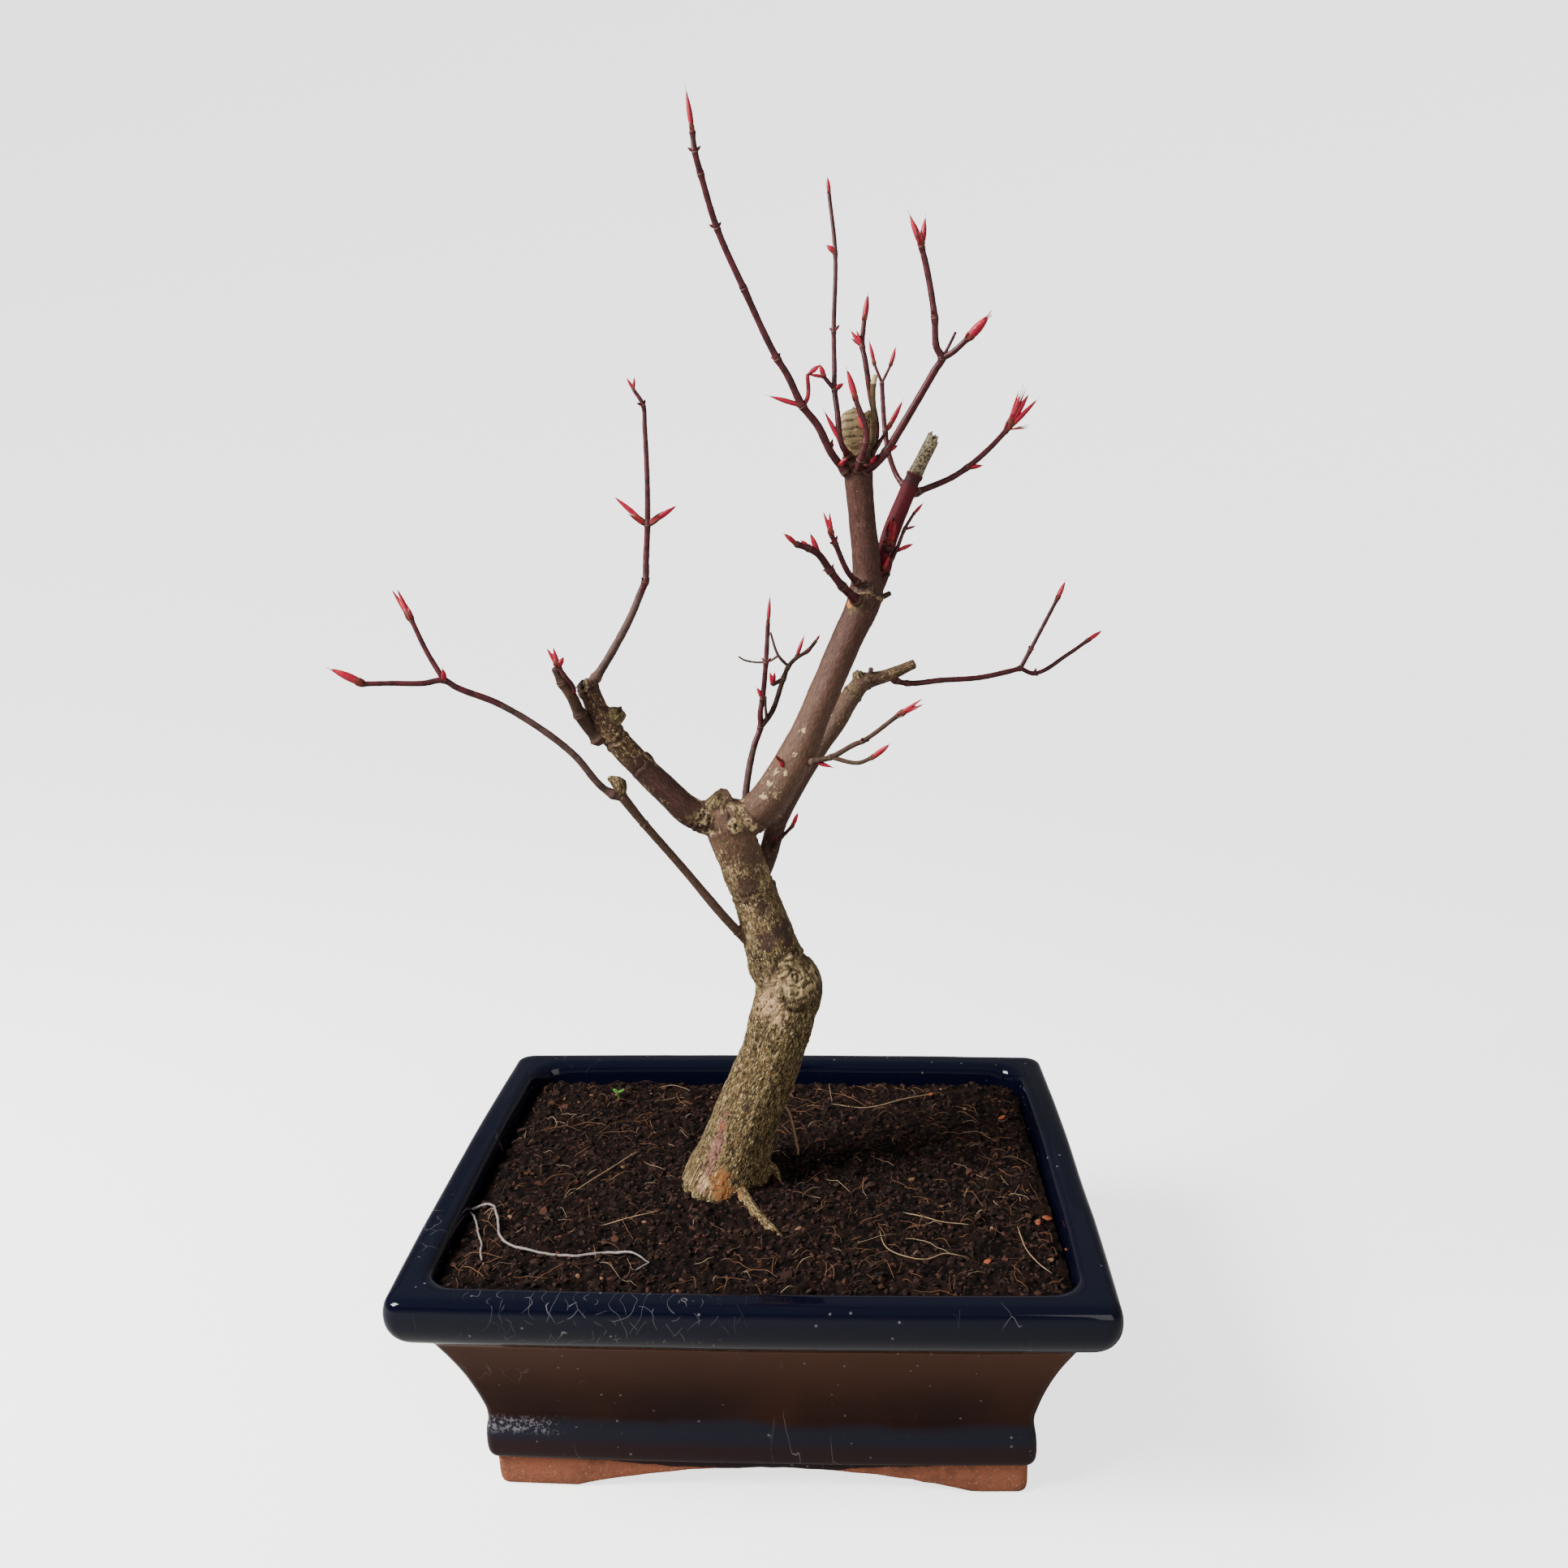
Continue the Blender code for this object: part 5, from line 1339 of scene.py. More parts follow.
def laid_tube(route, radius, spacing=1.2, sides=8, on_ground=True, wobble=0.25):
    """Tube along a route given as height above the soil, or as true height."""
    points = []
    for x, y, z in route:
        points.append(Vector((x, y, z + soil_height(x, y) if on_ground else z)))
    places, radii = even_line(points, [radius] * len(points), spacing)
    shaped = []
    for k, (place, thick) in enumerate(zip(places, radii)):
        t = k / (len(places) - 1)
        taper = min(1.0, 0.35 + 6 * t, 0.35 + 6 * (1 - t))
        bumps = 1.0 + wobble * noise.noise(place * 1.1)
        shift = noise.noise_vector(place * 0.35) * radius * 0.8
        place = place + Vector((shift.x, shift.y, shift.z * 0.5))
        shaped.append((place, thick * taper * bumps))
    rings = ring_matrices([place for place, thick in shaped], [thick for place, thick in shaped])
    return sweep(rings, sides)


def bark_chip(x, y, size, rng):
    """Flat chip of orange bark lying on the soil."""
    chip = bmesh.new()
    bmesh.ops.create_icosphere(chip, subdivisions=2, radius=1.0)
    shape = Matrix.Rotation(rng.uniform(0, 3.1), 4, "Z") @ Matrix.Rotation(rng.uniform(-0.5, 0.5), 4, "Y")
    shape = shape @ Matrix.Diagonal((size * 0.55, size * 0.4, size * 0.16, 1.0))
    bmesh.ops.transform(chip, matrix=shape, verts=chip.verts)
    for vert in chip.verts:
        vert.co += noise.noise_vector(vert.co * 0.9 + Vector((x, y, 0))) * size * 0.14
        vert.co += Vector((x, y, soil_height(x, y) + size * 0.2))
    return chip


def sprout_leaf(x, y, turn, size):
    """One rounded seed leaf of a small green sprout."""
    leaf = bmesh.new()
    bmesh.ops.create_uvsphere(leaf, u_segments=10, v_segments=6, radius=1.0)
    shape = Matrix.Translation((x, y, soil_height(x, y) + 2.6)) @ Matrix.Rotation(turn, 4, "Z")
    shape = shape @ Matrix.Rotation(-0.35, 4, "Y") @ Matrix.Translation((size * 0.8, 0.0, 0.0))
    shape = shape @ Matrix.Diagonal((size, size * 0.6, size * 0.12, 1.0))
    bmesh.ops.transform(leaf, matrix=shape, verts=leaf.verts)
    return leaf


class BONSAI_OT_soil(bpy.types.Operator):
    """Make the rough surface of the potting soil"""

    bl_idname = "bonsai.soil"
    bl_label = "Soil"

    def execute(self, context):
        looks = context.scene.bonsai_soil
        material = soil_material("damp_peat", looks.dark, (0.052, 0.027, 0.016), 0.10)
        settle(object_from("soil_bed", soil_bed(), [material], 70.0), "soil", "soil")
        return {"FINISHED"}


class BONSAI_OT_litter(bpy.types.Operator):
    """Scatter crumbs and fibres over the soil, and lay the roots, chips and sprout that lie on it"""

    bl_idname = "bonsai.litter"
    bl_label = "Crumbs and Fibres"

    def execute(self, context):
        looks = context.scene.bonsai_soil
        rng = random.Random(SEED)
        coords, faces, shades = crumb_arrays(looks.crumbs, rng)
        mesh = mesh_of_arrays("soil_crumbs", coords, faces, shades)
        earth = [
            plain_finish("dark_crumb", Vector(looks.dark) * 1.1, 0.92, 1200.0, 0.7, 0.0004),
            plain_finish("brown_crumb", (0.0240, 0.0094, 0.0060), 0.9, 1200.0, 0.6, 0.0004),
            plain_finish("russet_crumb", (0.050, 0.0180, 0.0105), 0.9, 1200.0, 0.6, 0.0004),
            plain_finish("tan_crumb", (0.170, 0.085, 0.045), 0.85, 1200.0, 0.4, 0.0003),
        ]
        settle(link_mesh("soil_crumbs", mesh, earth, 25.0), "soil")
        coords, faces, shades = fibre_arrays(looks.fibres, rng)
        mesh = mesh_of_arrays("soil_fibres", coords, faces, shades)
        hairs = [
            plain_finish("coir_fibre", looks.fibre, 0.7),
            plain_finish("dark_fibre", (0.040, 0.0185, 0.0105), 0.75),
            plain_finish("pale_fibre", (0.330, 0.240, 0.150), 0.6),
        ]
        settle(link_mesh("soil_fibres", mesh, hairs, None), "soil")
        threads = [laid_tube(PALE_THREAD, 0.42), laid_tube(THREAD_LOOP, 0.33), laid_tube(THREAD_END, 0.20)]
        whitish = plain_finish("pale_root", (0.225, 0.190, 0.175), 0.5, 900.0, 0.65, 0.0004)
        settle(object_from("pale_root_thread", join_meshes(threads), [whitish]), "soil")
        lone = [laid_tube(route, 0.15, 1.5, 6) for route in LONE_FIBRES]
        lone.append(laid_tube(SIDE_ROOT, 0.55, 1.0, 8, False))
        tan = plain_finish("tan_root", (0.290, 0.190, 0.105), 0.6, 1200.0, 0.35, 0.0002)
        settle(object_from("loose_roots", join_meshes(lone), [tan]), "soil")
        chips = [bark_chip(x, y, size, rng) for x, y, size in CHIPS]
        orange = plain_finish("bark_chip", (0.220, 0.055, 0.022), 0.8, 500.0, 0.4, 0.0004)
        settle(object_from("bark_chips", join_meshes(chips), [orange]), "soil")
        x, y = SPROUT_PLACE
        leaves = [sprout_leaf(x, y, turn, 1.5) for turn in (0.4, 2.6, 4.4)]
        leaves.append(laid_tube(((x, y, -1.0), (x + 0.3, y, 2.8)), 0.3, 1.0, 6))
        green = plain_finish("sprout_green", (0.060, 0.170, 0.025), 0.5)
        settle(object_from("green_sprout", join_meshes(leaves), [green]), "soil")
        return {"FINISHED"}


class BarkLooks(bpy.types.PropertyGroup):
    """Bark of the trunk and the boughs."""

    fineness: FloatProperty(
        name="Fineness", description="Length of an edge of the bark's mesh", default=0.000526,
        unit="LENGTH",
    )
    relief: FloatProperty(
        name="Relief", description="How deep cracks, scars and ridges stand in the bark", default=1.0,
        subtype="FACTOR",
    )
    old: FloatVectorProperty(
        name="Old Bark", description="Olive tan bark of the lower trunk", default=(0.150, 0.088, 0.032),
        size=3, subtype="COLOR",
    )
    young: FloatVectorProperty(
        name="Young Bark", description="Red brown bark of the boughs", default=(0.056, 0.0185, 0.0140),
        size=3, subtype="COLOR",
    )
    scale: FloatVectorProperty(
        name="Scales", description="Pale tan scales that cling to the young bark",
        default=(0.330, 0.235, 0.112), size=3, subtype="COLOR",
    )
    burgundy: FloatVectorProperty(
        name="Burgundy Bark", description="Smooth dark red bark of the youngest bough",
        default=(0.095, 0.0050, 0.0105), size=3, subtype="COLOR",
    )


@dataclass(frozen=True)
class Scar:
    """Ring scar round a limb, so far past one of its stations."""

    limb: str
    station: int
    offset: float
    width: float = 0.7
    height: float = 0.35
    pale: float = 0.6


SCARS = (
    Scar("trunk", 9, 4.5, 0.8, 0.35, 0.35), Scar("trunk", 7, 2.0, 1.2, 0.4, 0.2),
    Scar("trunk", 11, 1.0, 0.8, 0.25, 0.3), Scar("left_bough", 0, 5.2, 0.6, 0.5, 0.55),
    Scar("left_bough", 0, 7.4, 0.55, 0.45, 0.5), Scar("left_bough", 0, 9.6, 0.5, 0.35, 0.4),
    Scar("left_bough", 3, -4.0, 0.7, 0.2, 0.25), Scar("left_bough", 4, -2.0, 0.7, 0.35, 0.45),
    Scar("left_bough", 4, 0.4, 0.6, 0.3, 0.4), Scar("left_bough", 6, 0.5, 0.7, 0.3, 0.3),
    Scar("low_left_limb", 1, -1.5, 0.5, 0.25, 0.3), Scar("low_left_limb", 3, 0.0, 0.5, 0.2, 0.2),
    Scar("leader_bough", 1, -1.5, 0.7, 0.3, 0.3), Scar("leader_bough", 5, 0.3, 0.6, 0.4, 0.55),
    Scar("leader_bough", 5, 2.2, 0.5, 0.3, 0.3), Scar("leader_bough", 10, -1.0, 0.45, 0.3, 0.3),
    Scar("leader_bough", 10, 0.6, 0.4, 0.25, 0.3), Scar("leader_bough", 10, 2.1, 0.4, 0.25, 0.3),
    Scar("leader_bough", 10, 3.8, 0.4, 0.25, 0.3), Scar("leader_bough", 10, 5.6, 0.4, 0.2, 0.3),
    Scar("rear_bough", 5, 0.5, 0.6, 0.3, 0.4), Scar("rear_bough", 6, 1.5, 0.5, 0.25, 0.4),
    Scar("red_bough", 0, 3.0, 0.5, 0.25, 0.4), Scar("red_bough", 4, 0.9, 0.5, 0.35, 0.0),
)
# Creases and ridges in the bark: (depth, width, places along it); a ridge has a negative depth.
CREASES = (
    (
        0.75, 0.45,
        (
            (5.9, -6.9, 152.7), (7.0, -8.2, 147.5), (7.6, -8.8, 143.0), (8.6, -9.1, 139.7),
            (10.4, -9.2, 136.4),
        ),
    ),
    (0.6, 0.4, ((10.4, -9.2, 136.4), (13.0, -8.6, 136.0), (15.6, -7.0, 137.4), (18.9, -2.7, 139.0))),
    (-0.5, 0.7, ((9.2, -9.0, 138.6), (12.6, -8.6, 137.9), (15.6, -7.2, 139.3), (18.7, -3.2, 141.2))),
    (0.45, 0.35, ((11.0, -6.0, 152.0), (12.6, -6.6, 148.0), (12.0, -7.6, 143.8), (11.4, -8.4, 140.2))),
    (0.35, 0.3, ((15.6, -3.4, 150.6), (15.8, -4.4, 146.4), (14.8, -6.2, 142.6))),
    (-0.45, 0.6, ((9.3, -6.6, 151.2), (10.0, -7.6, 147.0), (10.0, -8.4, 142.8))),
    (-0.35, 0.5, ((13.9, -4.8, 150.6), (14.3, -5.6, 146.6), (13.4, -7.2, 142.0))),
    (0.5, 0.4, ((-8.8, -6.6, 203.5), (-8.0, -6.8, 200.8), (-9.4, -6.6, 198.2), (-11.5, -5.8, 196.9))),
    (-0.5, 0.6, ((-7.4, -6.4, 203.0), (-6.4, -6.8, 200.0), (-5.2, -6.9, 197.4))),
    (0.45, 0.35, ((-3.6, -5.6, 202.2), (-3.3, -6.0, 199.0), (-2.6, -6.4, 195.6), (-0.6, -6.0, 193.0))),
    (
        0.4, 0.3,
        (
            (-6.6, -6.9, 197.4), (-5.9, -7.0, 196.4), (-5.2, -6.9, 197.2), (-5.9, -6.8, 198.0),
            (-6.6, -6.9, 197.4),
        ),
    ),
)
# Healed knots and hollows: (place, radius, spacing of its rings, height, paleness, radius of its hole).
KNOTS = (
    ((12.1, -6.4, 147.5), 9.5, 4.4, 0.26, 0.8, 0.0), ((-6.1, -6.7, 198.1), 3.4, 1.7, 0.32, 0.75, 0.6),
    ((-5.2, -5.4, 202.4), 2.8, 1.5, 0.22, 0.7, 0.0), ((-2.6, -5.6, 199.4), 2.4, 1.3, 0.2, 0.6, 0.0),
    ((-16.0, -6.0, 200.4), 3.6, 1.6, 0.25, 0.45, 0.0), ((-11.3, -5.2, 207.4), 3.8, 1.8, 0.2, 0.15, 0.8),
    ((-53.0, -13.0, 244.0), 5.4, 1.8, 0.35, 0.45, 2.5), ((-40.0, -10.1, 236.4), 2.6, 1.2, 0.25, 0.1, 1.2),
    ((34.1, 3.2, 270.0), 4.0, 1.5, 0.3, 0.4, 0.0),
)
# Patches of their own colour, by kind: (radius, place).
PATCHES = {
    "pale": (
        (1.7, (-7.9, -4.4, 204.1)), (1.6, (-0.9, -4.4, 196.6)), (1.5, (-16.6, -6.5, 198.9)),
        (1.4, (-14.2, -5.1, 195.3)), (1.6, (4.7, -3.0, 210.5)), (1.3, (2.6, -3.7, 206.7)),
        (1.1, (6.3, -2.1, 214.5)), (0.9, (9.6, -3.1, 213.9)), (1.2, (15.3, -0.7, 227.1)),
        (0.9, (12.7, -2.2, 219.7)), (1.3, (-44.4, -16.0, 216.4)), (1.0, (29.0, 3.0, 262.0)),
    ),
    "smooth": (
        (4.4, (-3.0, -5.7, 177.2)), (5.2, (8.0, -3.7, 161.5)), (3.6, (2.8, -6.3, 159.4)),
        (3.4, (-1.0, -6.0, 186.0)), (2.6, (1.6, -4.4, 170.0)), (2.4, (19.5, -0.3, 142.0)),
    ),
    "stain": (
        (4.0, (-13.4, -15.7, 79.8)), (5.0, (-11.1, -17.0, 74.7)), (2.0, (-13.0, -10.0, 96.5)),
    ),
    "bruise": (
        (1.3, (-12.1, -8.9, 100.5)), (1.6, (-12.8, -9.6, 97.5)), (1.8, (-13.5, -10.3, 94.4)),
        (2.5, (-14.6, -10.9, 91.4)), (2.6, (-15.7, -11.5, 88.3)), (2.5, (-16.8, -12.6, 85.4)),
        (2.3, (-17.8, -13.6, 82.7)), (1.3, (-19.9, -16.1, 77.0)),
    ),
    "rust": (
        (1.1, (29.4, 6.4, 266.0)), (0.9, (30.0, 5.4, 265.0)), (1.0, (-45.0, -15.4, 217.0)),
    ),
    "moss": (
        (3.4, (31.6, 3.6, 266.4)), (2.6, (-12.0, -3.0, 206.0)), (3.0, (-41.3, -11.3, 234.6)),
        (2.4, (30.6, 22.6, 235.6)), (2.4, (-19.9, -5.9, 200.0)), (3.0, (2.5, -4.5, 193.0)),
    ),
    "blush": (
        (4.6, (5.0, -7.7, 145.6)), (5.5, (2.5, -7.2, 138.9)), (3.8, (6.4, -9.2, 136.0)),
        (2.2, (-15.7, -11.5, 90.0)), (2.6, (-19.0, -15.0, 79.0)),
    ),
}
# Keeps the grain of each limb apart from the next one's.
GRAIN_GAP = 37.0
# How far a patch's ragged edge can reach, in radii.
PATCH_REACH = 1.7
# Shares kept on the bark's points, four to an attribute.
WOOD_MARKS = {
    "wood_age": ("old", "scaly", "pale", "red"),
    "wood_marks": ("stain", "bruise", "smooth", "cut"),
    "wood_spots": ("rust", "moss", "dead", "taupe"),
    "wood_lines": ("crust", "cracks", "blush", "hole"),
}
# Share of old bark and of clinging scales along each limb, from its foot to its end.
OLD_BARK = {
    "trunk": ((66.0, 1.0), (150.0, 1.0), (158.0, 0.80), (180.0, 0.62), (190.0, 0.30), (205.0, 0.2)),
    "left_bough": ((0.0, 0.25), (14.0, 0.12), (30.0, 0.15), (44.0, 0.5), (60.0, 0.35)),
    "leader_bough": ((0.0, 0.12), (20.0, 0.08), (60.0, 0.05), (80.0, 0.12), (130.0, 0.05)),
    "rear_bough": ((0.0, 0.30), (60.0, 0.15), (90.0, 0.4)),
    "low_left_limb": ((0.0, 0.15), (60.0, 0.2)),
}
SCALY = {
    "trunk": ((66.0, 0.1), (145.0, 0.3), (158.0, 0.70), (182.0, 0.78), (192.0, 0.5), (205.0, 0.55)),
    "left_bough": ((0.0, 0.95), (16.0, 0.8), (30.0, 1.0), (44.0, 0.9), (60.0, 0.5)),
    "leader_bough": (
        (0.0, 0.5), (22.0, 0.45), (40.0, 0.22), (55.0, 0.08), (76.0, 0.4), (84.0, 0.1), (130.0, 0.1),
    ),
    "rear_bough": ((0.0, 0.3), (40.0, 0.12), (66.0, 0.5), (90.0, 0.4)),
    "low_left_limb": ((0.0, 0.15), (60.0, 0.3)),
}
# Share of a pale bloom along a limb.
BLOOM = {
    "leader_bough": ((0.0, 0.09), (30.0, 0.15), (58.0, 0.08), (78.0, 0.02)),
    "rear_bough": ((0.0, 0.0), (26.0, 0.02), (44.0, 0.07), (62.0, 0.10), (90.0, 0.08)),
    "low_left_limb": ((0.0, 0.06), (60.0, 0.05)),
    "trunk": ((150.0, 0.0), (160.0, 0.08), (178.0, 0.06), (190.0, 0.15), (206.0, 0.15)),
}
# Share of grey brown in a limb's colour.
TAUPE = {"rear_bough": 0.22, "low_left_limb": 0.5, "left_bough": 0.2, "stub": 0.6, "burl": 0.5}
# Stretch of the leader's cut tip that is bare pale wood, and how far it bulges.
TIP_REACH = 15.5
TIP_BULGE = 0.42
# Sides of the tubes that are welded into the wood, and how often their weld is smoothed.
WOOD_SIDES = 28
WOOD_SMOOTHING = 3
# Edge length of the thin red bough's mesh, as a share of the other wood's.
RED_FINENESS = 0.6
# Points handled at a time.
BLOCK = 4000


@dataclass
class Line:
    """A limb as a fine line: its places and radii, and how far along it each of its stations is."""

    name: str
    wood: str
    places: list
    radii: list
    marks: list


def limb_line(name, wood, limb, spacing=1.6):
    """Fine line of a limb, with how far along it each of its stations is."""
    points = end_points(limb.start, limb.runs)
    radii = [limb.start[3]] + [run[3] for run in limb.runs]
    places, thick = even_line(points, radii, spacing)
    marks = [0.0]
    for a, b in zip(points, points[1:]):
        marks.append(marks[-1] + (b - a).length)
    return Line(name, wood, places, thick, marks)


def wooden_lines(names):
    """Lines of the named limbs with their stubs; the trunk brings its burl and surface roots."""
    lines = []
    for name in names:
        if name == "trunk":
            lines.append(limb_line("trunk", "trunk", TRUNK))
            lines.append(limb_line("burl", "burl", FORK_BURL))
            lines += [limb_line("root", "root", root) for root in SURFACE_ROOTS]
        else:
            lines.append(limb_line(name, name, BOUGHS[name]))
            lines += [limb_line("stub", "stub", stub) for bough, stub in STUBS if bough == name]
    return lines


def spread_foot(tube):
    """Spread the trunk's foot into buttresses that fade upwards."""
    middle = Vector(TRUNK.start[:2])
    for vert in tube.verts:
        outward = vert.co.xy - middle
        if outward.length < 1.0:
            continue
        heading = math.atan2(outward.y, outward.x)
        fade = math.exp(-max(vert.co.z - SOIL_TOP, 0.0) / FLARE_FADE)
        for bearing, reach in BUTTRESSES:
            lobe = max(0.0, math.cos(heading - math.radians(bearing))) ** 4
            vert.co.xy += outward.normalized() * reach * lobe * fade
    return tube


def welded_wood(name, lines, fineness):
    """One even closed mesh in metres from the limbs' overlapping tubes, smoothed where they meet."""
    tubes = []
    for line in lines:
        tube = sweep(ring_matrices(line.places, line.radii), WOOD_SIDES)
        tubes.append(spread_foot(tube) if line.name == "trunk" else tube)
    rough = object_from(name + "_rough", join_meshes(tubes), [])
    remesh = rough.modifiers.new("Weld", "REMESH")
    remesh.mode = "VOXEL"
    remesh.voxel_size = fineness
    remesh.use_smooth_shade = True
    ready = rough.evaluated_get(bpy.context.evaluated_depsgraph_get())
    mesh = bpy.data.meshes.new_from_object(ready)
    bpy.data.objects.remove(rough, do_unlink=True)
    soft = bmesh.new()
    soft.from_mesh(mesh)
    every_way = {"use_axis_x": True, "use_axis_y": True, "use_axis_z": True}
    for _ in range(WOOD_SMOOTHING):
        bmesh.ops.smooth_vert(soft, verts=soft.verts, factor=0.5, **every_way)
    soft.to_mesh(mesh)
    soft.free()
    mesh.name = name
    return mesh


def follow_lines(coords, lines):
    """For each point: its line, how far along it lies, its angle round it and the line's radius."""
    starts, ends, low, high, along, owner, across, side = [], [], [], [], [], [], [], []
    for index, line in enumerate(lines):
        frames = line_frames(line.places)
        travelled = 0.0
        for k in range(len(line.places) - 1):
            a, b = line.places[k], line.places[k + 1]
            starts.append(a)
            ends.append(b)
            low.append(line.radii[k])
            high.append(line.radii[k + 1])
            along.append(travelled)
            owner.append(index)
            across.append(frames[k][0])
            side.append(frames[k][1])
            travelled += (b - a).length
    starts, ends, across, side = (np.array(item) for item in (starts, ends, across, side))
    low, high, along, owner = (np.array(item) for item in (low, high, along, owner))
    runs = ends - starts
    lengths = np.linalg.norm(runs, axis=1)
    results = []
    for first in range(0, len(coords), BLOCK):
        block = coords[first : first + BLOCK]
        away = block[:, None, :] - starts[None]
        share = np.clip((away * runs[None]).sum(2) / lengths[None] ** 2, 0.0, 1.0)
        offset = away - share[:, :, None] * runs[None]
        depth = np.linalg.norm(offset, axis=2) - (low + (high - low) * share)
        best = depth.argmin(axis=1)
        rows = np.arange(len(block))
        offset = offset[rows, best]
        share = share[rows, best]
        angle = np.arctan2((offset * side[best]).sum(1), (offset * across[best]).sum(1))
        radius = low[best] + (high[best] - low[best]) * share
        far = along[best] + share * lengths[best]
        results.append(np.column_stack((owner[best], far, angle, radius)))
    return np.concatenate(results).T


def on_profile(profile, value):
    """Value of a broken line given as (place, value) pairs."""
    places = [place for place, amount in profile]
    amounts = [amount for place, amount in profile]
    return np.interp(value, places, amounts)


def near_route(coords, route):
    """Distance of each point to a broken line of places."""
    least = np.full(len(coords), 1e9)
    for a, b in zip(route, route[1:]):
        a, b = np.array(a), np.array(b)
        run = b - a
        share = np.clip(((coords - a) @ run) / (run @ run), 0.0, 1.0)
        gap = np.linalg.norm(coords - a - share[:, None] * run, axis=1)
        least = np.minimum(least, gap)
    return least


def patch_shares(coords):
    """How strongly each kind of patch covers each point, with ragged edges."""
    shares = {kind: np.zeros(len(coords)) for kind in PATCHES}
    for kind, patches in PATCHES.items():
        cover = shares[kind]
        for radius, centre in patches:
            gap = np.linalg.norm(coords - np.array(centre), axis=1)
            for k in np.flatnonzero(gap < radius * PATCH_REACH):
                ragged = noise.fractal(Vector(coords[k]) / (0.5 * radius + 0.2), 0.8, 2.0, 3) * 0.85
                share = 1.0 - gap[k] / radius + ragged
                cover[k] = max(cover[k], min(1.0, max(0.0, share * 2.4)))
    return shares


def end_shares(coords, lines, owner, far):
    """How near each point is to the cut end of its limb: 1 on the cut face."""
    share = np.zeros(len(coords))
    for index, line in enumerate(lines):
        if line.wood in ("trunk", "root", "burl", "leader_bough"):
            continue
        total = line.marks[-1]
        way = (line.places[-1] - line.places[-2]).normalized()
        ahead = (coords - np.array(line.places[-1])) @ np.array(way)
        mine = owner == index
        share[mine] = np.clip(1.0 + ahead[mine] / 0.7, 0.0, 1.0) * (far[mine] > total - 2.0)
    return share


def bark_fields(point, radius):
    """Broad swell, fine fibres, cracks along and curling lines of the bark at one place of its grain."""
    x, y, z = point
    size = min(1.0, radius / 9.0)
    broad = noise.fractal(Vector((x, y, z * 0.6)) / 6.5, 0.9, 2.0, 3) * 0.42 * size
    twist = noise.noise_vector(Vector((x, y, z * 0.7)) / 2.6) * 1.4
    x, y, z = x + twist.x, y + twist.y, z + twist.z
    fibre = noise.fractal(Vector((x / 0.9, y / 0.9, z / 3.2)), 0.8, 2.1, 2)
    crack = 1.0 - abs(noise.noise(Vector((x / 1.25, y / 1.25, z / 3.6)))) / 0.12
    curl = 1.0 - abs(noise.noise(Vector((x / 1.6 + 9.0, y / 1.6, z / 2.3)))) / 0.13
    return broad, fibre, max(0.0, crack), max(0.0, curl)


def knot_marks(coords, normals):
    """Rings that wind round each healed knot, as relief, paleness, painted shade in the troughs between the
    rings, and holes that get painted shade.
    """
    push, pale, groove_shade, hole = (np.zeros(len(coords)) for _ in range(4))
    for place, radius, spacing, height, paleness, opening in KNOTS:
        gap = coords - np.array(place)
        close = np.flatnonzero(np.linalg.norm(gap, axis=1) < radius * 1.5)
        if not len(close):
            continue
        facing = normals[close[np.linalg.norm(gap[close], axis=1).argmin()]]
        across = np.cross(facing, (0.0, 0.0, 1.0))
        across /= np.linalg.norm(across) + 1e-9
        up = np.cross(across, facing)
        u, v = gap[close] @ across, gap[close] @ up
        far = np.hypot(u, v)
        bend = np.array([noise.fractal(Vector(coords[k]) / (0.45 * radius), 0.8, 2.1, 4) for k in close])
        wind = np.sin(2 * np.pi * (far / spacing + 0.95 * bend) + np.arctan2(v, u))
        cover = np.clip((radius - far) / (0.3 * radius), 0.0, 1.0) * (normals[close] @ facing > 0.1)
        lip = np.exp(-(((far - 0.9 * radius) / (0.16 * radius)) ** 2)) * cover**0.5
        sunk = np.clip((opening - far) / 0.5 + 0.5, 0.0, 1.0) if opening else 0.0 * far
        push[close] += height * cover * wind + 0.9 * height * lip - (0.5 + 0.7 * opening) * sunk
        pale[close] = np.maximum(pale[close], paleness * cover * (0.85 + 0.25 * wind + 0.25 * bend))
        # Painted shade in the troughs between the knot's rings.
        groove_shade[close] = np.maximum(groove_shade[close], cover * np.clip(-1.6 * wind - 1.0 + 0.9 * bend, 0.0, 0.6))
        # Share of the sunk hole, which the bark material paints near black as shade.
        hole[close] = np.maximum(hole[close], sunk * cover)
    return push, pale, groove_shade, hole


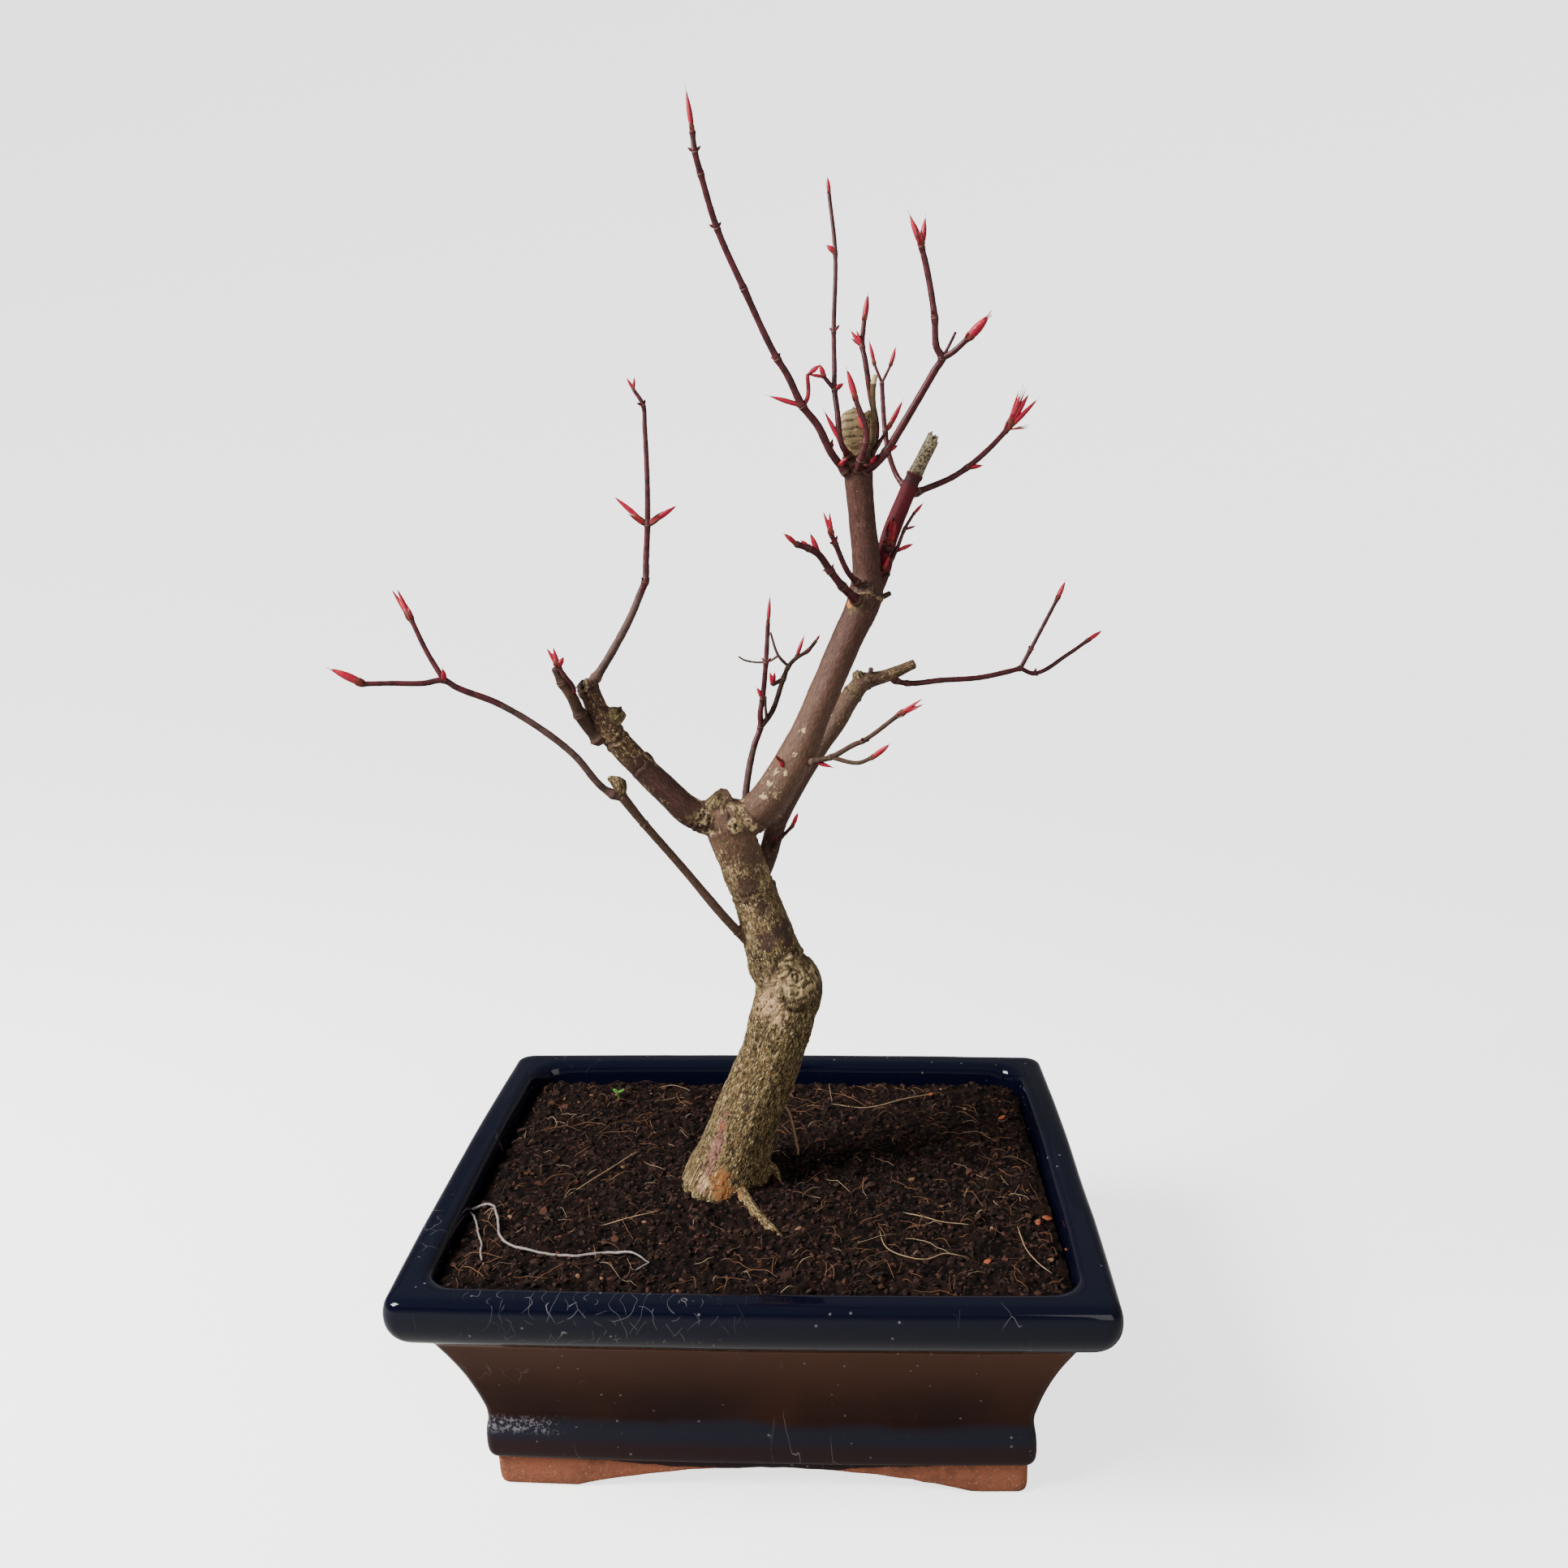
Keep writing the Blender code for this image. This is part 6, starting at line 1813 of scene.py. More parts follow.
def limb_shares(coords, normals, lines, owner, far):
    """What each limb's profile says of its points: how old, scaly, dead and so on they are."""
    old, scaly, dead, red, taupe, tip, bloom = (np.zeros(len(coords)) for _ in range(7))
    for index, line in enumerate(lines):
        mine = owner == index
        measure = coords[mine, 2] if line.name == "trunk" else far[mine]
        taupe[mine] = TAUPE.get(line.name, 0.0)
        if line.name in OLD_BARK:
            old[mine] = on_profile(OLD_BARK[line.name], measure)
            scaly[mine] = on_profile(SCALY[line.name], measure)
        elif line.wood == "red_bough":
            past_node = far[mine] - line.marks[4]
            red[mine] = 1.0
            dead[mine] = np.clip((past_node - 1.2) / 0.5, 0.0, 1.0)
            taupe[mine] = np.exp(-(((past_node + 0.6) / 2.2) ** 2))
        elif line.wood == "root":
            old[mine] = 0.8
        else:
            old[mine] = 0.55
            scaly[mine] = 0.6
        if line.name == "left_bough":
            scaly[mine] *= 0.28 + 0.85 * np.abs(normals[mine, 2])
        clear = [noise.fractal(Vector(place) / 6.0, 0.9, 2.0, 2) for place in coords[mine]]
        scaly[mine] *= np.clip(0.75 + 1.1 * np.array(clear), 0.15, 1.3)
        if line.name == "leader_bough":
            tip[mine] = np.clip((far[mine] - line.marks[-1] + TIP_REACH) / 0.8, 0.0, 1.0)
        if line.name in BLOOM:
            bloom[mine] = on_profile(BLOOM[line.name], measure)
    return old, scaly, dead, red, taupe, tip, bloom


def add_scars(lines, owner, far, angle, push, pale, groove_shade):
    """Raise the ring scars on their limbs, each with a sunk strip beside it that is darkened as painted
    shade.
    """
    for index, line in enumerate(lines):
        mine = np.flatnonzero(owner == index)
        for scar in SCARS:
            if scar.limb != line.name:
                continue
            wobble = 0.5 * np.sin(angle[mine] * 2 + scar.offset)
            wobble += 0.25 * np.sin(angle[mine] * 5 + scar.station)
            gap = far[mine] - line.marks[scar.station] - scar.offset + wobble
            ring = np.exp(-((gap / scar.width) ** 2))
            beside = np.exp(-(((gap - 1.5 * scar.width) / (0.5 * scar.width)) ** 2))
            push[mine] += scar.height * (ring - 0.7 * beside)
            pale[mine] = np.maximum(pale[mine], ring * scar.pale)
            # Painted shade in the sunk strip beside the scar.
            groove_shade[mine] = np.maximum(groove_shade[mine], beside * 0.7)


def add_creases(coords, push, groove_shade):
    """Cut the creases, darkened at their bottom as painted shade, and raise the ridges."""
    for deep, width, route in CREASES:
        line = np.exp(-((near_route(coords, route) / (width * 1.25)) ** 2))
        push -= deep * line
        # A sunk crease is darkened along its bottom as painted shade.
        if deep > 0.0:
            np.maximum(groove_shade, line, out=groove_shade)


def shape_bark(mesh, lines, relief):
    """Push ridges, cracks, scars, knots and cut ends into the bark, and note what each point is made of."""
    count = len(mesh.vertices)
    flat = np.empty(count * 3, np.float32)
    mesh.vertices.foreach_get("co", flat)
    coords = flat.reshape(-1, 3).astype(float) / MM
    mesh.vertices.foreach_get("normal", flat)
    normals = flat.reshape(-1, 3).astype(float)
    owner, far, angle, radius = follow_lines(coords, lines)
    owner = owner.astype(int)
    along = far + owner * GRAIN_GAP
    grain = np.column_stack((np.cos(angle) * radius, np.sin(angle) * radius, along))
    old, scaly, dead, red, taupe, tip, bloom = limb_shares(coords, normals, lines, owner, far)
    patches = patch_shares(coords)
    ends = end_shares(coords, lines, owner, far)
    push, pale, groove_shade, hole = knot_marks(coords, normals)
    rings = 0.74 + 0.26 * np.sin(far * 2.7 + 1.3 * np.sin(angle * 2.0))
    pale = np.maximum(pale, np.maximum(0.85 * patches["pale"], 0.95 * tip * rings))
    add_scars(lines, owner, far, angle, push, pale, groove_shade)
    add_creases(coords, push, groove_shade)
    rough = np.clip(old + 0.35 * scaly, 0.0, 1.0) * (1.0 - 0.7 * patches["smooth"]) * (1.0 - tip)
    left = [index for index, line in enumerate(lines) if line.name == "left_bough"]
    curly = scaly * np.where(np.isin(owner, left), 0.22, 1.0)
    cracks, crust = np.zeros(count), np.zeros(count)
    for k in range(count):
        broad, fibre, crack, curl = bark_fields(grain[k], radius[k])
        size = min(1.0, radius[k] / 7.0)
        # Cracks along the old bark, which the material darkens as painted shade.
        cracks[k] = crack * old[k] * (1.0 - 0.6 * pale[k])
        crust[k] = curl * curly[k] * (1.0 - 0.8 * patches["smooth"][k])
        push[k] += broad + rough[k] * size * (0.22 * fibre - 0.30 * crack) + 0.32 * crust[k] * size
        if ends[k] > 0.0:
            push[k] += ends[k] * 0.25 * fibre
    coords += normals * (push * relief)[:, None]
    for index, line in enumerate(lines):
        shape_end(coords, line, owner == index, far)
    mesh.vertices.foreach_set("co", (coords * MM).astype(np.float32).ravel())
    shares = patches | {
        "old": np.clip(old, 0, 1),
        "scaly": np.clip(scaly, 0, 1),
        "pale": np.clip(pale, 0, 1),
        "red": red,
        "dead": dead,
        "taupe": taupe,
        "hole": hole,
        "crust": crust,
        "cut": ends * (1.0 - dead),
        # The cracks share also carries the painted shade of the knots' troughs, the scars' strips and the
        # creases.
        "cracks": np.maximum(cracks, groove_shade),
        "blush": np.maximum(patches["blush"], bloom),
    }
    store_marks(mesh, grain, shares)
    mesh.update()


def shape_end(coords, line, mine, far):
    """Round, slant or tear the end of a cut limb."""
    way = np.array((line.places[-1] - line.places[-2]).normalized())
    tip = np.array(line.places[-1])
    radius = line.radii[-1]
    if line.wood in ("trunk", "root", "rear_bough", "low_left_limb"):
        return
    reach = TIP_REACH if line.name == "leader_bough" else 1.2 * radius
    for k in np.flatnonzero(mine & (far > line.marks[-1] - reach)):
        ahead = (coords[k] - tip) @ way
        off = coords[k] - tip - way * ahead
        if line.name == "red_bough":
            torn = noise.noise(Vector(off) * 0.9) * 2.6 + noise.noise(Vector(off) * 2.6) * 1.4
            coords[k] += way * torn * max(0.0, 1.0 + ahead / 2.5)
            continue
        dome = min(1.0, max(0.0, 1.0 + ahead / (0.85 * radius)))
        shrink = 1.0 - math.sqrt(max(0.0, 1.0 - 0.96 * dome**2))
        if line.name == "leader_bough":
            share = min(1.0, max(0.0, -ahead / TIP_REACH))
            coords[k] += off * TIP_BULGE * math.sin(math.pi * min(1.0, share * 1.15)) ** 0.8
        coords[k] -= off * shrink * 0.9
        coords[k] -= way * 0.35 * radius * dome * np.linalg.norm(off) / radius


def store_marks(mesh, grain, shares):
    """Keep the grain's place and the shares of each kind of bark as attributes of the points."""
    place = mesh.attributes.new("grain", "FLOAT_VECTOR", "POINT")
    place.data.foreach_set("vector", grain.astype(np.float32).ravel())
    for label, names in WOOD_MARKS.items():
        layer = mesh.attributes.new(label, "FLOAT_COLOR", "POINT")
        four = np.column_stack([shares[name] for name in names])
        layer.data.foreach_set("color", four.astype(np.float32).ravel())


def bark_marks(tree):
    """The bark's shares as fields, with its place, its grain and the clouds that run along it."""
    place = object_place(tree)
    grain = field(tree, "ShaderNodeAttribute", "Vector", attribute_name="grain")
    marks = SimpleNamespace(
        place=place,
        streaks=grain.stretched((1.1, 1.1, 0.20)).cloud(1.0, 4.0, 0.65, 0.4),
        fibres=grain.stretched((2.6, 2.6, 0.55)).cloud(1.0, 4.0, 0.7, 0.5),
        flecks=grain.stretched((2.7, 2.7, 0.85)).cloud(1.0, 3.0, 0.6, 0.8),
        chips=grain.stretched((1.3, 1.3, 0.75)).cloud(1.0, 5.0, 0.72, 0.6),
        patches=grouped(mottle_group(), {"Vector": place, "Scale": 95.0, "Contrast": 0.16}),
    )
    for label, names in WOOD_MARKS.items():
        source = put(tree, "ShaderNodeAttribute", attribute_name=label)
        split = put(tree, "ShaderNodeSeparateColor", {"Color": Field(source.outputs["Color"])})
        for name, socket in zip(names, (*split.outputs, source.outputs["Alpha"])):
            setattr(marks, name, Field(socket))
    return marks


def living_bark(marks, looks, aged):
    """Olive old bark, and red brown young bark where it is less aged."""
    old = layered(
        marks.streaks.step(0.38, 0.60).blend(Vector(looks.old) * 0.26, looks.old),
        (marks.fibres.step(0.48, 0.62), 0.65, (0.500, 0.350, 0.150)),
        (marks.patches, 0.35, (0.105, 0.082, 0.032)),
        (marks.flecks.step(0.56, 0.65), 0.8, (0.900, 0.720, 0.400)),
        (marks.flecks.step(0.45, 0.37), 0.85, (0.018, 0.010, 0.005)),
    )
    young = layered(
        marks.streaks.step(0.30, 0.66).blend(Vector(looks.young) * 0.50, looks.young),
        (marks.fibres.step(0.47, 0.66), 0.60, (0.135, 0.056, 0.042)),
    )
    grey_brown = marks.streaks.blend((0.018, 0.010, 0.0065), (0.080, 0.048, 0.032))
    young = layered(marks.taupe.blend(young, grey_brown), (marks.smooth, 0.85, (0.034, 0.0150, 0.0115)))
    return aged.step(0.40, 0.52).blend(young, old)


def marked_bark(marks, colour, bare):
    """Bark of some colour with its stains, dead grey wood and cut faces, and painted shade in its cracks,
    grooves and holes.
    """
    colour = layered(
        colour,
        (marks.stain, 0.6, (0.400, 0.145, 0.035)),
        (marks.bruise, 0.7, (0.260, 0.100, 0.095)),
        (marks.rust, 0.85, (0.620, 0.190, 0.040)),
        (marks.moss * marks.chips.step(0.40, 0.60), 0.7, (0.150, 0.125, 0.040)),
    )
    grey = layered(
        marks.streaks.blend((0.080, 0.056, 0.030), (0.420, 0.340, 0.200)),
        (marks.place.cloud(1500.0, 2.0).step(0.52, 0.46), 0.9, (0.035, 0.024, 0.016)),
    )
    return layered(
        marks.dead.blend(colour, grey),
        (marks.cut, 0.7, marks.streaks.blend((0.060, 0.038, 0.022), (0.230, 0.165, 0.095))),
        # Painted shade in the cracks, the creases, the scar strips and the knots' troughs.
        (marks.cracks.step(0.15, 0.85) * bare, 0.75, (0.022, 0.012, 0.007)),
        # Painted shade in the knots' holes.
        (marks.hole, 0.96, (0.006, 0.004, 0.003)),
    )


def bark_material(looks):
    """Olive old bark, red brown young bark with pale scales, calluses, scars and cut faces, and painted
    shade round the scales, the crust lines and the calluses.
    """
    material, tree, shader = new_material("bark")
    marks = bark_marks(tree)
    streaks, fibres, flecks, chips = marks.streaks, marks.fibres, marks.flecks, marks.chips
    loose = (chips - 0.5) * 1.8
    aged = marks.old + loose - marks.smooth * 0.85
    bare = 1.0 - marks.smooth * 0.8
    reach = 0.80 - marks.scaly * 0.36
    kept = chips.step(reach, reach + 0.03) * bare
    shadow = chips.step(reach - 0.03, reach)
    scales = fibres.step(0.38, 0.62).blend(Vector(looks.scale) * 0.30, Vector(looks.scale) * 1.70)
    worn = 0.55 + fibres.step(0.40, 0.60) * 0.45
    callus_edge = marks.pale + (chips - 0.5) * 1.1
    callus = callus_edge.step(0.30, 0.80)
    pale_wood = layered(
        streaks.blend((0.095, 0.055, 0.022), (0.930, 0.690, 0.350)),
        (flecks.step(0.42, 0.34), 0.5, (0.085, 0.050, 0.024)),
    )
    colour = layered(
        living_bark(marks, looks, aged),
        # Painted shade round the raised crust lines.
        (marks.crust.step(0.03, 0.16), 0.75, (0.030, 0.016, 0.010)),
        (shadow * bare, 0.6, (0.030, 0.017, 0.013)),
        (kept, 0.9, scales),
        (marks.crust.step(0.24, 0.50), 0.9, scales),
        (marks.blush * worn, 0.72, (0.800, 0.520, 0.290)),
        # Painted shade round the raised pale calluses and scar rings.
        (callus_edge.step(0.10, 0.28) * marks.pale.step(0.0, 0.12), 0.4, (0.040, 0.020, 0.015)),
        (callus, 0.9, pale_wood),
    )
    burgundy = layered(
        streaks.blend(Vector(looks.burgundy) * 0.45, Vector(looks.burgundy) * 1.6),
        (callus, 0.5, pale_wood),
        (marks.taupe, 0.85, (0.030, 0.009, 0.013)),
    )
    relief = flecks * 0.8 + fibres * 0.7 - marks.cracks * 0.5 + (kept + callus) * 0.5 + marks.crust * 0.6
    inputs = {
        "Base Color": marked_bark(marks, marks.red.blend(colour, burgundy), bare),
        "Roughness": 0.84 - (1.0 - aged.step(0.3, 0.6)) * 0.30,
        "Specular IOR Level": 0.22,
        "Normal": relief.bump(0.30 + marks.old * 0.70, 0.0011),
    }
    set_inputs(shader, inputs)
    return material


class BONSAI_OT_bark(bpy.types.Operator):
    """Make the bark of the trunk and the boughs with its relief"""

    bl_idname = "bonsai.bark"
    bl_label = "Bark"

    def execute(self, context):
        looks = context.scene.bonsai_bark
        material = bark_material(looks)
        brown = ("trunk", "left_bough", "low_left_limb", "leader_bough", "rear_bough")
        finer = looks.fineness * RED_FINENESS
        pieces = (("bark", brown, looks.fineness), ("red_bark", ("red_bough",), finer))
        for slot, names, fineness in pieces:
            lines = wooden_lines(names)
            mesh = welded_wood(slot + "_surface", lines, fineness)
            shape_bark(mesh, lines, looks.relief)
            settle(link_mesh(slot + "_surface", mesh, [material], None), slot, *names)
        return {"FINISHED"}


class TwigLooks(bpy.types.PropertyGroup):
    """Twigs and buds."""

    young: FloatVectorProperty(
        name="Young Wood", description="Dark red skin of last year's shoots",
        default=(0.052, 0.0075, 0.0100), size=3, subtype="COLOR",
    )
    grey: FloatVectorProperty(
        name="Grey Wood", description="Grey brown skin of older twigs", default=(0.055, 0.0250, 0.0205),
        size=3, subtype="COLOR",
    )
    bud: FloatVectorProperty(
        name="Buds", description="Pink red of the opening leaves", default=(0.370, 0.0080, 0.0300),
        size=3, subtype="COLOR",
    )


# Shades of twig wood, in the order of the piece's materials.
YOUNG, GREY, OLIVE, COLLAR, CUT, BROWN, ROSY = range(7)
WOODS = {"young": YOUNG, "grey": GREY, "olive": OLIVE, "brown": BROWN, "pink": ROSY}
# Shades of the buds, in the order of the piece's materials.
PINK, CRIMSON, SCALE, MAROON, CORAL, THREAD = range(6)

TWIG_SIDES = 10
TWIG_SPACING = 1.1
# A node's raised double ring: (how far from the node, width as a share of the twig's).
NODE_RING = (
    (-2.0, 1.0), (-1.1, 1.06), (-0.55, 1.16), (-0.28, 1.24), (-0.09, 1.15), (0.09, 1.15), (0.28, 1.22),
    (0.6, 1.14), (1.1, 1.05), (1.9, 1.0),
)
# The part of the ring this near to the node is pale.
COLLAR_REACH = 0.2
# Resting buds at the nodes.
DORMANT_LENGTH = (1.6, 2.6)
DORMANT_RADIUS = 0.55


def twig_stations(twig, points):
    """Fine stations of a twig: place, radius, run and whether it is on a node's pale ring."""
    last = len(points) - 1
    radii = [twig.thick + (twig.thin - twig.thick) * i / last for i in range(last + 1)]
    tangents = line_tangents(points)
    stations = []
    for i, (a, b) in enumerate(zip(points, points[1:])):
        length = (b - a).length
        count = max(2, math.ceil(length / TWIG_SPACING))
        cuts = {k / count: (1.0, False) for k in range(count)}
        for node, sign in ((i, 1), (i + 1, -1)):
            if node not in twig.nodes:
                continue
            offsets = [(abs(far), swell) for far, swell in NODE_RING if far * sign > 0]
            reach = min(0.45 * length, 2.0) / 2.0
            for t in list(cuts):
                away = t * length if sign > 0 else (1 - t) * length
                if 0.0 < away < 2.0 * reach:
                    del cuts[t]
            for far, swell in offsets:
                t = far * reach / length
                cuts[t if sign > 0 else 1 - t] = (swell, far < COLLAR_REACH)
            if sign > 0:
                cuts[0.0] = (1.12, True)
        for t in sorted(cuts):
            swell, ringed = cuts[t]
            radius = (radii[i] + (radii[i + 1] - radii[i]) * t) * swell
            stations.append([on_line(points, tangents, i, t), radius, i, ringed])
    ringed = last in twig.nodes
    stations.append([points[-1], radii[-1] * (1.2 if ringed else 1.0), last - 1, ringed])
    return stations


def limb_gap(place, meets):
    """Distance from a place to the surface of the nearest limb that a twig grows from."""
    least = 1e9
    for line in meets:
        for a, b, low, high in zip(line.places, line.places[1:], line.radii, line.radii[1:]):
            run = b - a
            share = min(1.0, max(0.0, (place - a).dot(run) / run.length_squared))
            least = min(least, (place - a - run * share).length - (low + (high - low) * share))
    return least


def swell_foot(stations, meets):
    """Widen a twig where it leaves its limb, and give it the pale ring of its bud scales there."""
    free = 0
    while free < len(stations) - 1 and limb_gap(stations[free][0], meets) < 0.0:
        free += 1
    leaves = stations[free][0]
    for station in stations[: free + 6]:
        away = (station[0] - leaves).length
        station[1] *= 1.0 + 0.45 * math.exp(-((away / 1.3) ** 2))
        if station is not stations[free] and 0.8 < away < 1.5:
            station[3] = True


def wood_shade(twig, station, last):
    """Shade of the wood at a station."""
    if station[3]:
        return COLLAR
    if station[2] < twig.old:
        return GREY
    if twig.wood == "olive" and station[2] >= last - 1:
        return CUT
    return WOODS[twig.wood]


def twig_mesh(twig, stations):
    """Tube of one twig, slightly uneven, its cut end rounded."""
    radii = []
    for place, radius, _, _ in stations:
        uneven = 1.0 + 0.07 * noise.noise(place / 1.9) + 0.05 * noise.noise(place / 0.8)
        radii.append(radius * uneven)
    places = [station[0] for station in stations]
    way = (places[-1] - places[-2]).normalized()
    shades = [wood_shade(twig, station, len(twig.runs)) for station in stations]
    for ahead, share in ((0.22, 0.8), (0.36, 0.35)):
        places.append(stations[-1][0] + way * ahead * radii[len(stations) - 1])
        radii.append(radii[len(stations) - 1] * share)
        shades.append(shades[-1] if not twig.buds else YOUNG)
    return sweep(ring_matrices(places, radii), TWIG_SIDES, shades)


# Outlines of a bud's parts: (share of the length, share of the width).
PETAL = (
    (0.0, 0.4), (0.1, 0.68), (0.28, 0.98), (0.5, 1.0), (0.7, 0.8), (0.85, 0.5), (0.94, 0.26),
    (1.0, 0.06),
)
LEAF = (
    (0.0, 0.25), (0.12, 0.5), (0.3, 0.85), (0.52, 1.0), (0.72, 0.82), (0.87, 0.46), (0.95, 0.2),
    (1.0, 0.04),
)
SCALE_LEAF = ((0.0, 0.6), (0.25, 0.95), (0.5, 1.0), (0.75, 0.7), (1.0, 0.12))
THREADLIKE = ((0.0, 1.0), (0.3, 0.9), (0.6, 0.8), (0.85, 0.7), (1.0, 0.4))


@dataclass(frozen=True)
class Blade:
    """A folded leaf or scale of a bud, as shares of the bud's length and radius."""

    turn: float
    length: float
    width: float
    thick: float
    off: float
    splay: float
    shades: tuple
    start: float = 0.0
    outline: tuple = PETAL


# Shades of a blade's rings, from its foot to its tip.
HOT = (CRIMSON, CRIMSON, PINK, PINK, PINK, PINK, CRIMSON, CRIMSON)
WARM = (CRIMSON, PINK, CORAL, PINK, PINK, CORAL, PINK, CRIMSON)
DARK = (MAROON, CRIMSON, CRIMSON, CRIMSON, CRIMSON, CRIMSON, MAROON, MAROON)
RUSTY = (MAROON, SCALE, SCALE, SCALE, CRIMSON)
WINE = (MAROON, MAROON, CRIMSON, MAROON, MAROON)
ORANGE = (CORAL, CORAL, CORAL, CORAL, PINK, CORAL, CORAL, THREAD)
PALE_TIP = (PINK, PINK, CORAL, THREAD, THREAD, THREAD, THREAD)


def tip_thread(turn, reach=1.0, splay=0.3):
    """Fine pale thread that sticks out of a bud's tip."""
    return Blade(turn, reach * 0.5, 0.11, 0.11, 0.05, splay, PALE_TIP, 0.55, THREADLIKE)


def scales(size=0.32, wide=0.8):
    """Two pairs of scales cupped round a bud's foot."""
    made = []
    for k, (turn, length) in enumerate(((0.0, 1.0), (180.0, 0.92), (90.0, 1.25), (270.0, 1.2))):
        shades = WINE if k < 2 else RUSTY
        made.append(Blade(turn, size * length, wide, 0.32, 0.42, 0.16, shades, -0.06, SCALE_LEAF))
    return tuple(made)


# Forms of bud, each as the blades it is folded from.
BUD_FORMS = {
    "closed": scales() + (
        Blade(20.0, 0.94, 0.84, 0.56, 0.24, -0.16, HOT),
        Blade(140.0, 0.88, 0.8, 0.54, 0.26, -0.1, WARM),
        Blade(260.0, 0.8, 0.8, 0.54, 0.28, -0.06, DARK),
        tip_thread(20.0, 1.0, 0.1),
    ),
    "fat": scales(0.34, 0.9) + (
        Blade(20.0, 0.86, 0.92, 0.66, 0.28, -0.1, HOT),
        Blade(140.0, 0.84, 0.9, 0.62, 0.3, 0.0, HOT),
        Blade(260.0, 0.8, 0.9, 0.62, 0.3, 0.05, WARM),
        tip_thread(0.0, 1.0, 0.35),
        tip_thread(120.0, 0.9, 0.5),
        tip_thread(200.0, 0.86, 0.4),
        tip_thread(300.0, 0.95, 0.6),
    ),
    "split": scales(0.36, 0.9) + (
        Blade(0.0, 0.98, 0.62, 0.46, 0.3, 0.42, HOT),
        Blade(180.0, 0.9, 0.62, 0.46, 0.3, 0.5, HOT),
        Blade(90.0, 0.66, 0.7, 0.46, 0.2, 0.05, WARM),
        Blade(270.0, 0.6, 0.7, 0.46, 0.2, 0.05, DARK),
    ),
    "open": scales(0.34, 0.9) + (
        Blade(0.0, 0.92, 0.6, 0.32, 0.28, 0.55, HOT, 0.0, LEAF),
        Blade(180.0, 0.96, 0.6, 0.32, 0.28, 0.45, DARK, 0.0, LEAF),
        Blade(70.0, 0.84, 0.52, 0.3, 0.2, 0.2, HOT, 0.0, LEAF),
        Blade(250.0, 0.72, 0.52, 0.3, 0.2, 0.3, WARM, 0.0, LEAF),
        tip_thread(20.0, 1.05, 0.3),
        tip_thread(170.0, 0.95, 0.5),
    ),
    "blade": (
        Blade(90.0, 0.97, 0.9, 0.4, 0.14, 0.1, HOT, 0.0, LEAF),
        Blade(270.0, 0.92, 0.86, 0.34, 0.26, 0.05, DARK, 0.0, LEAF),
        Blade(20.0, 0.6, 0.36, 0.2, 0.42, 0.1, ORANGE, 0.1, LEAF),
        Blade(180.0, 0.34, 0.7, 0.4, 0.4, 0.2, WINE, 0.0, SCALE_LEAF),
    ),
    "slender": scales(0.26, 0.8) + (
        Blade(30.0, 0.92, 0.84, 0.6, 0.18, -0.14, HOT),
        Blade(210.0, 0.82, 0.82, 0.56, 0.2, -0.08, DARK),
        tip_thread(30.0, 1.0, 0.1),
    ),
    "rolled": scales(0.22, 1.0) + (
        Blade(90.0, 0.98, 1.0, 0.55, 0.1, -0.05, DARK, 0.0, LEAF),
        Blade(30.0, 0.9, 0.42, 0.36, 0.5, -0.25, ORANGE, 0.05, LEAF),
        Blade(160.0, 0.84, 0.46, 0.36, 0.5, -0.2, WARM, 0.05, LEAF),
        Blade(270.0, 0.92, 0.74, 0.42, 0.3, -0.1, HOT, 0.02, LEAF),
    ),
    "tassel": (
        Blade(0.0, 0.95, 0.26, 0.2, 0.1, 0.7, PALE_TIP, 0.0, LEAF),
        Blade(90.0, 0.8, 0.26, 0.2, 0.1, 0.9, ORANGE, 0.0, LEAF),
        Blade(200.0, 0.85, 0.24, 0.2, 0.1, 0.9, PALE_TIP, 0.0, LEAF),
        Blade(300.0, 0.65, 0.24, 0.2, 0.1, 1.2, ORANGE, 0.0, LEAF),
    ),
    "cup": (
        Blade(0.0, 1.0, 0.8, 0.4, 0.4, 0.1, WINE, 0.0, SCALE_LEAF),
        Blade(180.0, 0.9, 0.8, 0.4, 0.4, 0.1, RUSTY, 0.0, SCALE_LEAF),
        Blade(90.0, 0.85, 0.8, 0.4, 0.3, 0.0, DARK[:5], 0.0, SCALE_LEAF),
        Blade(270.0, 0.8, 0.8, 0.4, 0.3, 0.0, RUSTY, 0.0, SCALE_LEAF),
    ),
    "dormant": (
        Blade(0.0, 1.0, 0.8, 0.55, 0.22, -0.1, WINE, 0.0, SCALE_LEAF),
        Blade(180.0, 0.94, 0.8, 0.55, 0.22, -0.1, DARK[:5], 0.0, SCALE_LEAF),
    ),
    "crescent": (
        Blade(0.0, 1.0, 0.9, 0.5, 0.2, 0.3, (CRIMSON, CRIMSON, PINK, CRIMSON, MAROON), 0.0, SCALE_LEAF),
        Blade(180.0, 0.7, 0.7, 0.4, 0.2, 0.1, WINE, 0.0, SCALE_LEAF),
    ),
}


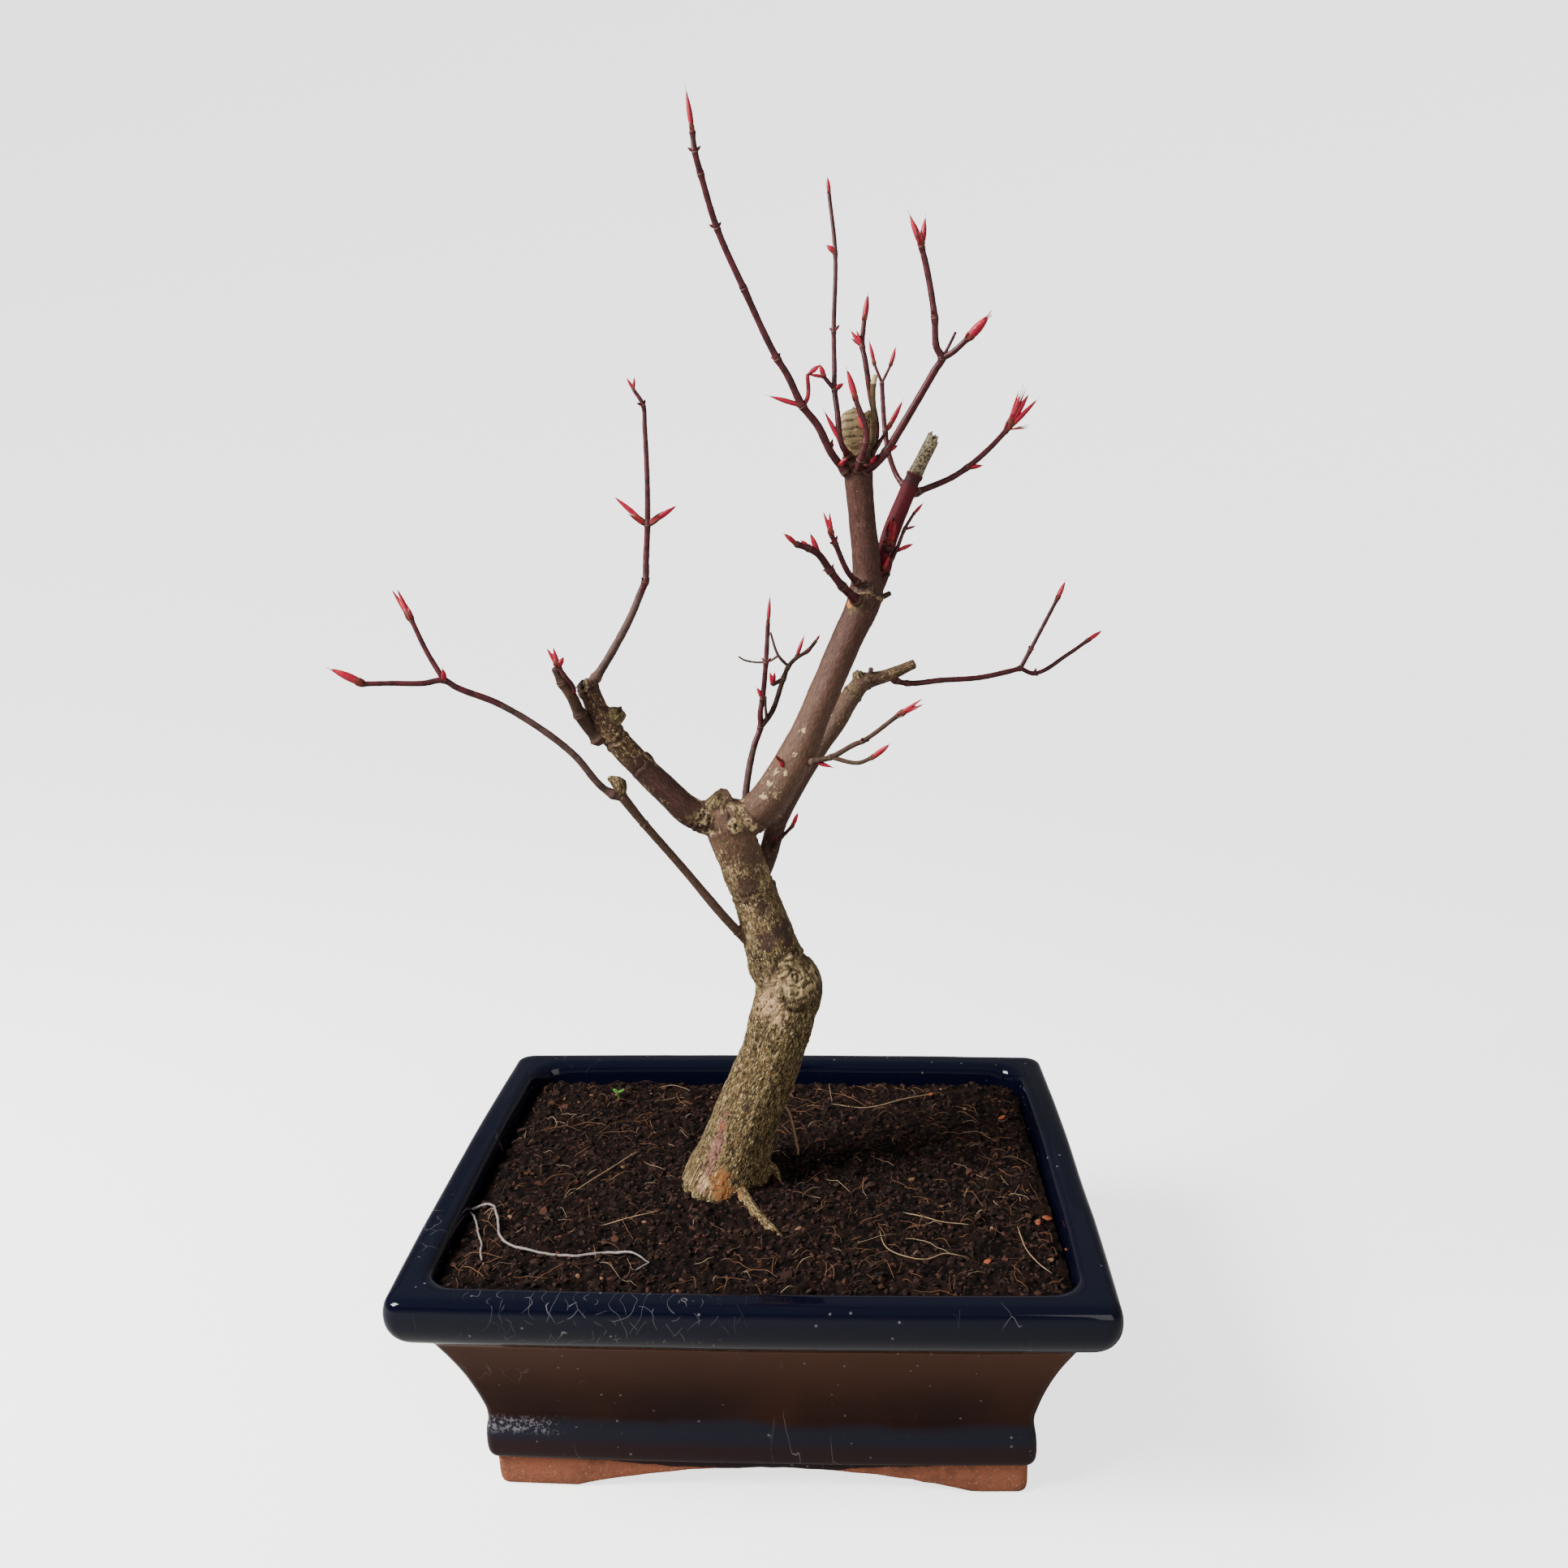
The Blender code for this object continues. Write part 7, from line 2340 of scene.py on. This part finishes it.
def blade_mesh(blade, root, reach, radius, turn):
    """One folded blade of a bud: a flattened tube that leans out to its tip."""
    length = reach.length
    way = reach.normalized()
    outward = way.cross(Vector((0.0, 1.0, 0.0)))
    if outward.length < 0.1:
        outward = way.orthogonal()
    outward.normalize()
    outward.rotate(Matrix.Rotation(math.radians(blade.turn) + turn, 3, way))
    rings = []
    for along, broad in blade.outline:
        ahead = blade.start + blade.length * along
        off = (blade.off * min(1.0, along * 4.0 + 0.35) + blade.splay * along**2) * radius
        place = root + way * length * ahead + outward * off
        lean = 2.0 * blade.splay * along * radius / (blade.length * length)
        tangent = (way + outward * lean).normalized()
        side = tangent.cross(outward).normalized()
        face = side.cross(tangent).normalized()
        size = Matrix.Diagonal((blade.width * broad * radius, blade.thick * broad * radius, 1.0, 1.0))
        turned = Matrix((side, face, tangent)).transposed().to_4x4()
        rings.append(Matrix.Translation(place) @ turned @ size)
    shades = list(blade.shades)[: len(rings)]
    shades += [shades[-1]] * (len(rings) - len(shades))
    return sweep(rings, 8, shades)


def bud_parts(form, root, reach, radius, turn):
    """Meshes of one bud of a named form."""
    return [blade_mesh(blade, root, reach, radius, turn) for blade in BUD_FORMS[form]]


def resting_buds(rng, root, way, turn):
    """A pair of small closed buds on opposite sides of a node."""
    across = way.orthogonal().normalized()
    across.rotate(Matrix.Rotation(turn, 3, way))
    parts = []
    for side in (1, -1):
        length = rng.uniform(*DORMANT_LENGTH)
        reach = (across * side * 0.75 + way * 0.65) * length
        foot = root + across * side * 0.3
        parts += bud_parts("dormant", foot, reach, DORMANT_RADIUS, rng.uniform(0, 3.1))
    return parts


def grow_twig(twig, root, rng, meets, wood, buds):
    """Add the meshes of a twig with its buds and its side twigs to the two lists."""
    points = end_points(root, twig.runs)
    last = len(points) - 1
    stations = twig_stations(twig, points)
    if meets:
        swell_foot(stations, meets)
    wood.append(twig_mesh(twig, stations))
    for station, reach, radius, form in twig.buds:
        buds += bud_parts(form, points[station], Vector(reach), radius, rng.uniform(-0.3, 0.3))
    budded = {station for station, *_ in twig.buds} | {side.at for side in twig.sides}
    turn = rng.uniform(0.0, math.pi)
    for node in twig.nodes:
        turn += math.pi / 2
        if twig.resting and node not in budded and node < last:
            way = (points[node + 1] - points[node]).normalized()
            buds += resting_buds(rng, points[node], way, turn)
    for side in twig.sides:
        grow_twig(side, points[side.at], rng, (), wood, buds)


def skin_material(name, colour, paler, roughness, bloom_share=0.3):
    """Smooth skin of a twig: streaked along, with a grey bloom and small pale pores."""
    material, tree, shader = new_material(name)
    place = object_place(tree)
    cloudy = place.cloud(420.0, 3.0, 0.6)
    shown = layered(
        cloudy.step(0.34, 0.62).blend(Vector(colour) * 0.45, Vector(colour) * 1.35),
        (grouped(mottle_group(), {"Vector": place, "Scale": 150.0, "Contrast": 0.22}), bloom_share, paler),
        (
            grouped(speck_group(), {"Vector": place, "Scale": 1500.0, "Share": 0.10, "Size": 0.30}),
            0.3,
            Vector(paler) * 1.5,
        ),
    )
    inputs = {"Base Color": shown, "Roughness": roughness, "Specular IOR Level": 0.22}
    set_inputs(shader, inputs | {"Normal": cloudy.bump(0.35, 0.00018)})
    return material


def bud_material(name, colour, roughness=0.42, glow=0.12):
    """Soft skin of a young leaf, with fine lengthwise variation."""
    material, tree, shader = new_material(name)
    veins = object_place(tree).stretched((1.0, 1.0, 0.4)).cloud(1500.0, 3.0, 0.6)
    inputs = {
        "Base Color": veins.blend(Vector(colour) * 0.68, Vector(colour) * 1.22),
        "Roughness": roughness,
        "Specular IOR Level": 0.28,
        "Subsurface Weight": glow,
        "Subsurface Radius": (0.0012, 0.0004, 0.0003),
        "Normal": veins.bump(0.4, 0.00012),
    }
    set_inputs(shader, inputs)
    return material


class BONSAI_OT_twigs(bpy.types.Operator):
    """Make every twig with its nodes, and every bud on it"""

    bl_idname = "bonsai.twigs"
    bl_label = "Twigs and Buds"

    def execute(self, context):
        looks = context.scene.bonsai_twigs
        rng = random.Random(SEED)
        wood, buds = [], []
        for twig in SPRAYS.values():
            grow_twig(twig, Vector(twig.start), rng, wooden_lines(twig.meets), wood, buds)
        for twig in NUBS:
            grow_twig(twig, Vector(twig.start), rng, (), wood, buds)
        for form, root, reach, radius in LIMB_BUDS:
            buds += bud_parts(form, Vector(root), Vector(reach), radius, 0.0)
        young = Vector(looks.young)
        grey = Vector(looks.grey)
        skins = [
            skin_material("young_twig", young, (0.090, 0.027, 0.029), 0.40),
            skin_material("grey_twig", grey, (0.135, 0.084, 0.070), 0.65, 0.4),
            skin_material("olive_twig", (0.060, 0.034, 0.014), (0.150, 0.105, 0.050), 0.75, 0.6),
            plain_finish("node_ring", (0.095, 0.050, 0.036), 0.8, 1200.0, 0.55, 0.0002),
            plain_finish("cut_wood", (0.420, 0.320, 0.160), 0.75, 1200.0, 0.4, 0.0002),
            skin_material("brown_twig", (0.031, 0.0155, 0.0105), (0.090, 0.049, 0.028), 0.8, 0.5),
            skin_material("rosy_stalk", (0.230, 0.008, 0.020), (0.300, 0.045, 0.050), 0.42),
        ]
        settle(object_from("twig_wood", join_meshes(wood), skins, 70.0), "twigs", *SPRAYS)
        petals = [
            bud_material("pink_leaf", looks.bud),
            bud_material("crimson_leaf", (0.200, 0.0030, 0.0110)),
            bud_material("rust_scale", (0.130, 0.025, 0.0145), 0.5),
            bud_material("maroon_scale", (0.038, 0.0060, 0.0075), 0.5, 0.0),
            bud_material("coral_leaf", (0.440, 0.028, 0.0190)),
            bud_material("dry_thread", (0.480, 0.250, 0.200), 0.6, 0.0),
        ]
        settle(object_from("buds", join_meshes(buds), petals, 80.0), "twigs")
        return {"FINISHED"}


class StageLooks(bpy.types.PropertyGroup):
    """Light and floor of the picture."""

    key: FloatProperty(
        name="Key Light", description="Power of the soft light above the plant, towards its left",
        default=44.0, min=0.0, unit="POWER",
    )
    fill: FloatProperty(
        name="Fill Light", description="Power of the broad light in front of the plant", default=7.0,
        min=0.0, unit="POWER",
    )
    glow: FloatProperty(
        name="Floor Glow", description="Strength of the floor's own paleness in the picture",
        default=2.2, min=0.0, subtype="FACTOR",
    )
    surround: FloatProperty(
        name="Surround", description="Strength of the pale light from all round", default=0.32, min=0.0,
        subtype="FACTOR",
    )
    floor: FloatVectorProperty(
        name="Floor", description="Colour of the plain pale floor", default=(0.90, 0.895, 0.89), size=3,
        subtype="COLOR",
    )


# Floor, in millimetres: flat out to its radius, then bent up all round.
FLOOR_RADIUS = 600.0
FLOOR_REACH = 1700.0
FLOOR_RISE = 1400.0
FLOOR_STEPS = 40
# Share of the floor's own paleness that its light on the plant has.
FLOOR_BOUNCE = 0.40


def area_light(name, place, target, size, watts, colour):
    """Soft square light that shines at a target."""
    lamp = bpy.data.lights.new(name, "AREA")
    lamp.size = size
    lamp.energy = watts
    lamp.color = colour
    made = bpy.data.objects.new(name, lamp)
    way = Vector(target) - Vector(place)
    made.matrix_world = Matrix.Translation(place) @ way.to_track_quat("-Z", "Y").to_matrix().to_4x4()
    bpy.context.scene.collection.objects.link(made)


def floor_sweep():
    """Round floor whose edge bends up into a low wall all round, in millimetres."""
    sweep_mesh = bmesh.new()
    bmesh.ops.create_circle(sweep_mesh, cap_ends=True, segments=96, radius=FLOOR_RADIUS)
    edges = [edge for edge in sweep_mesh.edges if edge.is_boundary]
    for step in range(1, FLOOR_STEPS + 1):
        share = step / FLOOR_STEPS
        reach = FLOOR_RADIUS + FLOOR_REACH * share
        height = FLOOR_RISE * share**3
        made = bmesh.ops.extrude_edge_only(sweep_mesh, edges=edges)["geom"]
        edges = [item for item in made if isinstance(item, bmesh.types.BMEdge)]
        verts = {item for item in made if isinstance(item, bmesh.types.BMVert)}
        edges = [edge for edge in edges if verts.issuperset(edge.verts)]
        for vert in verts:
            vert.co.xy = vert.co.xy.normalized() * reach
            vert.co.z = height
    return sweep_mesh


class BONSAI_OT_stage(bpy.types.Operator):
    """Set up the camera of the photograph, soft light and a plain floor"""

    bl_idname = "bonsai.stage"
    bl_label = "Stage"

    def execute(self, context):
        looks = context.scene.bonsai_stage
        lens = bpy.data.cameras.new("camera")
        lens.sensor_width = SENSOR_WIDTH
        lens.lens = SENSOR_WIDTH * FOCAL_PIXELS / IMAGE_SIZE
        lens.clip_start = 0.01
        eye = bpy.data.objects.new("camera", lens)
        yaw = Matrix.Rotation(math.radians(-CAMERA_YAW), 4, "Z")
        pitch = Matrix.Rotation(math.radians(90.0 - CAMERA_PITCH), 4, "X")
        roll = Matrix.Rotation(math.radians(CAMERA_ROLL), 4, "Z")
        eye.matrix_world = Matrix.Translation(CAMERA_PLACE) @ yaw @ pitch @ roll
        context.scene.collection.objects.link(eye)
        context.scene.camera = eye
        paper, tree, shader = new_material("floor")
        seen = field(tree, "ShaderNodeLightPath", "Is Camera Ray")
        inputs = {
            "Base Color": seen.blend(Vector(looks.floor) * FLOOR_BOUNCE, looks.floor),
            "Emission Color": seen.blend((0.0, 0.0, 0.0), looks.floor),
            "Emission Strength": looks.glow,
            "Roughness": 0.9,
        }
        set_inputs(shader, inputs)
        object_from("floor", floor_sweep(), [paper], 180.0)
        world = bpy.data.worlds.new("surround")
        world.use_nodes = True
        sky = world.node_tree.nodes["Background"]
        set_inputs(sky, {"Color": (0.86, 0.90, 1.0), "Strength": looks.surround})
        context.scene.world = world
        middle = (0.0, 0.0, 0.18)
        area_light("key_light", (-0.88, -0.40, 0.92), middle, 0.50, looks.key, (1.0, 0.98, 0.95))
        area_light("fill_light", (0.75, -1.10, 0.65), middle, 0.9, looks.fill, (1.0, 0.97, 0.93))
        return {"FINISHED"}


class BONSAI_PT_panel(bpy.types.Panel):
    """Buttons that make each part of the bonsai"""

    bl_idname = "BONSAI_PT_panel"
    bl_label = "Maple Bonsai"
    bl_space_type = "VIEW_3D"
    bl_region_type = "UI"
    bl_category = "Bonsai"

    def draw(self, context):
        for maker in OPERATORS:
            self.layout.operator(maker.bl_idname)
        for label, _ in LOOKS:
            box = self.layout.box()
            looks = getattr(context.scene, label)
            for prop in looks.bl_rna.properties:
                if prop.identifier not in ("rna_type", "name"):
                    box.prop(looks, prop.identifier)


OPERATORS = (
    BONSAI_OT_stage,
    BONSAI_OT_pot,
    BONSAI_OT_soil,
    BONSAI_OT_litter,
    BONSAI_OT_bark,
    BONSAI_OT_twigs,
)
LOOKS = (
    ("bonsai_pot", PotLooks),
    ("bonsai_soil", SoilLooks),
    ("bonsai_bark", BarkLooks),
    ("bonsai_twigs", TwigLooks),
    ("bonsai_stage", StageLooks),
)


def register():
    """Register everything, and seed the noise vectors, which would else differ at each start."""
    noise.seed_set(SEED)
    for label, group in LOOKS:
        bpy.utils.register_class(group)
        setattr(bpy.types.Scene, label, PointerProperty(type=group))
    for maker in (*OPERATORS, BONSAI_PT_panel):
        bpy.utils.register_class(maker)


def unregister():
    """Take away what register added."""
    for maker in (BONSAI_PT_panel, *reversed(OPERATORS)):
        bpy.utils.unregister_class(maker)
    for label, group in reversed(LOOKS):
        delattr(bpy.types.Scene, label)
        bpy.utils.unregister_class(group)


def main():
    """Register the add-on and make every piece."""
    register()
    bpy.ops.bonsai.stage()
    bpy.ops.bonsai.pot()
    bpy.ops.bonsai.soil()
    bpy.ops.bonsai.litter()
    bpy.ops.bonsai.bark()
    bpy.ops.bonsai.twigs()


if __name__ == "__main__":
    main()
